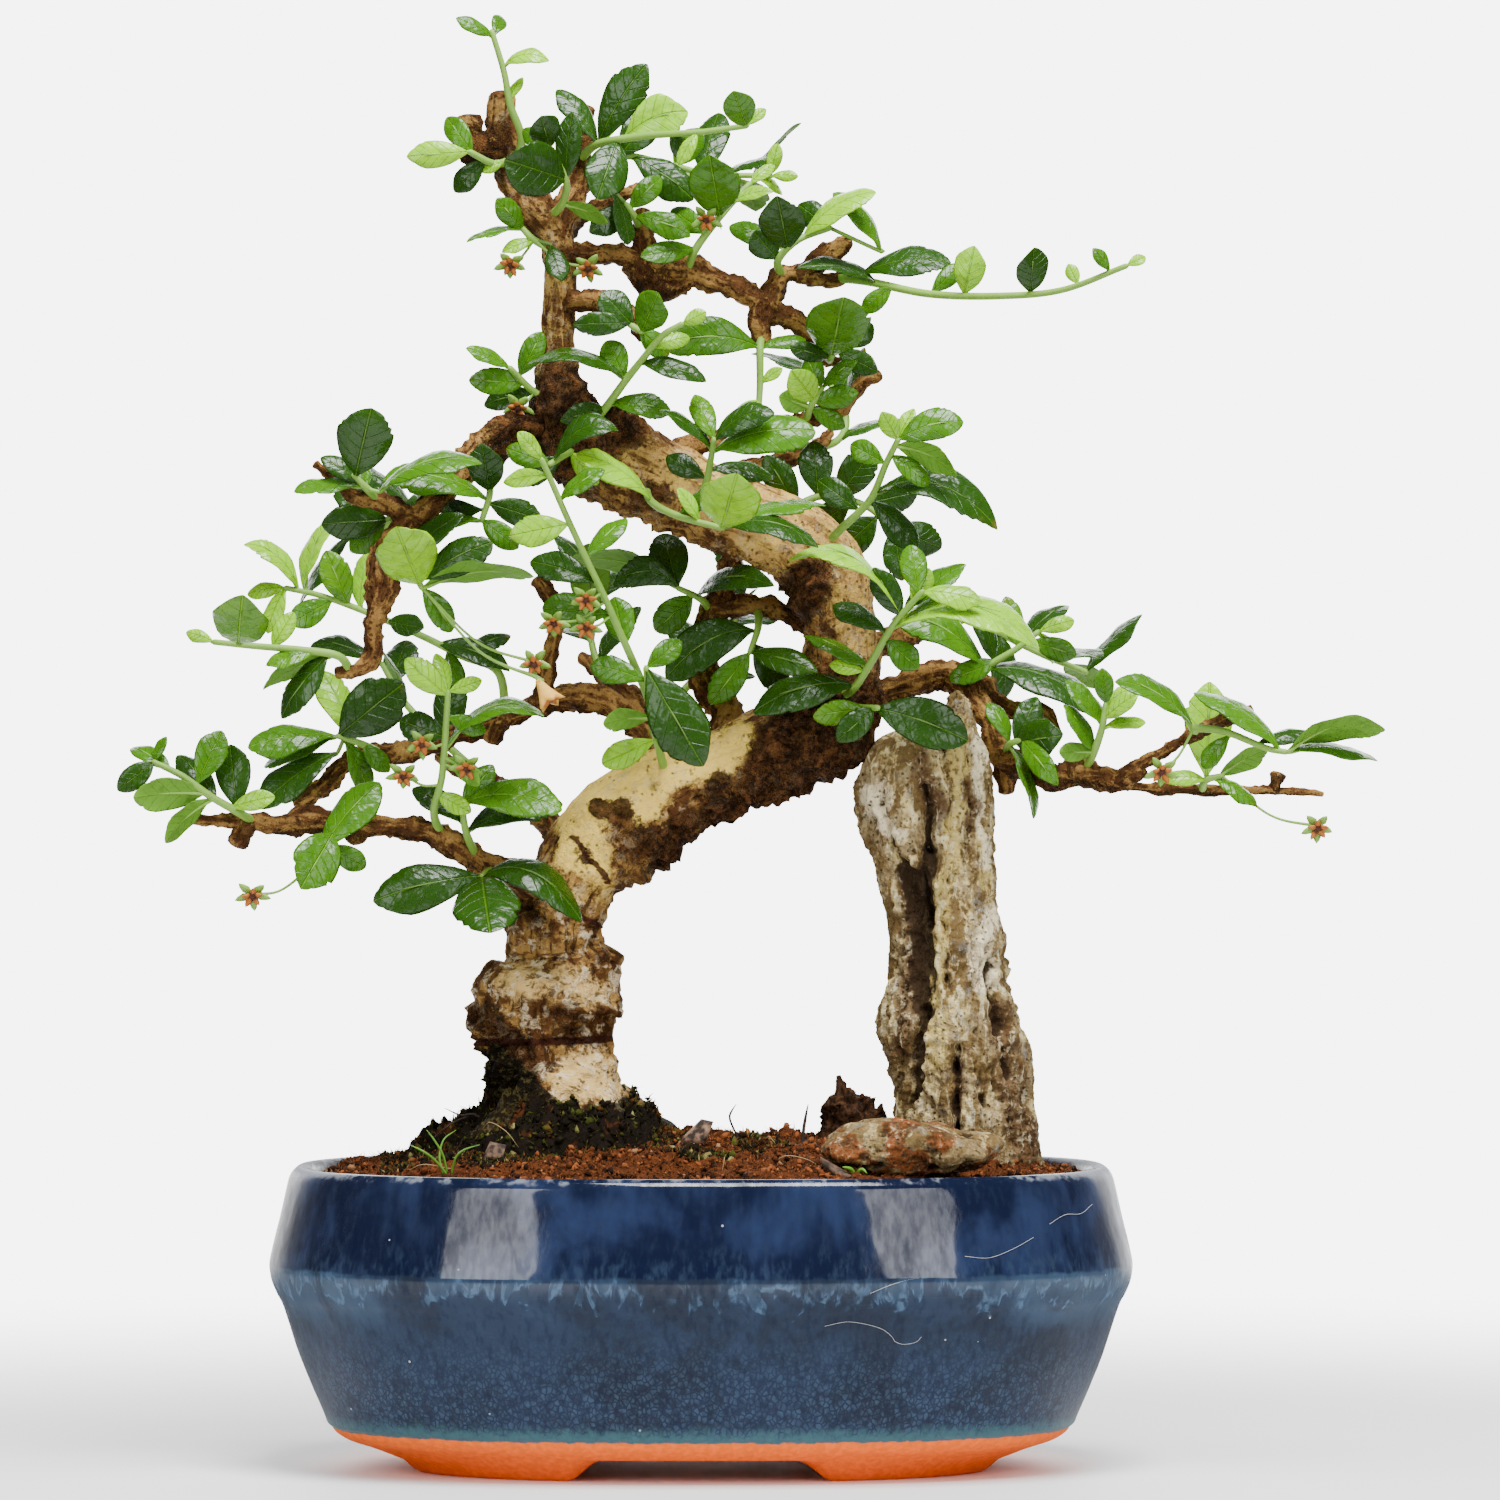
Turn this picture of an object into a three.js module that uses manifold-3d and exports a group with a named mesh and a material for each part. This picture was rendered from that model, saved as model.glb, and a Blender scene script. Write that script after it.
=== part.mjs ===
// A bonsai tree with a standing stone in an oval glazed pot. Millimetres, +Z up.
// The origin is on the surface the pot stands on, in the middle of the whole tree's width; the front is -Y.
import * as THREE from 'three';
import { mergeVertices } from 'three/addons/utils/BufferGeometryUtils.js';
import Module from 'manifold-3d';

const wasm = await Module();
wasm.setup();

// Driving dimensions of the pot.
const potCentreX = -12.2;
const potRoundness = 2.5; // exponent of the superellipse that every level of the pot follows
const potSides = 32;
const potFloorTop = 12;
const footInset = 12;
const footHeight = 5.7;
const drainRadius = 6.5;
const drainX = 38;
const screenSize = 19;
const screenThickness = 0.8;
const gap = 0.3; // left between neighbouring pieces

// Driving dimensions of the soil, the tree and its leaves.
const soilEdgeZ = 72.4;
const soilRise = 9;
const trunkSides = 9;
const branchSides = 5;
const twigSides = 4; // on branches no thicker than twigRadius
const twigRadius = 3.7;
const stemSides = 3;
const bladeThickness = 0.8;
const bladeWidthShare = 0.46; // width of a leaf to its length
const bladeLengthShare = 1.55; // least length of a leaf to its seen width
const bladeArch = 0.07;
const bladeCurl = 0.14;
const plainLeaf = 24; // leaves that are seen shorter than this have no notches at the tip
const leafClearance = 2.6;

// Places on the tree are [x, y, z]: x and z as seen from the front by an eye at eyeDistance from the middle
// of the pot and at eyeHeight, y the true depth. seen() gives the true place.
const eyeDistance = 2200;
const eyeHeight = 178.5;

function seen([x, y, z]) {
  const spread = 1 + y / eyeDistance;
  return new THREE.Vector3(x * spread, y, eyeHeight + (z - eyeHeight) * spread);
}

// A seeded generator for the leaves that grow by rule.
let seed = 2207;
function draw(low, high) {
  seed = (seed * 16807) % 2147483647;
  return low + ((high - low) * seed) / 2147483647;
}

// Solids: a list of rings of equal count becomes one closed body, capped flat at both ends.
function solidOf(geometry) {
  const bare = new THREE.BufferGeometry();
  bare.setAttribute('position', geometry.getAttribute('position'));
  if (geometry.index) bare.setIndex(geometry.index);
  const merged = mergeVertices(bare, 1e-4);
  return new wasm.Manifold(
    new wasm.Mesh({
      numProp: 3,
      vertProperties: new Float32Array(merged.attributes.position.array),
      triVerts: new Uint32Array(merged.index.array),
    }),
  );
}

function solidFromFaces(points, faces) {
  const geometry = new THREE.BufferGeometry();
  const numbers = points.flatMap((p) => [p.x, p.y, p.z]);
  geometry.setAttribute('position', new THREE.Float32BufferAttribute(numbers, 3));
  geometry.setIndex(faces.flat());
  const solid = solidOf(geometry);
  if (solid.volume() > 0) return solid;
  geometry.setIndex(faces.flatMap(([a, b, c]) => [a, c, b]));
  return solidOf(geometry);
}

function loft(rings) {
  const count = rings[0].length;
  const points = rings.flat();
  const faces = [];
  for (let level = 0; level + 1 < rings.length; level++) {
    for (let i = 0; i < count; i++) {
      const a = level * count + i;
      const b = level * count + ((i + 1) % count);
      faces.push([a, b, b + count], [a, b + count, a + count]);
    }
  }
  const last = (rings.length - 1) * count;
  for (let i = 1; i + 1 < count; i++) {
    faces.push([0, i + 1, i], [last, last + i, last + i + 1]);
  }
  return solidFromFaces(points, faces);
}

// A tube through centres with a radius at each, its rings turned without twist along the path.
function tube(centres, radii, sides, roughness = 0) {
  const rings = [];
  let side = new THREE.Vector3(0, -1, 0);
  centres.forEach((centre, i) => {
    const before = centres[Math.max(i - 1, 0)];
    const after = centres[Math.min(i + 1, centres.length - 1)];
    const along = new THREE.Vector3().subVectors(after, before).normalize();
    side = side.clone().addScaledVector(along, -side.dot(along)).normalize();
    const other = new THREE.Vector3().crossVectors(along, side);
    const ring = [];
    for (let k = 0; k < sides; k++) {
      const angle = (2 * Math.PI * k) / sides;
      const bump = 1 + roughness * Math.sin(3 * angle + 1.7 * i) * Math.cos(2.3 * i + k);
      ring.push(
        centre
          .clone()
          .addScaledVector(side, Math.cos(angle) * radii[i] * bump)
          .addScaledVector(other, Math.sin(angle) * radii[i] * bump),
      );
    }
    rings.push(ring);
  });
  return loft(rings);
}

function union(solids) {
  return solids.reduce((sum, next) => sum.add(next));
}

function largestBody(solid) {
  return solid.decompose().reduce((best, body) => (body.volume() > best.volume() ? body : best));
}

const tree = new THREE.Group();

function addPiece(name, solid, color, roughness, metalness = 0) {
  const mesh = solid.getMesh();
  const geometry = new THREE.BufferGeometry();
  geometry.setAttribute('position', new THREE.BufferAttribute(mesh.vertProperties, 3));
  geometry.setIndex(new THREE.BufferAttribute(mesh.triVerts, 1));
  const piece = new THREE.Mesh(geometry, new THREE.MeshStandardMaterial({ color, roughness, metalness }));
  piece.name = name;
  tree.add(piece);
}

// The pot: superellipse levels from the foot up the outside, over the lip and down to the floor inside.
function potRing(z, halfWidth, halfDepth) {
  return Array.from({ length: potSides }, (_, i) => {
    const angle = (2 * Math.PI * i) / potSides;
    const c = Math.cos(angle);
    const s = Math.sin(angle);
    return new THREE.Vector3(
      potCentreX + halfWidth * Math.sign(c) * Math.abs(c) ** (2 / potRoundness),
      halfDepth * Math.sign(s) * Math.abs(s) ** (2 / potRoundness),
      z,
    );
  });
}

const potOutside = [
  [footHeight, 84, 59],
  [8, 90.5, 65.5],
  [10.3, 92, 67],
  [28, 100.3, 75.2],
  [42, 104.8, 79.2],
  [44.5, 106.8, 81],
  [49.5, 107.75, 82],
  [52, 106.6, 81],
  [62, 103.6, 78.3],
  [73.2, 102.6, 77.4],
  [74.8, 101, 75.8],
];
const potInside = [
  [74.8, 99.4, 74.2],
  [73.4, 97.9, 72.7],
  [66, 97.3, 72.1],
  [42, 99, 73.6],
  [potFloorTop, 87, 62],
];

function makePot() {
  const rings = [...potOutside, ...potInside].map(([z, w, d]) => potRing(z, w, d));
  const bowl = loft(rings);
  const foot = loft([potRing(0, 73.8, 56), potRing(footHeight + 1, 80.6, 62.8)]);
  const footHollow = loft([
    potRing(-1, 73.8 - footInset, 56 - footInset),
    potRing(footHeight, 79.8 - footInset, 62 - footInset),
  ]);
  const arch = (bottomHalf, topHalf, turn) => {
    const outline = new THREE.Shape([
      new THREE.Vector2(-bottomHalf - 1.4, -1),
      new THREE.Vector2(bottomHalf + 1.4, -1),
      new THREE.Vector2(topHalf, footHeight),
      new THREE.Vector2(-topHalf, footHeight),
    ]);
    const bar = new THREE.ExtrudeGeometry(outline, { depth: 240, bevelEnabled: false });
    bar.translate(0, 0, -120);
    bar.rotateX(Math.PI / 2);
    bar.rotateZ(turn);
    bar.translate(potCentreX, 0, 0);
    return solidOf(bar);
  };
  let pot = bowl.add(foot.subtract(footHollow).subtract(arch(32, 24, 0)).subtract(arch(22, 16, Math.PI / 2)));
  for (const side of [-1, 1]) {
    const bore = new THREE.CylinderGeometry(drainRadius, drainRadius, 20, 12);
    bore.rotateX(Math.PI / 2);
    bore.translate(potCentreX + side * drainX, 0, 8);
    pot = pot.subtract(solidOf(bore));
  }
  return pot;
}

// The screen over a drain hole is a square of mesh that lies on the floor of the pot.
function makeScreen(side, grow = 0) {
  const block = (width, thickness, x, y) => {
    const box = new THREE.BoxGeometry(width, width, thickness);
    box.translate(potCentreX + side * drainX + x, y, potFloorTop + gap + screenThickness / 2);
    return solidOf(box);
  };
  let screen = block(screenSize + 2 * grow, screenThickness + 2 * grow, 0, 0);
  if (grow > 0) return screen;
  const pitch = screenSize / 5;
  for (const i of [-1, 1]) {
    for (const k of [-1, 1]) screen = screen.subtract(block(1.4 * pitch, 2, i * pitch, k * pitch));
  }
  return screen;
}

// The wood: the trunk and every woody branch and stub, grown as one piece. Each point is [x, y, z, radius].
const trunk = [
  [-46, 2, 58, 17], [-46, 2, 70, 19], [-46, 2, 80, 18.5], [-48, 2, 90, 16], [-49.5, 2, 100, 14.5],
  [-50, 2, 106, 14.6], [-50.5, 2, 113, 15.6], [-49.5, 2, 118, 16.2], [-48, 2, 123, 13.5], [-48, 2, 128, 10.8],
  [-48.5, 1, 133, 10.8], [-47.5, 1, 138, 10.5], [-44, 0, 145, 10.5], [-40, 0, 152, 11.6], [-33, 0, 159, 12.6],
  [-27, 0, 164, 12], [-20, 1, 168, 11.5], [-10, 2, 172, 10.5], [0, 3, 176, 10.5], [10, 4, 180, 11],
  [18, 5, 185, 11.5], [22, 6, 193, 10], [23, 6, 203, 8.5], [22, 5, 213, 9], [19, 4, 223, 10],
  [11, 3, 231, 10], [2, 2, 235, 9.5], [-8, 1, 239, 9.5], [-18, 0, 244, 9.5], [-28, -1, 249, 10],
  [-38, -2, 253, 10.5], [-45, -3, 258, 9.6], [-47, -4, 265, 7.3], [-48, -4, 272, 5], [-48, -4, 280, 4],
  [-47.5, -4, 290, 4], [-47.5, -4, 300, 3.8], [-49, -4, 308, 4.5], [-54, -4, 314, 5.2], [-58.5, -4, 321, 4.5],
  [-60, -4, 328, 4], [-62.5, -4, 335, 3.5], [-62, -4, 341.5, 3.3],
];
const roots = [
  [[-48, -4, 88, 10], [-58, -10, 82, 7], [-68, -16, 76, 5], [-78, -22, 68, 3]],
  [[-44, -6, 86, 9], [-38, -16, 80, 6.5], [-32, -26, 73, 4.5], [-28, -34, 66, 3]],
  [[-44, 4, 88, 10], [-32, 6, 83, 7.5], [-20, 8, 77, 5], [-8, 12, 69, 3]],
  [[-50, 8, 88, 10], [-58, 18, 82, 7], [-66, 28, 75, 5], [-74, 36, 67, 3]],
  [[-44, 8, 88, 9], [-38, 20, 81, 6.5], [-32, 32, 74, 4.5], [-28, 42, 66, 3]],
];
const branches = {
  apexBurr: [[-62, -4, 330, 3], [-66, -5, 328, 3.8], [-70, -5, 331, 3.4], [-71, -5, 336, 2.4]],
  apexStub: [
    [-49, -4, 308, 3.2], [-46, -2, 314, 3], [-43, 2, 321, 2.6], [-42, 4, 330, 2.5],
    [-42, 5, 338.5, 2.4],
  ],
  upperRight: [
    [-47.5, -4, 302, 2.6], [-35, 2.5, 302.5, 2.4], [-27, 6, 301, 2.6], [-18, 9.5, 299, 3.4],
    [-10, 12, 296, 2.9],
    [-3, 13, 294, 2.6], [2, 14.5, 291, 2.5], [6, 16, 289, 2.4],
  ],
  upperBurr: [[-28, 5.5, 300, 2], [-26, 7.5, 296, 3.2], [-21, 9, 294, 3.4], [-15, 10.5, 297, 2.4]],
  upperDrop: [[3, 15, 290, 2.2], [2.5, 14, 284, 2], [3, 14, 280, 1.8]],
  upperFall: [
    [4, 15.5, 289, 2.2], [12, 18.5, 285, 1.9], [17, 20, 280, 1.7], [20, 21, 276, 1.5],
    [26, 22, 275, 1.2],
  ],
  upperRise: [
    [4, 15.5, 290, 2.3], [8, 16.5, 297, 2], [13, 18, 297, 1.9], [20, 20, 295.5, 1.6],
    [24, 21.5, 297, 1.3],
  ],
  upperKnob: [[12, 17.5, 297, 1.8], [16, 20, 300, 2.2], [21, 22.5, 303.5, 2.6], [24.5, 23.5, 305.5, 1.8]],
  upperStub: [[-27, 6, 301, 2.4], [-27, 5, 307, 2.2], [-27, 5, 313, 1.9]],
  innerCurl: [
    [-47.5, -4, 290, 2], [-40, -9.5, 291, 2], [-33, -13, 289, 2], [-28, -16, 286, 2],
    [-26, -16.5, 282, 1.8],
  ],
  cutTwig: [
    [-26, -1, 250, 2.4], [-14, 8, 254.5, 2.3], [0, 14.5, 258, 2.1], [12, 17.5, 260, 2], [22, 19, 264, 1.7],
    [28, 19.5, 270, 1.4], [32.5, 19.5, 272, 1.1],
  ],
  leftUpper: [
    [-45, -3, 258, 3.5], [-60, -12.5, 259, 3], [-66, -17, 256, 2.8], [-74, -22, 246, 2.6],
    [-84, -28.5, 236, 2.5],
    [-90, -31, 231, 2.3], [-93, -32, 225, 2.5], [-92, -31.5, 219, 3.6], [-94, -32.5, 210, 2.3],
    [-94, -32.5, 203, 2.2],
    [-97, -34, 199, 2.1], [-103, -34, 198, 1.6],
  ],
  leftTwig: [[-84, -28.5, 236, 2], [-93, -32, 241, 1.8], [-99, -34, 242, 1.5], [-108.5, -34, 250, 0.9]],
  behind: [
    [-6, 6, 174, 4], [-6, 14, 187, 3.6], [-11, 17, 198, 3.4], [-10, 17, 210, 3], [-7, 16, 218, 3],
    [-4, 12, 228, 2.8], [0, 5, 234, 2.4],
  ],
  behindArm: [[-9, 16, 215, 2.4], [3, 16, 214.5, 2.3], [10, 15, 212, 2.1], [14, 14, 209, 1.7]],
  leftInner: [
    [-52, 16, 190, 2], [-51, 15.5, 198, 1.8], [-49, 15, 206, 1.7], [-48, 15, 213, 1.9],
    [-53, 16, 221, 1.6],
  ],
  leftMiddle: [
    [-22, 2, 168, 4], [-24, 4.5, 180, 3.2], [-29, 8, 186, 3], [-36, 11.5, 190.5, 2.8], [-44, 13.5, 192, 2.8],
    [-52, 16, 190, 2.6], [-60, 18, 187, 2.5], [-68, 20, 184, 2.4], [-75, 22, 182, 2.3], [-85, 23.5, 178, 2.2],
    [-95, 25, 177, 2], [-101, 26.5, 175, 2.1], [-107, 28, 169, 2.4], [-113, 29.5, 165, 1.7],
  ],
  leftMiddleKnob: [[-62, 18.5, 187, 2.2], [-65, 19, 181.5, 2.2]],
  leftLow: [
    [-46, 0, 139, 4.4], [-54, -5, 144, 3.4], [-60, -7.5, 147, 2.9], [-68, -10.5, 151, 2.9],
    [-74, -12.5, 155, 3],
    [-80, -14, 158, 2.8], [-90, -17.5, 159, 2.1], [-100, -21, 160, 2.1], [-110, -23.5, 161, 2.7],
    [-118, -25.5, 160, 2],
    [-125, -27, 160.5, 1.8], [-134, -29, 161, 1.5], [-142, -31, 161, 1.2],
  ],
  leftLowBurr: [[-126, -27, 160, 1.8], [-128, -27.5, 155.5, 2.3]],
  leftLowKnob: [[-99, -20.5, 160, 1.8], [-98, -20.5, 156, 1.8]],
  right: [
    [18, 8, 188, 4.6], [27, 15, 191, 3.6], [38, 21.5, 194, 3.1], [48, 25.5, 197, 3], [57, 24.5, 195, 2.8],
    [61, 22, 191, 2.4], [66, 20, 188, 2], [72, 18.5, 189, 1.8], [75, 17, 186, 1.5], [77, 16, 182, 1.2],
  ],
  rightLow: [
    [53, 21, 196, 2.8], [56, 17.5, 191, 2.9], [61, 12, 185, 2.8], [63, 9, 178, 2.7], [66, 4.5, 175.5, 2.7],
    [70, 0.5, 175, 2.6], [75, -4, 172, 2.7], [82, -9.5, 173, 3], [88, -13.5, 172, 2.5],
    [93, -17, 171, 2.2], [98, -20.5, 173, 1.6],
  ],
  rightStub: [[63, 8, 177, 2.2], [64.5, 6, 168.5, 1.8]],
  rightKnob: [[82, -9.5, 173, 2.4], [82, -10.5, 179, 2]],
  rightUpper: [
    [93, -17, 171, 1.8], [96, -19, 174, 1.5], [103, -23, 178, 1.3], [110, -27, 182, 1.4],
    [116, -30, 185, 1.6],
    [120, -32, 186.5, 1.9], [125, -33.5, 188.5, 1.4],
  ],
  rightLower: [
    [88, -13.5, 171, 1.6], [95, -11, 169.5, 1.1], [110, -7, 168.5, 1.1], [130, -1, 168.5, 1],
    [143, 4, 167.5, 0.8],
  ],
  rightLowerKnob: [[131, -0.5, 168.5, 1], [132, -1, 172, 1.7]],
  backLeft: [
    [-44, 4, 150, 4], [-50, 20, 160, 3], [-60, 36, 168, 2.4], [-70, 50, 172, 1.8], [-78, 58, 177, 1.2],
  ],
  backMiddle: [
    [-14, 6, 172, 3.6], [-20, 24, 182, 2.9], [-28, 40, 190, 2.3], [-36, 52, 196, 1.8],
    [-42, 60, 202, 1.2],
  ],
  backRight: [
    [22, 8, 200, 3.4], [31, 26, 204, 2.7], [42, 42, 208, 2.1], [54, 52, 212, 1.6], [62, 58, 214, 1.1],
  ],
  backUpper: [
    [-12, 4, 240, 3.4], [-4, 20, 246, 2.7], [6, 34, 250, 2.1], [16, 44, 254, 1.5], [20, 50, 258, 1.1],
  ],
  backUpperLeft: [
    [-46, -2, 262, 3], [-54, 14, 258, 2.5], [-66, 28, 250, 2], [-76, 40, 243, 1.6],
    [-84, 46, 238, 1.1],
  ],
  backApex: [[-49, -4, 306, 2.4], [-42, 10, 312, 2], [-32, 22, 317, 1.5], [-22, 28, 321, 1.1]],
};

function woodTube(points, sides, grow) {
  const centres = points.map(seen);
  const radii = points.map((p) => p[3] + grow);
  if (grow > 0) {
    const first = new THREE.Vector3().subVectors(centres[0], centres[1]).normalize();
    const last = new THREE.Vector3().subVectors(centres.at(-1), centres.at(-2)).normalize();
    centres[0] = centres[0].clone().addScaledVector(first, grow);
    centres[centres.length - 1] = centres.at(-1).clone().addScaledVector(last, grow);
  }
  return tube(centres, radii, sides, sides === trunkSides ? 0.05 : 0);
}

function makeWood(grow = 0) {
  return union([
    woodTube(trunk, trunkSides, grow),
    ...roots.map((points) => woodTube(points, twigSides, grow)),
    ...Object.values(branches).map((points) => {
      const thin = points.every((p) => p[3] <= twigRadius);
      return woodTube(points, thin ? twigSides : branchSides, grow);
    }),
  ]);
}

// The standing stone: levels of [z, left, right, half depth], one loft for its body and one for its peak.
const stoneCentreY = 2;
const stoneSides = 11;
const stoneBody = [
  [56, 40, 74, 15], [75, 37, 73, 19], [90, 35.5, 71.5, 18.5], [100, 33.5, 70.5, 17.5],
  [110, 31.8, 68.5, 16.5],
  [120, 34, 66, 15], [130, 35, 64.5, 14.5], [139, 34, 61.5, 14], [148, 31, 61.5, 13.5], [158, 27, 61, 13],
  [168, 25.5, 58, 12.5], [175, 27, 54, 11], [180, 30, 48, 8.5], [183.8, 35.5, 41.5, 4],
];
const stonePeak = [
  [140, 38, 61.2, 12], [152, 40, 61.6, 11.5], [162, 41, 61.2, 11], [170, 42, 60.4, 10], [178, 44, 59, 9],
  [185, 46.5, 56.3, 7], [190, 48.3, 54.8, 5], [193.5, 50, 53.4, 2.6],
];
const stoneGroove = [
  [45, -13, 168], [44.5, -14, 155], [40, -14.5, 149], [42, -15, 131], [43, -16, 115], [40, -18, 98],
];
const stoneHollow = [[45, -15, 157, 3], [42, -15.5, 150, 4], [44, -15, 143, 2.4]];

function stoneLoft(levels, grow) {
  return loft(
    levels.map(([z, left, right, depth], level) => {
      const centre = (left + right) / 2;
      const endShift = (level === 0 ? -grow : 0) + (level === levels.length - 1 ? grow : 0);
      return Array.from({ length: stoneSides }, (_, i) => {
        const angle = (2 * Math.PI * i) / stoneSides;
        const facet = 1 - 0.1 * Math.abs(Math.sin(2.5 * angle + 1.3 * level)) * Math.abs(Math.sin(angle));
        const place = seen([centre, stoneCentreY, z + endShift]);
        place.x += Math.cos(angle) * ((right - left) / 2 + grow);
        place.y += Math.sin(angle) * (depth * facet + grow);
        return place;
      });
    }),
  );
}

function makeStandingStone(grow = 0) {
  const block = stoneLoft(stoneBody, grow).add(stoneLoft(stonePeak, grow));
  if (grow > 0) return block;
  const groove = tube(stoneGroove.map(seen), [1.4, 2.4, 3, 2.4, 2.2, 1.4], 5);
  const hollow = tube(stoneHollow.map(seen), stoneHollow.map((p) => p[3]), 6);
  return block.subtract(groove).subtract(hollow);
}

// The lying stone: an icosahedron drawn out to its three half sizes and roughened.
const lyingStone = { x: 40, y: -50, z: 78.6, halfWidth: 21.5, halfDepth: 13, halfHeight: 7.6 };

function makeLyingStone(grow = 0) {
  const ball = new THREE.IcosahedronGeometry(1, 1);
  const place = seen([lyingStone.x, lyingStone.y, lyingStone.z]);
  const at = ball.getAttribute('position');
  for (let i = 0; i < at.count; i++) {
    const p = new THREE.Vector3().fromBufferAttribute(at, i);
    const bulge = 0.09 * Math.sin(4.1 * p.x + 2 * p.y) * Math.cos(3.3 * p.z + 1.2);
    const rough = 1 + bulge + 0.05 * Math.sin(7 * p.y + p.x);
    const flat = 1 - 0.22 * Math.max(0, p.x);
    at.setXYZ(
      i,
      place.x + p.x * (lyingStone.halfWidth * rough + grow),
      place.y + p.y * (lyingStone.halfDepth * rough + grow),
      place.z + p.z * (lyingStone.halfHeight * rough * flat + grow),
    );
  }
  return solidOf(ball);
}

// The dead root stub beside the standing stone.
const rootStub = [[28, 6, 64, 6.5], [27, 6, 78, 7], [26, 6, 86, 6.4], [24, 7, 92, 4], [23, 8, 96, 1.6]];

function makeRootStub(grow = 0) {
  return woodTube(rootStub, branchSides, grow);
}

// The soil: fills the pot inside its walls and rises in a mound, highest behind the middle and at the trunk.
function soilTop(x, y, share) {
  const mound = soilEdgeZ + soilRise * (1 - share * share);
  const atTrunk = 6 * Math.exp(-((x + 46) ** 2 + (y - 2) ** 2) / 500);
  const uneven = 0.9 * Math.sin(x / 9 + 1) * Math.cos(y / 11) + 0.6 * Math.sin(x / 5 - y / 7);
  return mound + atTrunk + uneven * (1 - share ** 4);
}

function makeSoil() {
  const clear = gap + 0.1;
  const rings = [
    potRing(potFloorTop + gap, 87 - clear, 62 - clear),
    potRing(42, 99 - clear, 73.6 - clear),
    potRing(71, 97 - clear, 71.8 - clear),
  ];
  for (const share of [0.985, 0.8, 0.5, 0.15]) {
    const ring = potRing(0, 97 * share, 71.8 * share);
    ring.forEach((p) => {
      p.z = soilTop(p.x, p.y, share);
    });
    rings.push(ring);
  }
  let soil = loft(rings);
  for (const side of [-1, 1]) soil = soil.subtract(makeScreen(side, gap));
  return soil
    .subtract(makeWood(gap))
    .subtract(makeStandingStone(gap))
    .subtract(makeLyingStone(gap))
    .subtract(makeRootStub(gap));
}

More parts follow.
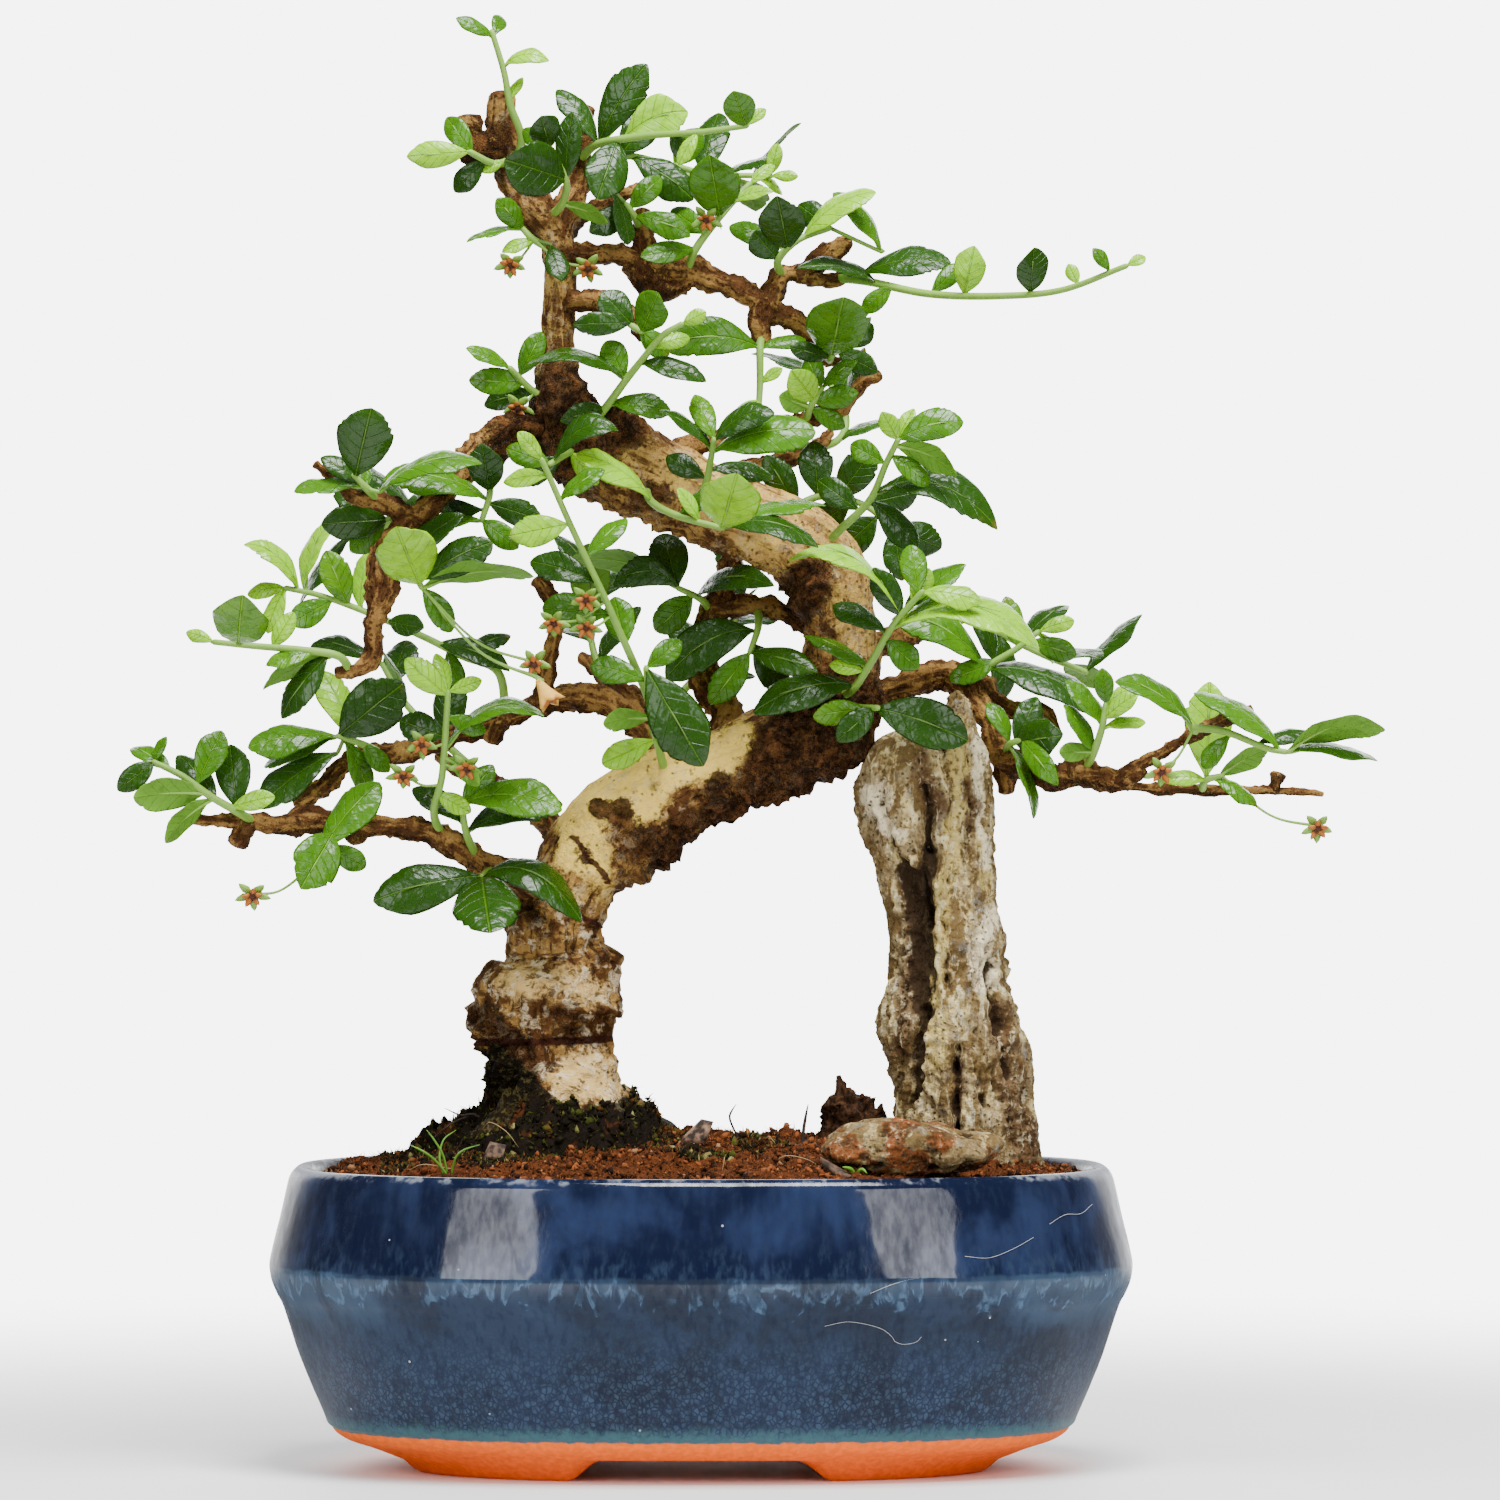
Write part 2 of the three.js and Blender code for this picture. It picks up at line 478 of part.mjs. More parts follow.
// The leafy sprays. Each has a stem that starts inside the wood, and leaves that spring from it. A leaf is
// [base x, base z, tip x, tip z, seen width, tone, way, lift]. Tone: D dark, M middle, B bright and young,
// P pale underside. Way: -1 towards the front, 1 towards the back. Lift: how far the middle arches upwards.
const sprays = {
  apex: {
    stem: [[-60, -4, 324], [-57, -10, 331], [-60, -13, 340], [-61.5, -14, 348], [-64.5, -15, 358]],
    leaves: [
      [-64.5, 357, -73.5, 361.5, 4, 'M', -1], [-62, 349, -50.5, 351.5, 4, 'B', -1, 1.5],
    ],
  },
  apexLeft: {
    stem: [[-60, -4, 326], [-64, -12, 325], [-70, -16, 328]],
    leaves: [
      [-70.5, 329, -85.5, 327, 7, 'B', -1],
    ],
  },
  apexShoulder: {
    stem: [[-51, -4, 311], [-47, -12, 315], [-46, -17, 321], [-50, -19, 329]],
    leaves: [
      [-46, 321, -61, 326, 14, 'D', -1], [-45, 322, -44.5, 338, 7, 'D', -1],
      [-52, 330, -52, 336, 8, 'D', -1], [-47, 315, -35, 311, 4, 'P', -1],
    ],
  },
  apexMiddle: {
    stem: [
      [-42.5, 3, 326], [-38, -6, 330], [-28, -12, 331.8], [-20, -17, 332.5], [-12, -21, 333],
      [-1, -25, 334.5],
    ],
    leaves: [
      [-38, 331, -26, 350, 10, 'D', -1, 1], [-39, 331, -48, 344, 6, 'D', 1],
      [-37, 331, -31, 342, 5, 'B', -1], [-32, 331, -16, 338, 11, 'B', -1, 2],
      [-1, 335, -4, 343, 8, 'M', -1], [-33, 330, -38, 317, 11, 'D', -1],
    ],
  },
  apexRight: {
    stem: [[-42.5, 2, 322], [-36, 8, 326], [-30, 11, 327], [-19, 15, 324.5], [-10, 18, 322.5], [5, 22, 322]],
    leaves: [
      [-30, 329, -14, 317, 8, 'D', -1], [-19, 325, -12, 334, 7, 'M', 1],
      [-33, 327, -24, 338, 9, 'D', 1],
    ],
  },
  apexInner: {
    stem: [[-16, 10.5, 297], [-14, 4, 303], [-9, 4.5, 310], [-3, 7, 317], [0, 8, 320]],
    leaves: [
      [-8, 312, -10, 326.5, 13, 'M', -1], [-4, 315, 5, 319, 3, 'B', -1],
      [-14, 304, -27, 302, 6, 'M', -1],
    ],
    flowers: [[-11, 311]],
  },
  apexStubTop: {
    stem: [[-27, 6, 308], [-29, 0.5, 312], [-31, -1, 315]],
    leaves: [
      [-35, 319, -30, 305, 3, 'D', -1], [-29, 312, -15, 308, 6, 'M', -1],
      [-30.4, 314, -40, 308, 7, 'D', 1],
    ],
  },
  apexBelow: {
    stem: [[-48, -4, 303], [-54, -8, 306], [-57, -8, 309]],
    leaves: [
      [-56, 309, -63, 316, 6, 'M', 1], [-58, 309, -71, 306, 2.5, 'M', -1],
    ],
    flowers: [[-60, 300], [-40.5, 299]],
  },
  upperTip: {
    stem: [[8, 16.5, 297], [7, 10, 301], [12, 9.5, 306], [20, 12, 309]],
    leaves: [
      [12, 308, 31, 318.5, 7, 'B', -1, 1.5], [10, 303, 7, 316, 12, 'D', -1],
      [6, 300, 1, 308, 8, 'D', -1], [9.5, 303.5, -5, 310.5, 6, 'M', 1], [33, 303, 21, 318, 4, 'M', -1, 1],
    ],
  },
  upperLong: {
    stem: [
      [22, 20.5, 296.5], [30, 14, 295.5], [45, 4, 292.5], [62, -8, 292], [78, -18, 293.5],
      [94, -26, 299.5],
    ],
    leaves: [
      [27, 297, 50, 301, 8, 'D', -1, 1], [32, 295.4, 12, 300, 5, 'D', 1, 1],
      [45.5, 292.5, 53, 300, 5, 'M', 1], [53.5, 293, 56, 304, 8, 'B', -1],
      [70, 293, 71, 303.5, 8, 'D', -1],
    ],
  },
  upperLow: {
    stem: [[3, 15, 282], [2.5, 10, 279], [2.5, 10, 270], [2, 9.5, 262]],
    leaves: [
      [1, 279.5, -21, 280, 9.5, 'M', -1, 2], [4, 278.5, 14, 281.5, 4, 'M', 1],
    ],
  },
  upperRound: {
    stem: [[20, 21, 276], [20, 15, 276.5], [22, 13.5, 279]],
    leaves: [
      [20, 277, 23, 290, 16, 'M', -1], [22, 278, 32, 273, 6, 'D', 1],
    ],
  },
  innerLeft: {
    stem: [[-31, -14, 288], [-30, -19, 285], [-27, -21, 283]],
    leaves: [
      [-31, 287, -44, 285, 6, 'D', -1], [-29, 284, -37, 293, 8, 'D', -1],
      [-26, 283.5, -23, 292.5, 9, 'M', -1],
    ],
  },
  innerShoot: {
    stem: [
      [-43, -3, 257], [-37, -13, 263], [-31, -18, 271], [-27, -22, 276], [-22, -26, 282],
      [-17, -28, 285],
    ],
    leaves: [
      [-26, 274, -11, 271.5, 6, 'D', -1], [-32, 271, -55, 276, 6, 'D', -1, 3],
      [-36, 265, -20, 264, 6, 'M', -1],
      [-37, 264, -47, 261, 6, 'D', 1],
    ],
  },
  trunkLeft: {
    stem: [[-47, -4, 264], [-54, -9, 268], [-60, -13, 274]],
    leaves: [
      [-60, 275, -71, 279, 4, 'M', -1], [-56, 270, -70, 271, 7, 'M', -1],
      [-54, 268, -67, 265, 6, 'D', 1],
    ],
    flowers: [[-58, 264]],
  },
  twigCut: {
    stem: [[14, 18, 260.5], [15, 13, 264], [18, 13, 269]],
    leaves: [
      [17, 265.5, 10.5, 273, 8, 'B', -1], [18, 269, 26, 276, 4, 'M', -1],
      [15, 263, 24, 259, 5, 'M', 1],
    ],
  },
  rightBuds: {
    stem: [[16, 4, 227], [23, -8, 234], [30, -14, 241], [34, -20, 250], [37, -24, 256]],
    leaves: [
      [37, 256, 53, 260.5, 8, 'M', -1, 1.5], [36, 255, 52, 247.5, 6, 'P', -1, 1],
      [32, 241, 62, 235, 8, 'D', -1, 5], [34, 250, 25, 255, 6, 'M', 1], [30, 241, 42, 229, 7, 'D', 1],
      [27, 238, 17, 246, 7, 'D', 1],
    ],
  },
  centreDark: {
    stem: [[7, 3, 232], [10, 14, 238], [18, 18, 242], [28, 18, 240], [36, 17, 234]],
    leaves: [
      [12, 240, 4, 252, 8, 'D', -1], [17, 242, 16, 256, 9, 'D', 1], [22, 242, 31, 254, 9, 'D', -1],
      [28, 240, 42, 243, 8, 'D', 1], [32, 237, 22, 228, 9, 'D', -1], [36, 234, 48, 229, 9, 'D', 1],
      [36, 234, 38, 221, 8, 'D', -1], [25, 241, 14, 233, 8, 'D', 1],
    ],
  },
  centreTop: {
    stem: [[-13, 0, 241], [-11, -14, 245], [-10, -20, 250], [-9, -25, 256]],
    leaves: [
      [-10, 256, 6, 263, 7, 'D', -1, 2], [-9, 253, 16, 259, 8, 'M', -1, 1],
      [-10, 254, -22, 264, 4, 'D', -1], [-11, 246, -21, 252, 6, 'D', 1], [-10, 249, 6, 247, 6, 'D', 1],
      [-9, 256, -14, 268, 6, 'M', 1],
    ],
  },
  centreFront: {
    stem: [[-26, -1, 247], [-25, -16, 241], [-18, -26, 237], [-7, -32, 234]],
    leaves: [
      [-6, 234, -4, 245, 15, 'B', -1], [-17, 238, 0, 245, 6, 'D', -1, 1],
      [-7, 234.5, 17, 231, 7, 'D', -1, 2], [-24, 241, -43, 253, 5, 'B', -1, 1],
      [-6, 235, 19, 240, 5, 'M', 1, 1],
    ],
  },
  centreLeft: {
    stem: [[-42, -3, 254], [-45, -14, 253], [-50, -22, 250]],
    leaves: [
      [-50, 251, -33, 258.5, 7, 'D', -1, 4], [-50, 250, -61, 254, 6, 'M', 1],
      [-47, 252, -58, 245, 6, 'D', -1], [-44, 253, -38, 245, 5, 'B', -1],
    ],
  },
  shootMiddle: {
    stem: [[20, 6, 192], [25, -8, 193], [30, -16, 200], [36, -24, 210], [43, -30, 218]],
    leaves: [
      [37, 213, 12, 229, 4, 'B', -1, 5], [37, 212, 31, 224, 7, 'D', -1],
      [40, 215, 45, 224, 6, 'B', -1], [43, 218, 58, 216, 5, 'B', -1], [35, 208, 21, 215.5, 5, 'D', 1],
      [34, 206, 42, 199, 7, 'M', -1], [36, 208, 72, 208, 8, 'B', -1, 5], [29, 200, 14, 208, 5, 'M', 1],
      [26, 195, 1, 190, 9, 'D', -1, 1],
    ],
  },
  rightCrest: {
    stem: [[56, 24.5, 195], [59, 15, 199], [67, 13, 204], [72, 12.5, 208]],
    leaves: [
      [58, 200, 37, 213, 7, 'M', -1, 2], [61, 201, 57, 214, 5, 'D', -1],
      [58, 198, 89, 188, 8, 'D', -1, 2], [67, 204, 64, 217, 6, 'M', 1],
      [70, 206, 82, 202, 6, 'M', 1],
    ],
  },
  behindTrunk: {
    stem: [[2, 16, 214], [2, 8, 209], [0, 6, 203]],
    leaves: [
      [2, 208, -21, 197.5, 11, 'D', -1, 3], [0, 203, 16, 199, 7, 'D', -1], [1, 205, 9, 193, 8, 'D', 1],
      [0, 203, -10, 190, 8, 'M', 1],
    ],
  },
  behindArch: {
    stem: [[-9, 17, 212], [-12, 12, 216], [-18, 11, 219]],
    leaves: [
      [-17, 219, -34, 220, 8, 'D', -1, 4], [-18, 219, -46, 226, 8, 'P', 1, 2],
      [-13, 217, 4, 221, 6, 'D', -1, 2], [-18, 219, -22, 233, 10, 'D', 1],
      [-14, 217, -24, 208, 8, 'M', 1],
    ],
  },
  longShoot: {
    stem: [
      [-24, 4, 182], [-25, -12, 190], [-29, -20, 200], [-33, -25, 209], [-37, -29, 218],
      [-45, -35, 235], [-52, -40, 251],
    ],
    leaves: [
      [-45, 235, -60, 232, 8, 'B', -1],
      [-38, 220.5, -55, 226, 7, 'D', 1], [-34, 212, -52, 214, 9, 'M', 1],
      [-31, 204, -34, 217, 8, 'M', 1], [-48, 242, -37, 249, 5, 'M', -1],
      [-50, 247, -62, 246, 5, 'B', 1],
    ],
    flowers: [[-41, 216], [-41, 209], [-49, 210]],
  },
  trunkFront: {
    stem: [[-20, 1, 168], [-23, -15, 180], [-25, -22, 190], [-26, -26, 199]],
    leaves: [
      [-26, 199, -12, 175, 14, 'D', -1], [-24, 186, -37, 186, 5, 'P', -1],
      [-23, 181, -37, 175, 7, 'B', 1], [-26, 196, -40, 200, 6, 'M', 1],
    ],
  },
  stoneTopLeaf: {
    stem: [[22, 8, 189], [28, -10, 189], [32, -18, 189]],
    leaves: [
      [31, 190, 54, 181, 12, 'D', -1, 1], [31, 189, 22, 181, 7, 'D', -1],
      [29, 189, 16, 187, 6, 'M', -1],
    ],
  },
  leftTop: {
    stem: [[-93, -32, 241], [-96, -36.5, 244], [-99, -38, 247]],
    leaves: [
      [-99, 246, -95, 263, 14, 'D', -1], [-97, 243.5, -114, 243, 4, 'M', -1],
      [-94, 243, -98, 252, 4, 'M', 1], [-93, 243, -68, 252, 6, 'M', -1, 2],
    ],
  },
  leftShoulder: {
    stem: [[-66, -17, 255], [-66, -23, 249], [-65, -24.5, 243], [-67, -25, 236]],
    leaves: [
      [-65, 241, -91, 248, 6, 'M', -1, 1], [-64, 243, -67, 255, 9, 'D', -1],
      [-66, 239, -78, 238, 6, 'D', 1], [-67, 235, -87, 233, 5, 'M', -1],
      [-66, 240, -52, 236, 7, 'D', 1],
    ],
  },
  leftHeart: {
    stem: [[-90, -31, 230], [-86, -34, 226], [-82, -33.5, 219]],
    leaves: [
      [-84, 219, -88, 233, 15, 'B', -1], [-82, 221, -65, 231, 8, 'D', -1],
      [-82, 218.5, -54, 222.5, 6, 'P', -1, 1], [-86, 226, -72, 238, 6, 'D', 1],
    ],
    flowers: [[-54, 199], [-52, 194]],
  },
  leftToothed: {
    stem: [[-86, -29, 234], [-88, -25, 237], [-91, -24.5, 236]],
    leaves: [
      [-90, 236, -107, 235, 9, 'D', -1], [-90, 236.5, -97, 247, 7, 'D', 1],
      [-91, 236, -100, 228, 7, 'M', 1],
    ],
  },
  leftArcher: {
    stem: [
      [-61, 18, 187], [-63, 12, 198], [-72, 12, 202], [-82, 12, 207], [-96, 14, 213], [-107, 12, 217],
      [-116, 10, 219],
    ],
    leaves: [
      [-113, 218, -125, 231, 5, 'B', -1, 2], [-111, 218, -106, 237, 4, 'B', 1],
      [-100, 215, -106, 228, 8, 'M', -1], [-97, 214, -95.5, 229, 6, 'B', 1],
      [-116, 219, -121, 208, 5, 'B', -1], [-104, 216, -115, 210, 7, 'M', -1],
      [-76, 204, -72.5, 194, 5, 'M', -1], [-78, 205, -60, 200, 6, 'D', -1],
    ],
  },
  leftReach: {
    stem: [
      [-100, -34, 198.5], [-103, -39, 202], [-112, -40, 203.5], [-124, -40, 204.5], [-134, -39, 205.5],
    ],
    leaves: [
      [-128, 205.5, -127, 216, 14, 'M', -1], [-108, 203.5, -121, 200, 5, 'M', -1],
      [-104, 202, -122, 195, 5, 'P', 1], [-105, 202, -118, 187, 8, 'D', 1],
      [-119, 204, -114, 213, 5, 'B', 1],
    ],
  },
  leftUnder: {
    stem: [[-92, 24, 177.5], [-97, 16.5, 180], [-103, 16, 182]],
    leaves: [
      [-103, 182, -87, 195, 14, 'D', -1], [-103, 182, -125.5, 180, 6, 'M', -1],
      [-98, 181, -107, 199, 8, 'B', 1], [-97, 180, -90, 173, 5, 'M', 1],
      [-103, 182, -122, 175, 6, 'M', 1], [-103, 178, -123, 164.5, 8, 'D', -1],
      [-102, 180, -95, 167, 6, 'M', 1],
    ],
  },
  leftFar: {
    stem: [
      [-124, -26.5, 160.5], [-128, -33.5, 163], [-135, -36.5, 167], [-142, -38, 172],
      [-149, -38.5, 175.5],
    ],
    leaves: [
      [-138, 170, -132, 183.5, 8, 'M', 1], [-149, 175, -158, 168.5, 6, 'D', -1],
      [-145, 173, -155, 180, 5, 'M', 1], [-136, 168, -154.5, 167, 8, 'P', -1],
      [-133, 166, -143, 178, 6, 'D', 1], [-128, 163, -130, 180, 9, 'D', 1],
      [-130, 164, -119, 167, 5, 'B', -1], [-134, 166, -147, 156, 5, 'P', -1],
    ],
  },
  leftBud: {
    stem: [[-103, -21.5, 160], [-106, -28.5, 155], [-111, -31.5, 148]],
    leaves: [
      [-104, 158, -112, 144.5, 12, 'M', -1], [-106, 154.5, -96, 149, 6, 'M', 1],
      [-107.5, 153, -93, 171, 9, 'M', 1],
    ],
    flowers: [[-124.5, 142]],
  },
  leftUpright: {
    stem: [[-77, -13.5, 157], [-79, -21, 163], [-77, -26, 172], [-76, -30, 185], [-75.5, -32, 193]],
    leaves: [
      [-76, 192, -86, 201, 7, 'B', -1], [-76, 179, -53, 189.5, 5, 'M', -1, 4],
      [-76, 181, -88, 186, 8, 'D', 1], [-77, 177, -67, 170, 5, 'P', -1],
      [-75.5, 193, -78, 203, 4, 'B', 1],
    ],
    flowers: [[-82, 180], [-86.5, 172], [-71, 174]],
  },
  leftPair: {
    stem: [[-68, -10.5, 151], [-71, -19, 158], [-72, -21, 165]],
    leaves: [
      [-72, 168, -47, 163.5, 9, 'M', -1, 2], [-71, 158, -47, 166, 7, 'D', 1, 1],
      [-72, 160, -84, 170, 6, 'D', 1],
    ],
  },
  leftLowest: {
    stem: [[-64, -8.5, 149], [-67, -18, 147]],
    leaves: [
      [-68, 147, -94, 142, 11, 'D', -1], [-66, 146, -65, 133, 17, 'D', -1],
      [-66, 147, -42, 137.5, 10, 'D', -1, 5],
    ],
  },
  rightInner: {
    stem: [[64, 7.5, 178], [65, -1, 180], [68, -4.5, 181]],
    leaves: [
      [66, 181, 77, 182, 10, 'D', -1], [64, 179, 60, 191, 5, 'M', 1], [64, 178, 71, 161.5, 5, 'M', -1],
      [68, 181, 76, 171, 6, 'M', 1], [66, 181, 72, 192, 7, 'D', 1],
    ],
  },
  rightMiddle: {
    stem: [[84, -10.5, 174], [86, -19.5, 178], [88, -22.5, 184], [89, -23, 190]],
    leaves: [
      [86, 178, 79, 190, 5, 'M', -1], [88, 186, 97, 193, 5, 'B', -1], [88, 184, 99, 186, 4, 'B', 1],
      [89, 190, 101, 196, 4, 'B', 1],
    ],
  },
  rightLeaves: {
    stem: [[112, -27.5, 183], [111, -34.5, 184], [119, -40, 183], [129, -43, 179], [134, -44.5, 178]],
    leaves: [
      [111, 184, 92.5, 197, 5, 'M', -1, 1], [133, 178, 111, 193, 7, 'M', 1, 2],
      [127, 180, 140, 183, 4, 'D', 1], [134, 178, 158, 186.5, 5, 'P', -1, 1],
      [134, 178, 157, 176, 4, 'M', 1, 1],
    ],
    flowers: [[103, 173]],
  },
  rightLowLeaves: {
    stem: [[113, -6, 168.5], [114, -12.5, 171], [118, -13, 172]],
    leaves: [
      [114, 171, 115, 195, 12, 'B', -1], [117, 172, 129, 179, 5, 'P', 1],
      [116, 171, 127, 165, 4, 'M', -1], [114, 170, 103, 172, 4, 'B', 1],
    ],
    flowers: [[142, 159]],
  },
  backLeft: { stem: [[-66, 44, 171], [-76, 54, 180], [-86, 60, 190], [-92, 64, 200]], whorl: 5 },
  backMiddle: { stem: [[-32, 46, 193], [-38, 56, 200], [-40, 62, 210], [-38, 64, 220]], whorl: 5 },
  backMiddleHigh: { stem: [[-24, 32, 186], [-16, 44, 194], [-8, 52, 204], [-2, 56, 214]], whorl: 5 },
  backRight: { stem: [[54, 52, 212], [62, 58, 208], [74, 60, 202], [84, 60, 198]], whorl: 5 },
  backUpper: { stem: [[14, 42, 253], [22, 52, 256], [24, 58, 262], [20, 62, 270]], whorl: 5 },
  backUpperLeft: { stem: [[-74, 38, 244], [-84, 48, 238], [-92, 54, 234], [-100, 58, 232]], whorl: 5 },
  backApex: { stem: [[-24, 27, 320], [-16, 34, 322], [-8, 38, 322], [0, 40, 320]], whorl: 5 },
};

const stemRadius = 1.4; // at the root of a spray's stem
const stemTipRadius = 1;
const tones = { D: '#24561f', M: '#3f7f33', B: '#8fb850', P: '#a9c98a' };

function stemOf(spray) {
  const centres = spray.stem.map(seen);
  const radii = centres.map((_, i) => stemRadius + ((stemTipRadius - stemRadius) * i) / (centres.length - 1));
  return { centres, radii };
}

// Back to the place that the front view shows.
function seenFrom(point) {
  const spread = 1 + point.y / eyeDistance;
  return [point.x / spread, eyeHeight + (point.z - eyeHeight) / spread];
}

// The point of a stem that is seen nearest to a place, on the part of it that is clear of the wood.
function nearestOnStem(stem, x, z) {
  let best = { distance: Infinity };
  for (let i = 1; i + 1 < stem.centres.length; i++) {
    for (let share = 0; share <= 1; share += 0.125) {
      const root = stem.centres[i].clone().lerp(stem.centres[i + 1], share);
      const [seenX, seenZ] = seenFrom(root);
      const distance = Math.hypot(seenX - x, seenZ - z);
      if (distance < best.distance) best = { root, distance };
    }
  }
  if (best.root) return best;
  const root = stem.centres[1];
  const [seenX, seenZ] = seenFrom(root);
  return { root, distance: Math.hypot(seenX - x, seenZ - z) };
}

// A leaf's frame: along from its base to its tip, up from its upper face, and across.
function leafFrame(root, base, tip, width, upHint, lift, seenLength) {
  const along = new THREE.Vector3().subVectors(tip, base);
  const length = along.length();
  along.normalize();
  const up = upHint.clone().addScaledVector(along, -upHint.dot(along)).normalize();
  const across = new THREE.Vector3().crossVectors(along, up);
  return { root, base, along, up, across, length, width, lift, seenLength, stalk: root.distanceTo(base) > 3 };
}

// A leaf read from the front view. Its true length and width follow from its seen ones: what is missing in
// length goes into depth, and what is missing in width into its roll about its own length.
function seenLeaf(stem, [baseX, baseZ, tipX, tipZ, seenWidth, tone, way, lift = 0], shift) {
  const { root, distance } = nearestOnStem(stem, baseX, baseZ);
  const seenLength = Math.hypot(tipX - baseX, tipZ - baseZ);
  const length = Math.max(seenLength, bladeLengthShare * seenWidth);
  const width = Math.max(seenWidth, bladeWidthShare * length);
  const depth = Math.max(Math.sqrt(length ** 2 - seenLength ** 2), 0.22 * length);
  const base = distance > 3 ? seen([baseX, root.y, baseZ]) : root;
  const tip = seen([tipX, root.y + way * depth + shift, tipZ]);
  const along = new THREE.Vector3().subVectors(tip, base).normalize();
  const facing = new THREE.Vector3(0, tone === 'P' ? 1 : -1, 0);
  facing.addScaledVector(along, -facing.dot(along)).normalize();
  const sideways = new THREE.Vector3().crossVectors(along, facing);
  const roll = Math.acos(Math.min(1, seenWidth / width)) * (sideways.z >= 0 ? 1 : -1);
  const up = facing.multiplyScalar(Math.cos(roll)).addScaledVector(sideways, Math.sin(roll));
  return leafFrame(root, base, tip, width, up, lift, seenLength);
}

// Leaves that grow round a stem by rule: each turned by the golden angle from the one before it.
const goldenAngle = 2.39996;

function whorlLeaves(stem, count) {
  return Array.from({ length: count }, (_, i) => {
    const place = 1 + ((stem.centres.length - 2.001) * i) / (count - 1);
    const index = Math.floor(place);
    const root = stem.centres[index].clone().lerp(stem.centres[index + 1], place - index);
    const along = new THREE.Vector3().subVectors(stem.centres[index + 1], stem.centres[index]).normalize();
    const side = new THREE.Vector3(along.z, 0, -along.x).normalize();
    const other = new THREE.Vector3().crossVectors(along, side);
    const turn = goldenAngle * i + draw(-0.3, 0.3);
    const length = draw(17, 23);
    const reach = side
      .multiplyScalar(Math.cos(turn))
      .addScaledVector(other, Math.sin(turn))
      .multiplyScalar(0.8)
      .addScaledVector(along, 0.5)
      .add(new THREE.Vector3(0, 0, 0.25))
      .normalize();
    const tip = root.clone().addScaledVector(reach, length);
    return { root, tip, width: length * draw(0.44, 0.54) };
  });
}

function grownLeaf({ root, tip, width }, shift) {
  const moved = tip.clone();
  moved.y = Math.min(moved.y + shift, 78);
  return leafFrame(root, root, moved, width, new THREE.Vector3(0, -0.35, 1), 0, buddingLeaf);
}

// A place on the blade: t runs from base to tip, s across from -0.5 to 0.5, h above the middle of the blade.
function bladePlace(leaf, t, s, h) {
  const hump = 4 * t * (1 - t);
  const raised = bladeArch * leaf.length * hump - bladeCurl * leaf.width * 4 * s * s + h;
  return leaf.base
    .clone()
    .addScaledVector(leaf.along, t * leaf.length)
    .addScaledVector(leaf.up, raised)
    .addScaledVector(leaf.across, s * leaf.width)
    .add(new THREE.Vector3(0, 0, leaf.lift * hump));
}

// The blade: a wedge from the middle of the stem to the widest part, then blunt teeth at the tip. Its two
// edges are joined across by pairs of triangles, alike on both faces.
const toothedEdge = [[0.5, 0.36], [0.84, 0.5], [0.89, 0.26]];
const plainEdge = [[0.5, 0.4], [0.85, 0.4]];
const buddingEdge = [[0.62, 0.5]]; // on the smallest leaves
const buddingLeaf = 12;
const stalkHalfWidth = 0.5;

function bladeSolid(leaf, grow = 0) {
  const half = bladeThickness / 2 + grow;
  const widen = grow / leaf.width;
  let edge = leaf.seenLength < plainLeaf ? plainEdge : toothedEdge;
  if (leaf.seenLength < buddingLeaf) edge = buddingEdge;
  const pairs = edge.map(([t, s]) => (
    [-s - widen, s + widen].map((side) => (h) => bladePlace(leaf, t, side, h))
  ));
  if (leaf.stalk) {
    pairs.unshift([-1, 1].map((side) => (h) => leaf.base
      .clone()
      .addScaledVector(leaf.across, side * (stalkHalfWidth + grow))
      .addScaledVector(leaf.up, h)));
  }
  const root = (h) => leaf.root.clone().addScaledVector(leaf.up, h);
  const tip = (h) => bladePlace(leaf, 1 + grow / leaf.length, 0, h);
  const makers = [root, ...pairs.flat(), tip];
  const count = makers.length;
  const last = count - 1;
  const points = [...makers.map((place) => place(half)), ...makers.map((place) => place(-half))];
  const faces = [];
  const sheet = (a, b, c) => faces.push([a, b, c], [count + a, count + c, count + b]);
  const wall = (a, b) => faces.push([a, b, count + b], [a, count + b, count + a]);
  sheet(0, 2, 1);
  wall(0, 1);
  wall(2, 0);
  for (let left = 1; left + 2 < last; left += 2) {
    sheet(left, left + 1, left + 3);
    sheet(left, left + 3, left + 2);
    wall(left, left + 2);
    wall(left + 3, left + 1);
  }
  sheet(last - 2, last - 1, last);
  wall(last - 2, last);
  wall(last, last - 1);
  return solidFromFaces(points, faces);
}

// A withered flower: a star of five points on a thin stalk.
const flowerRadius = 3.6;
const flowerHub = 1.5;
const flowerTilt = Math.PI / 2 + 0.5;
const flowerStalkRadius = 0.5;

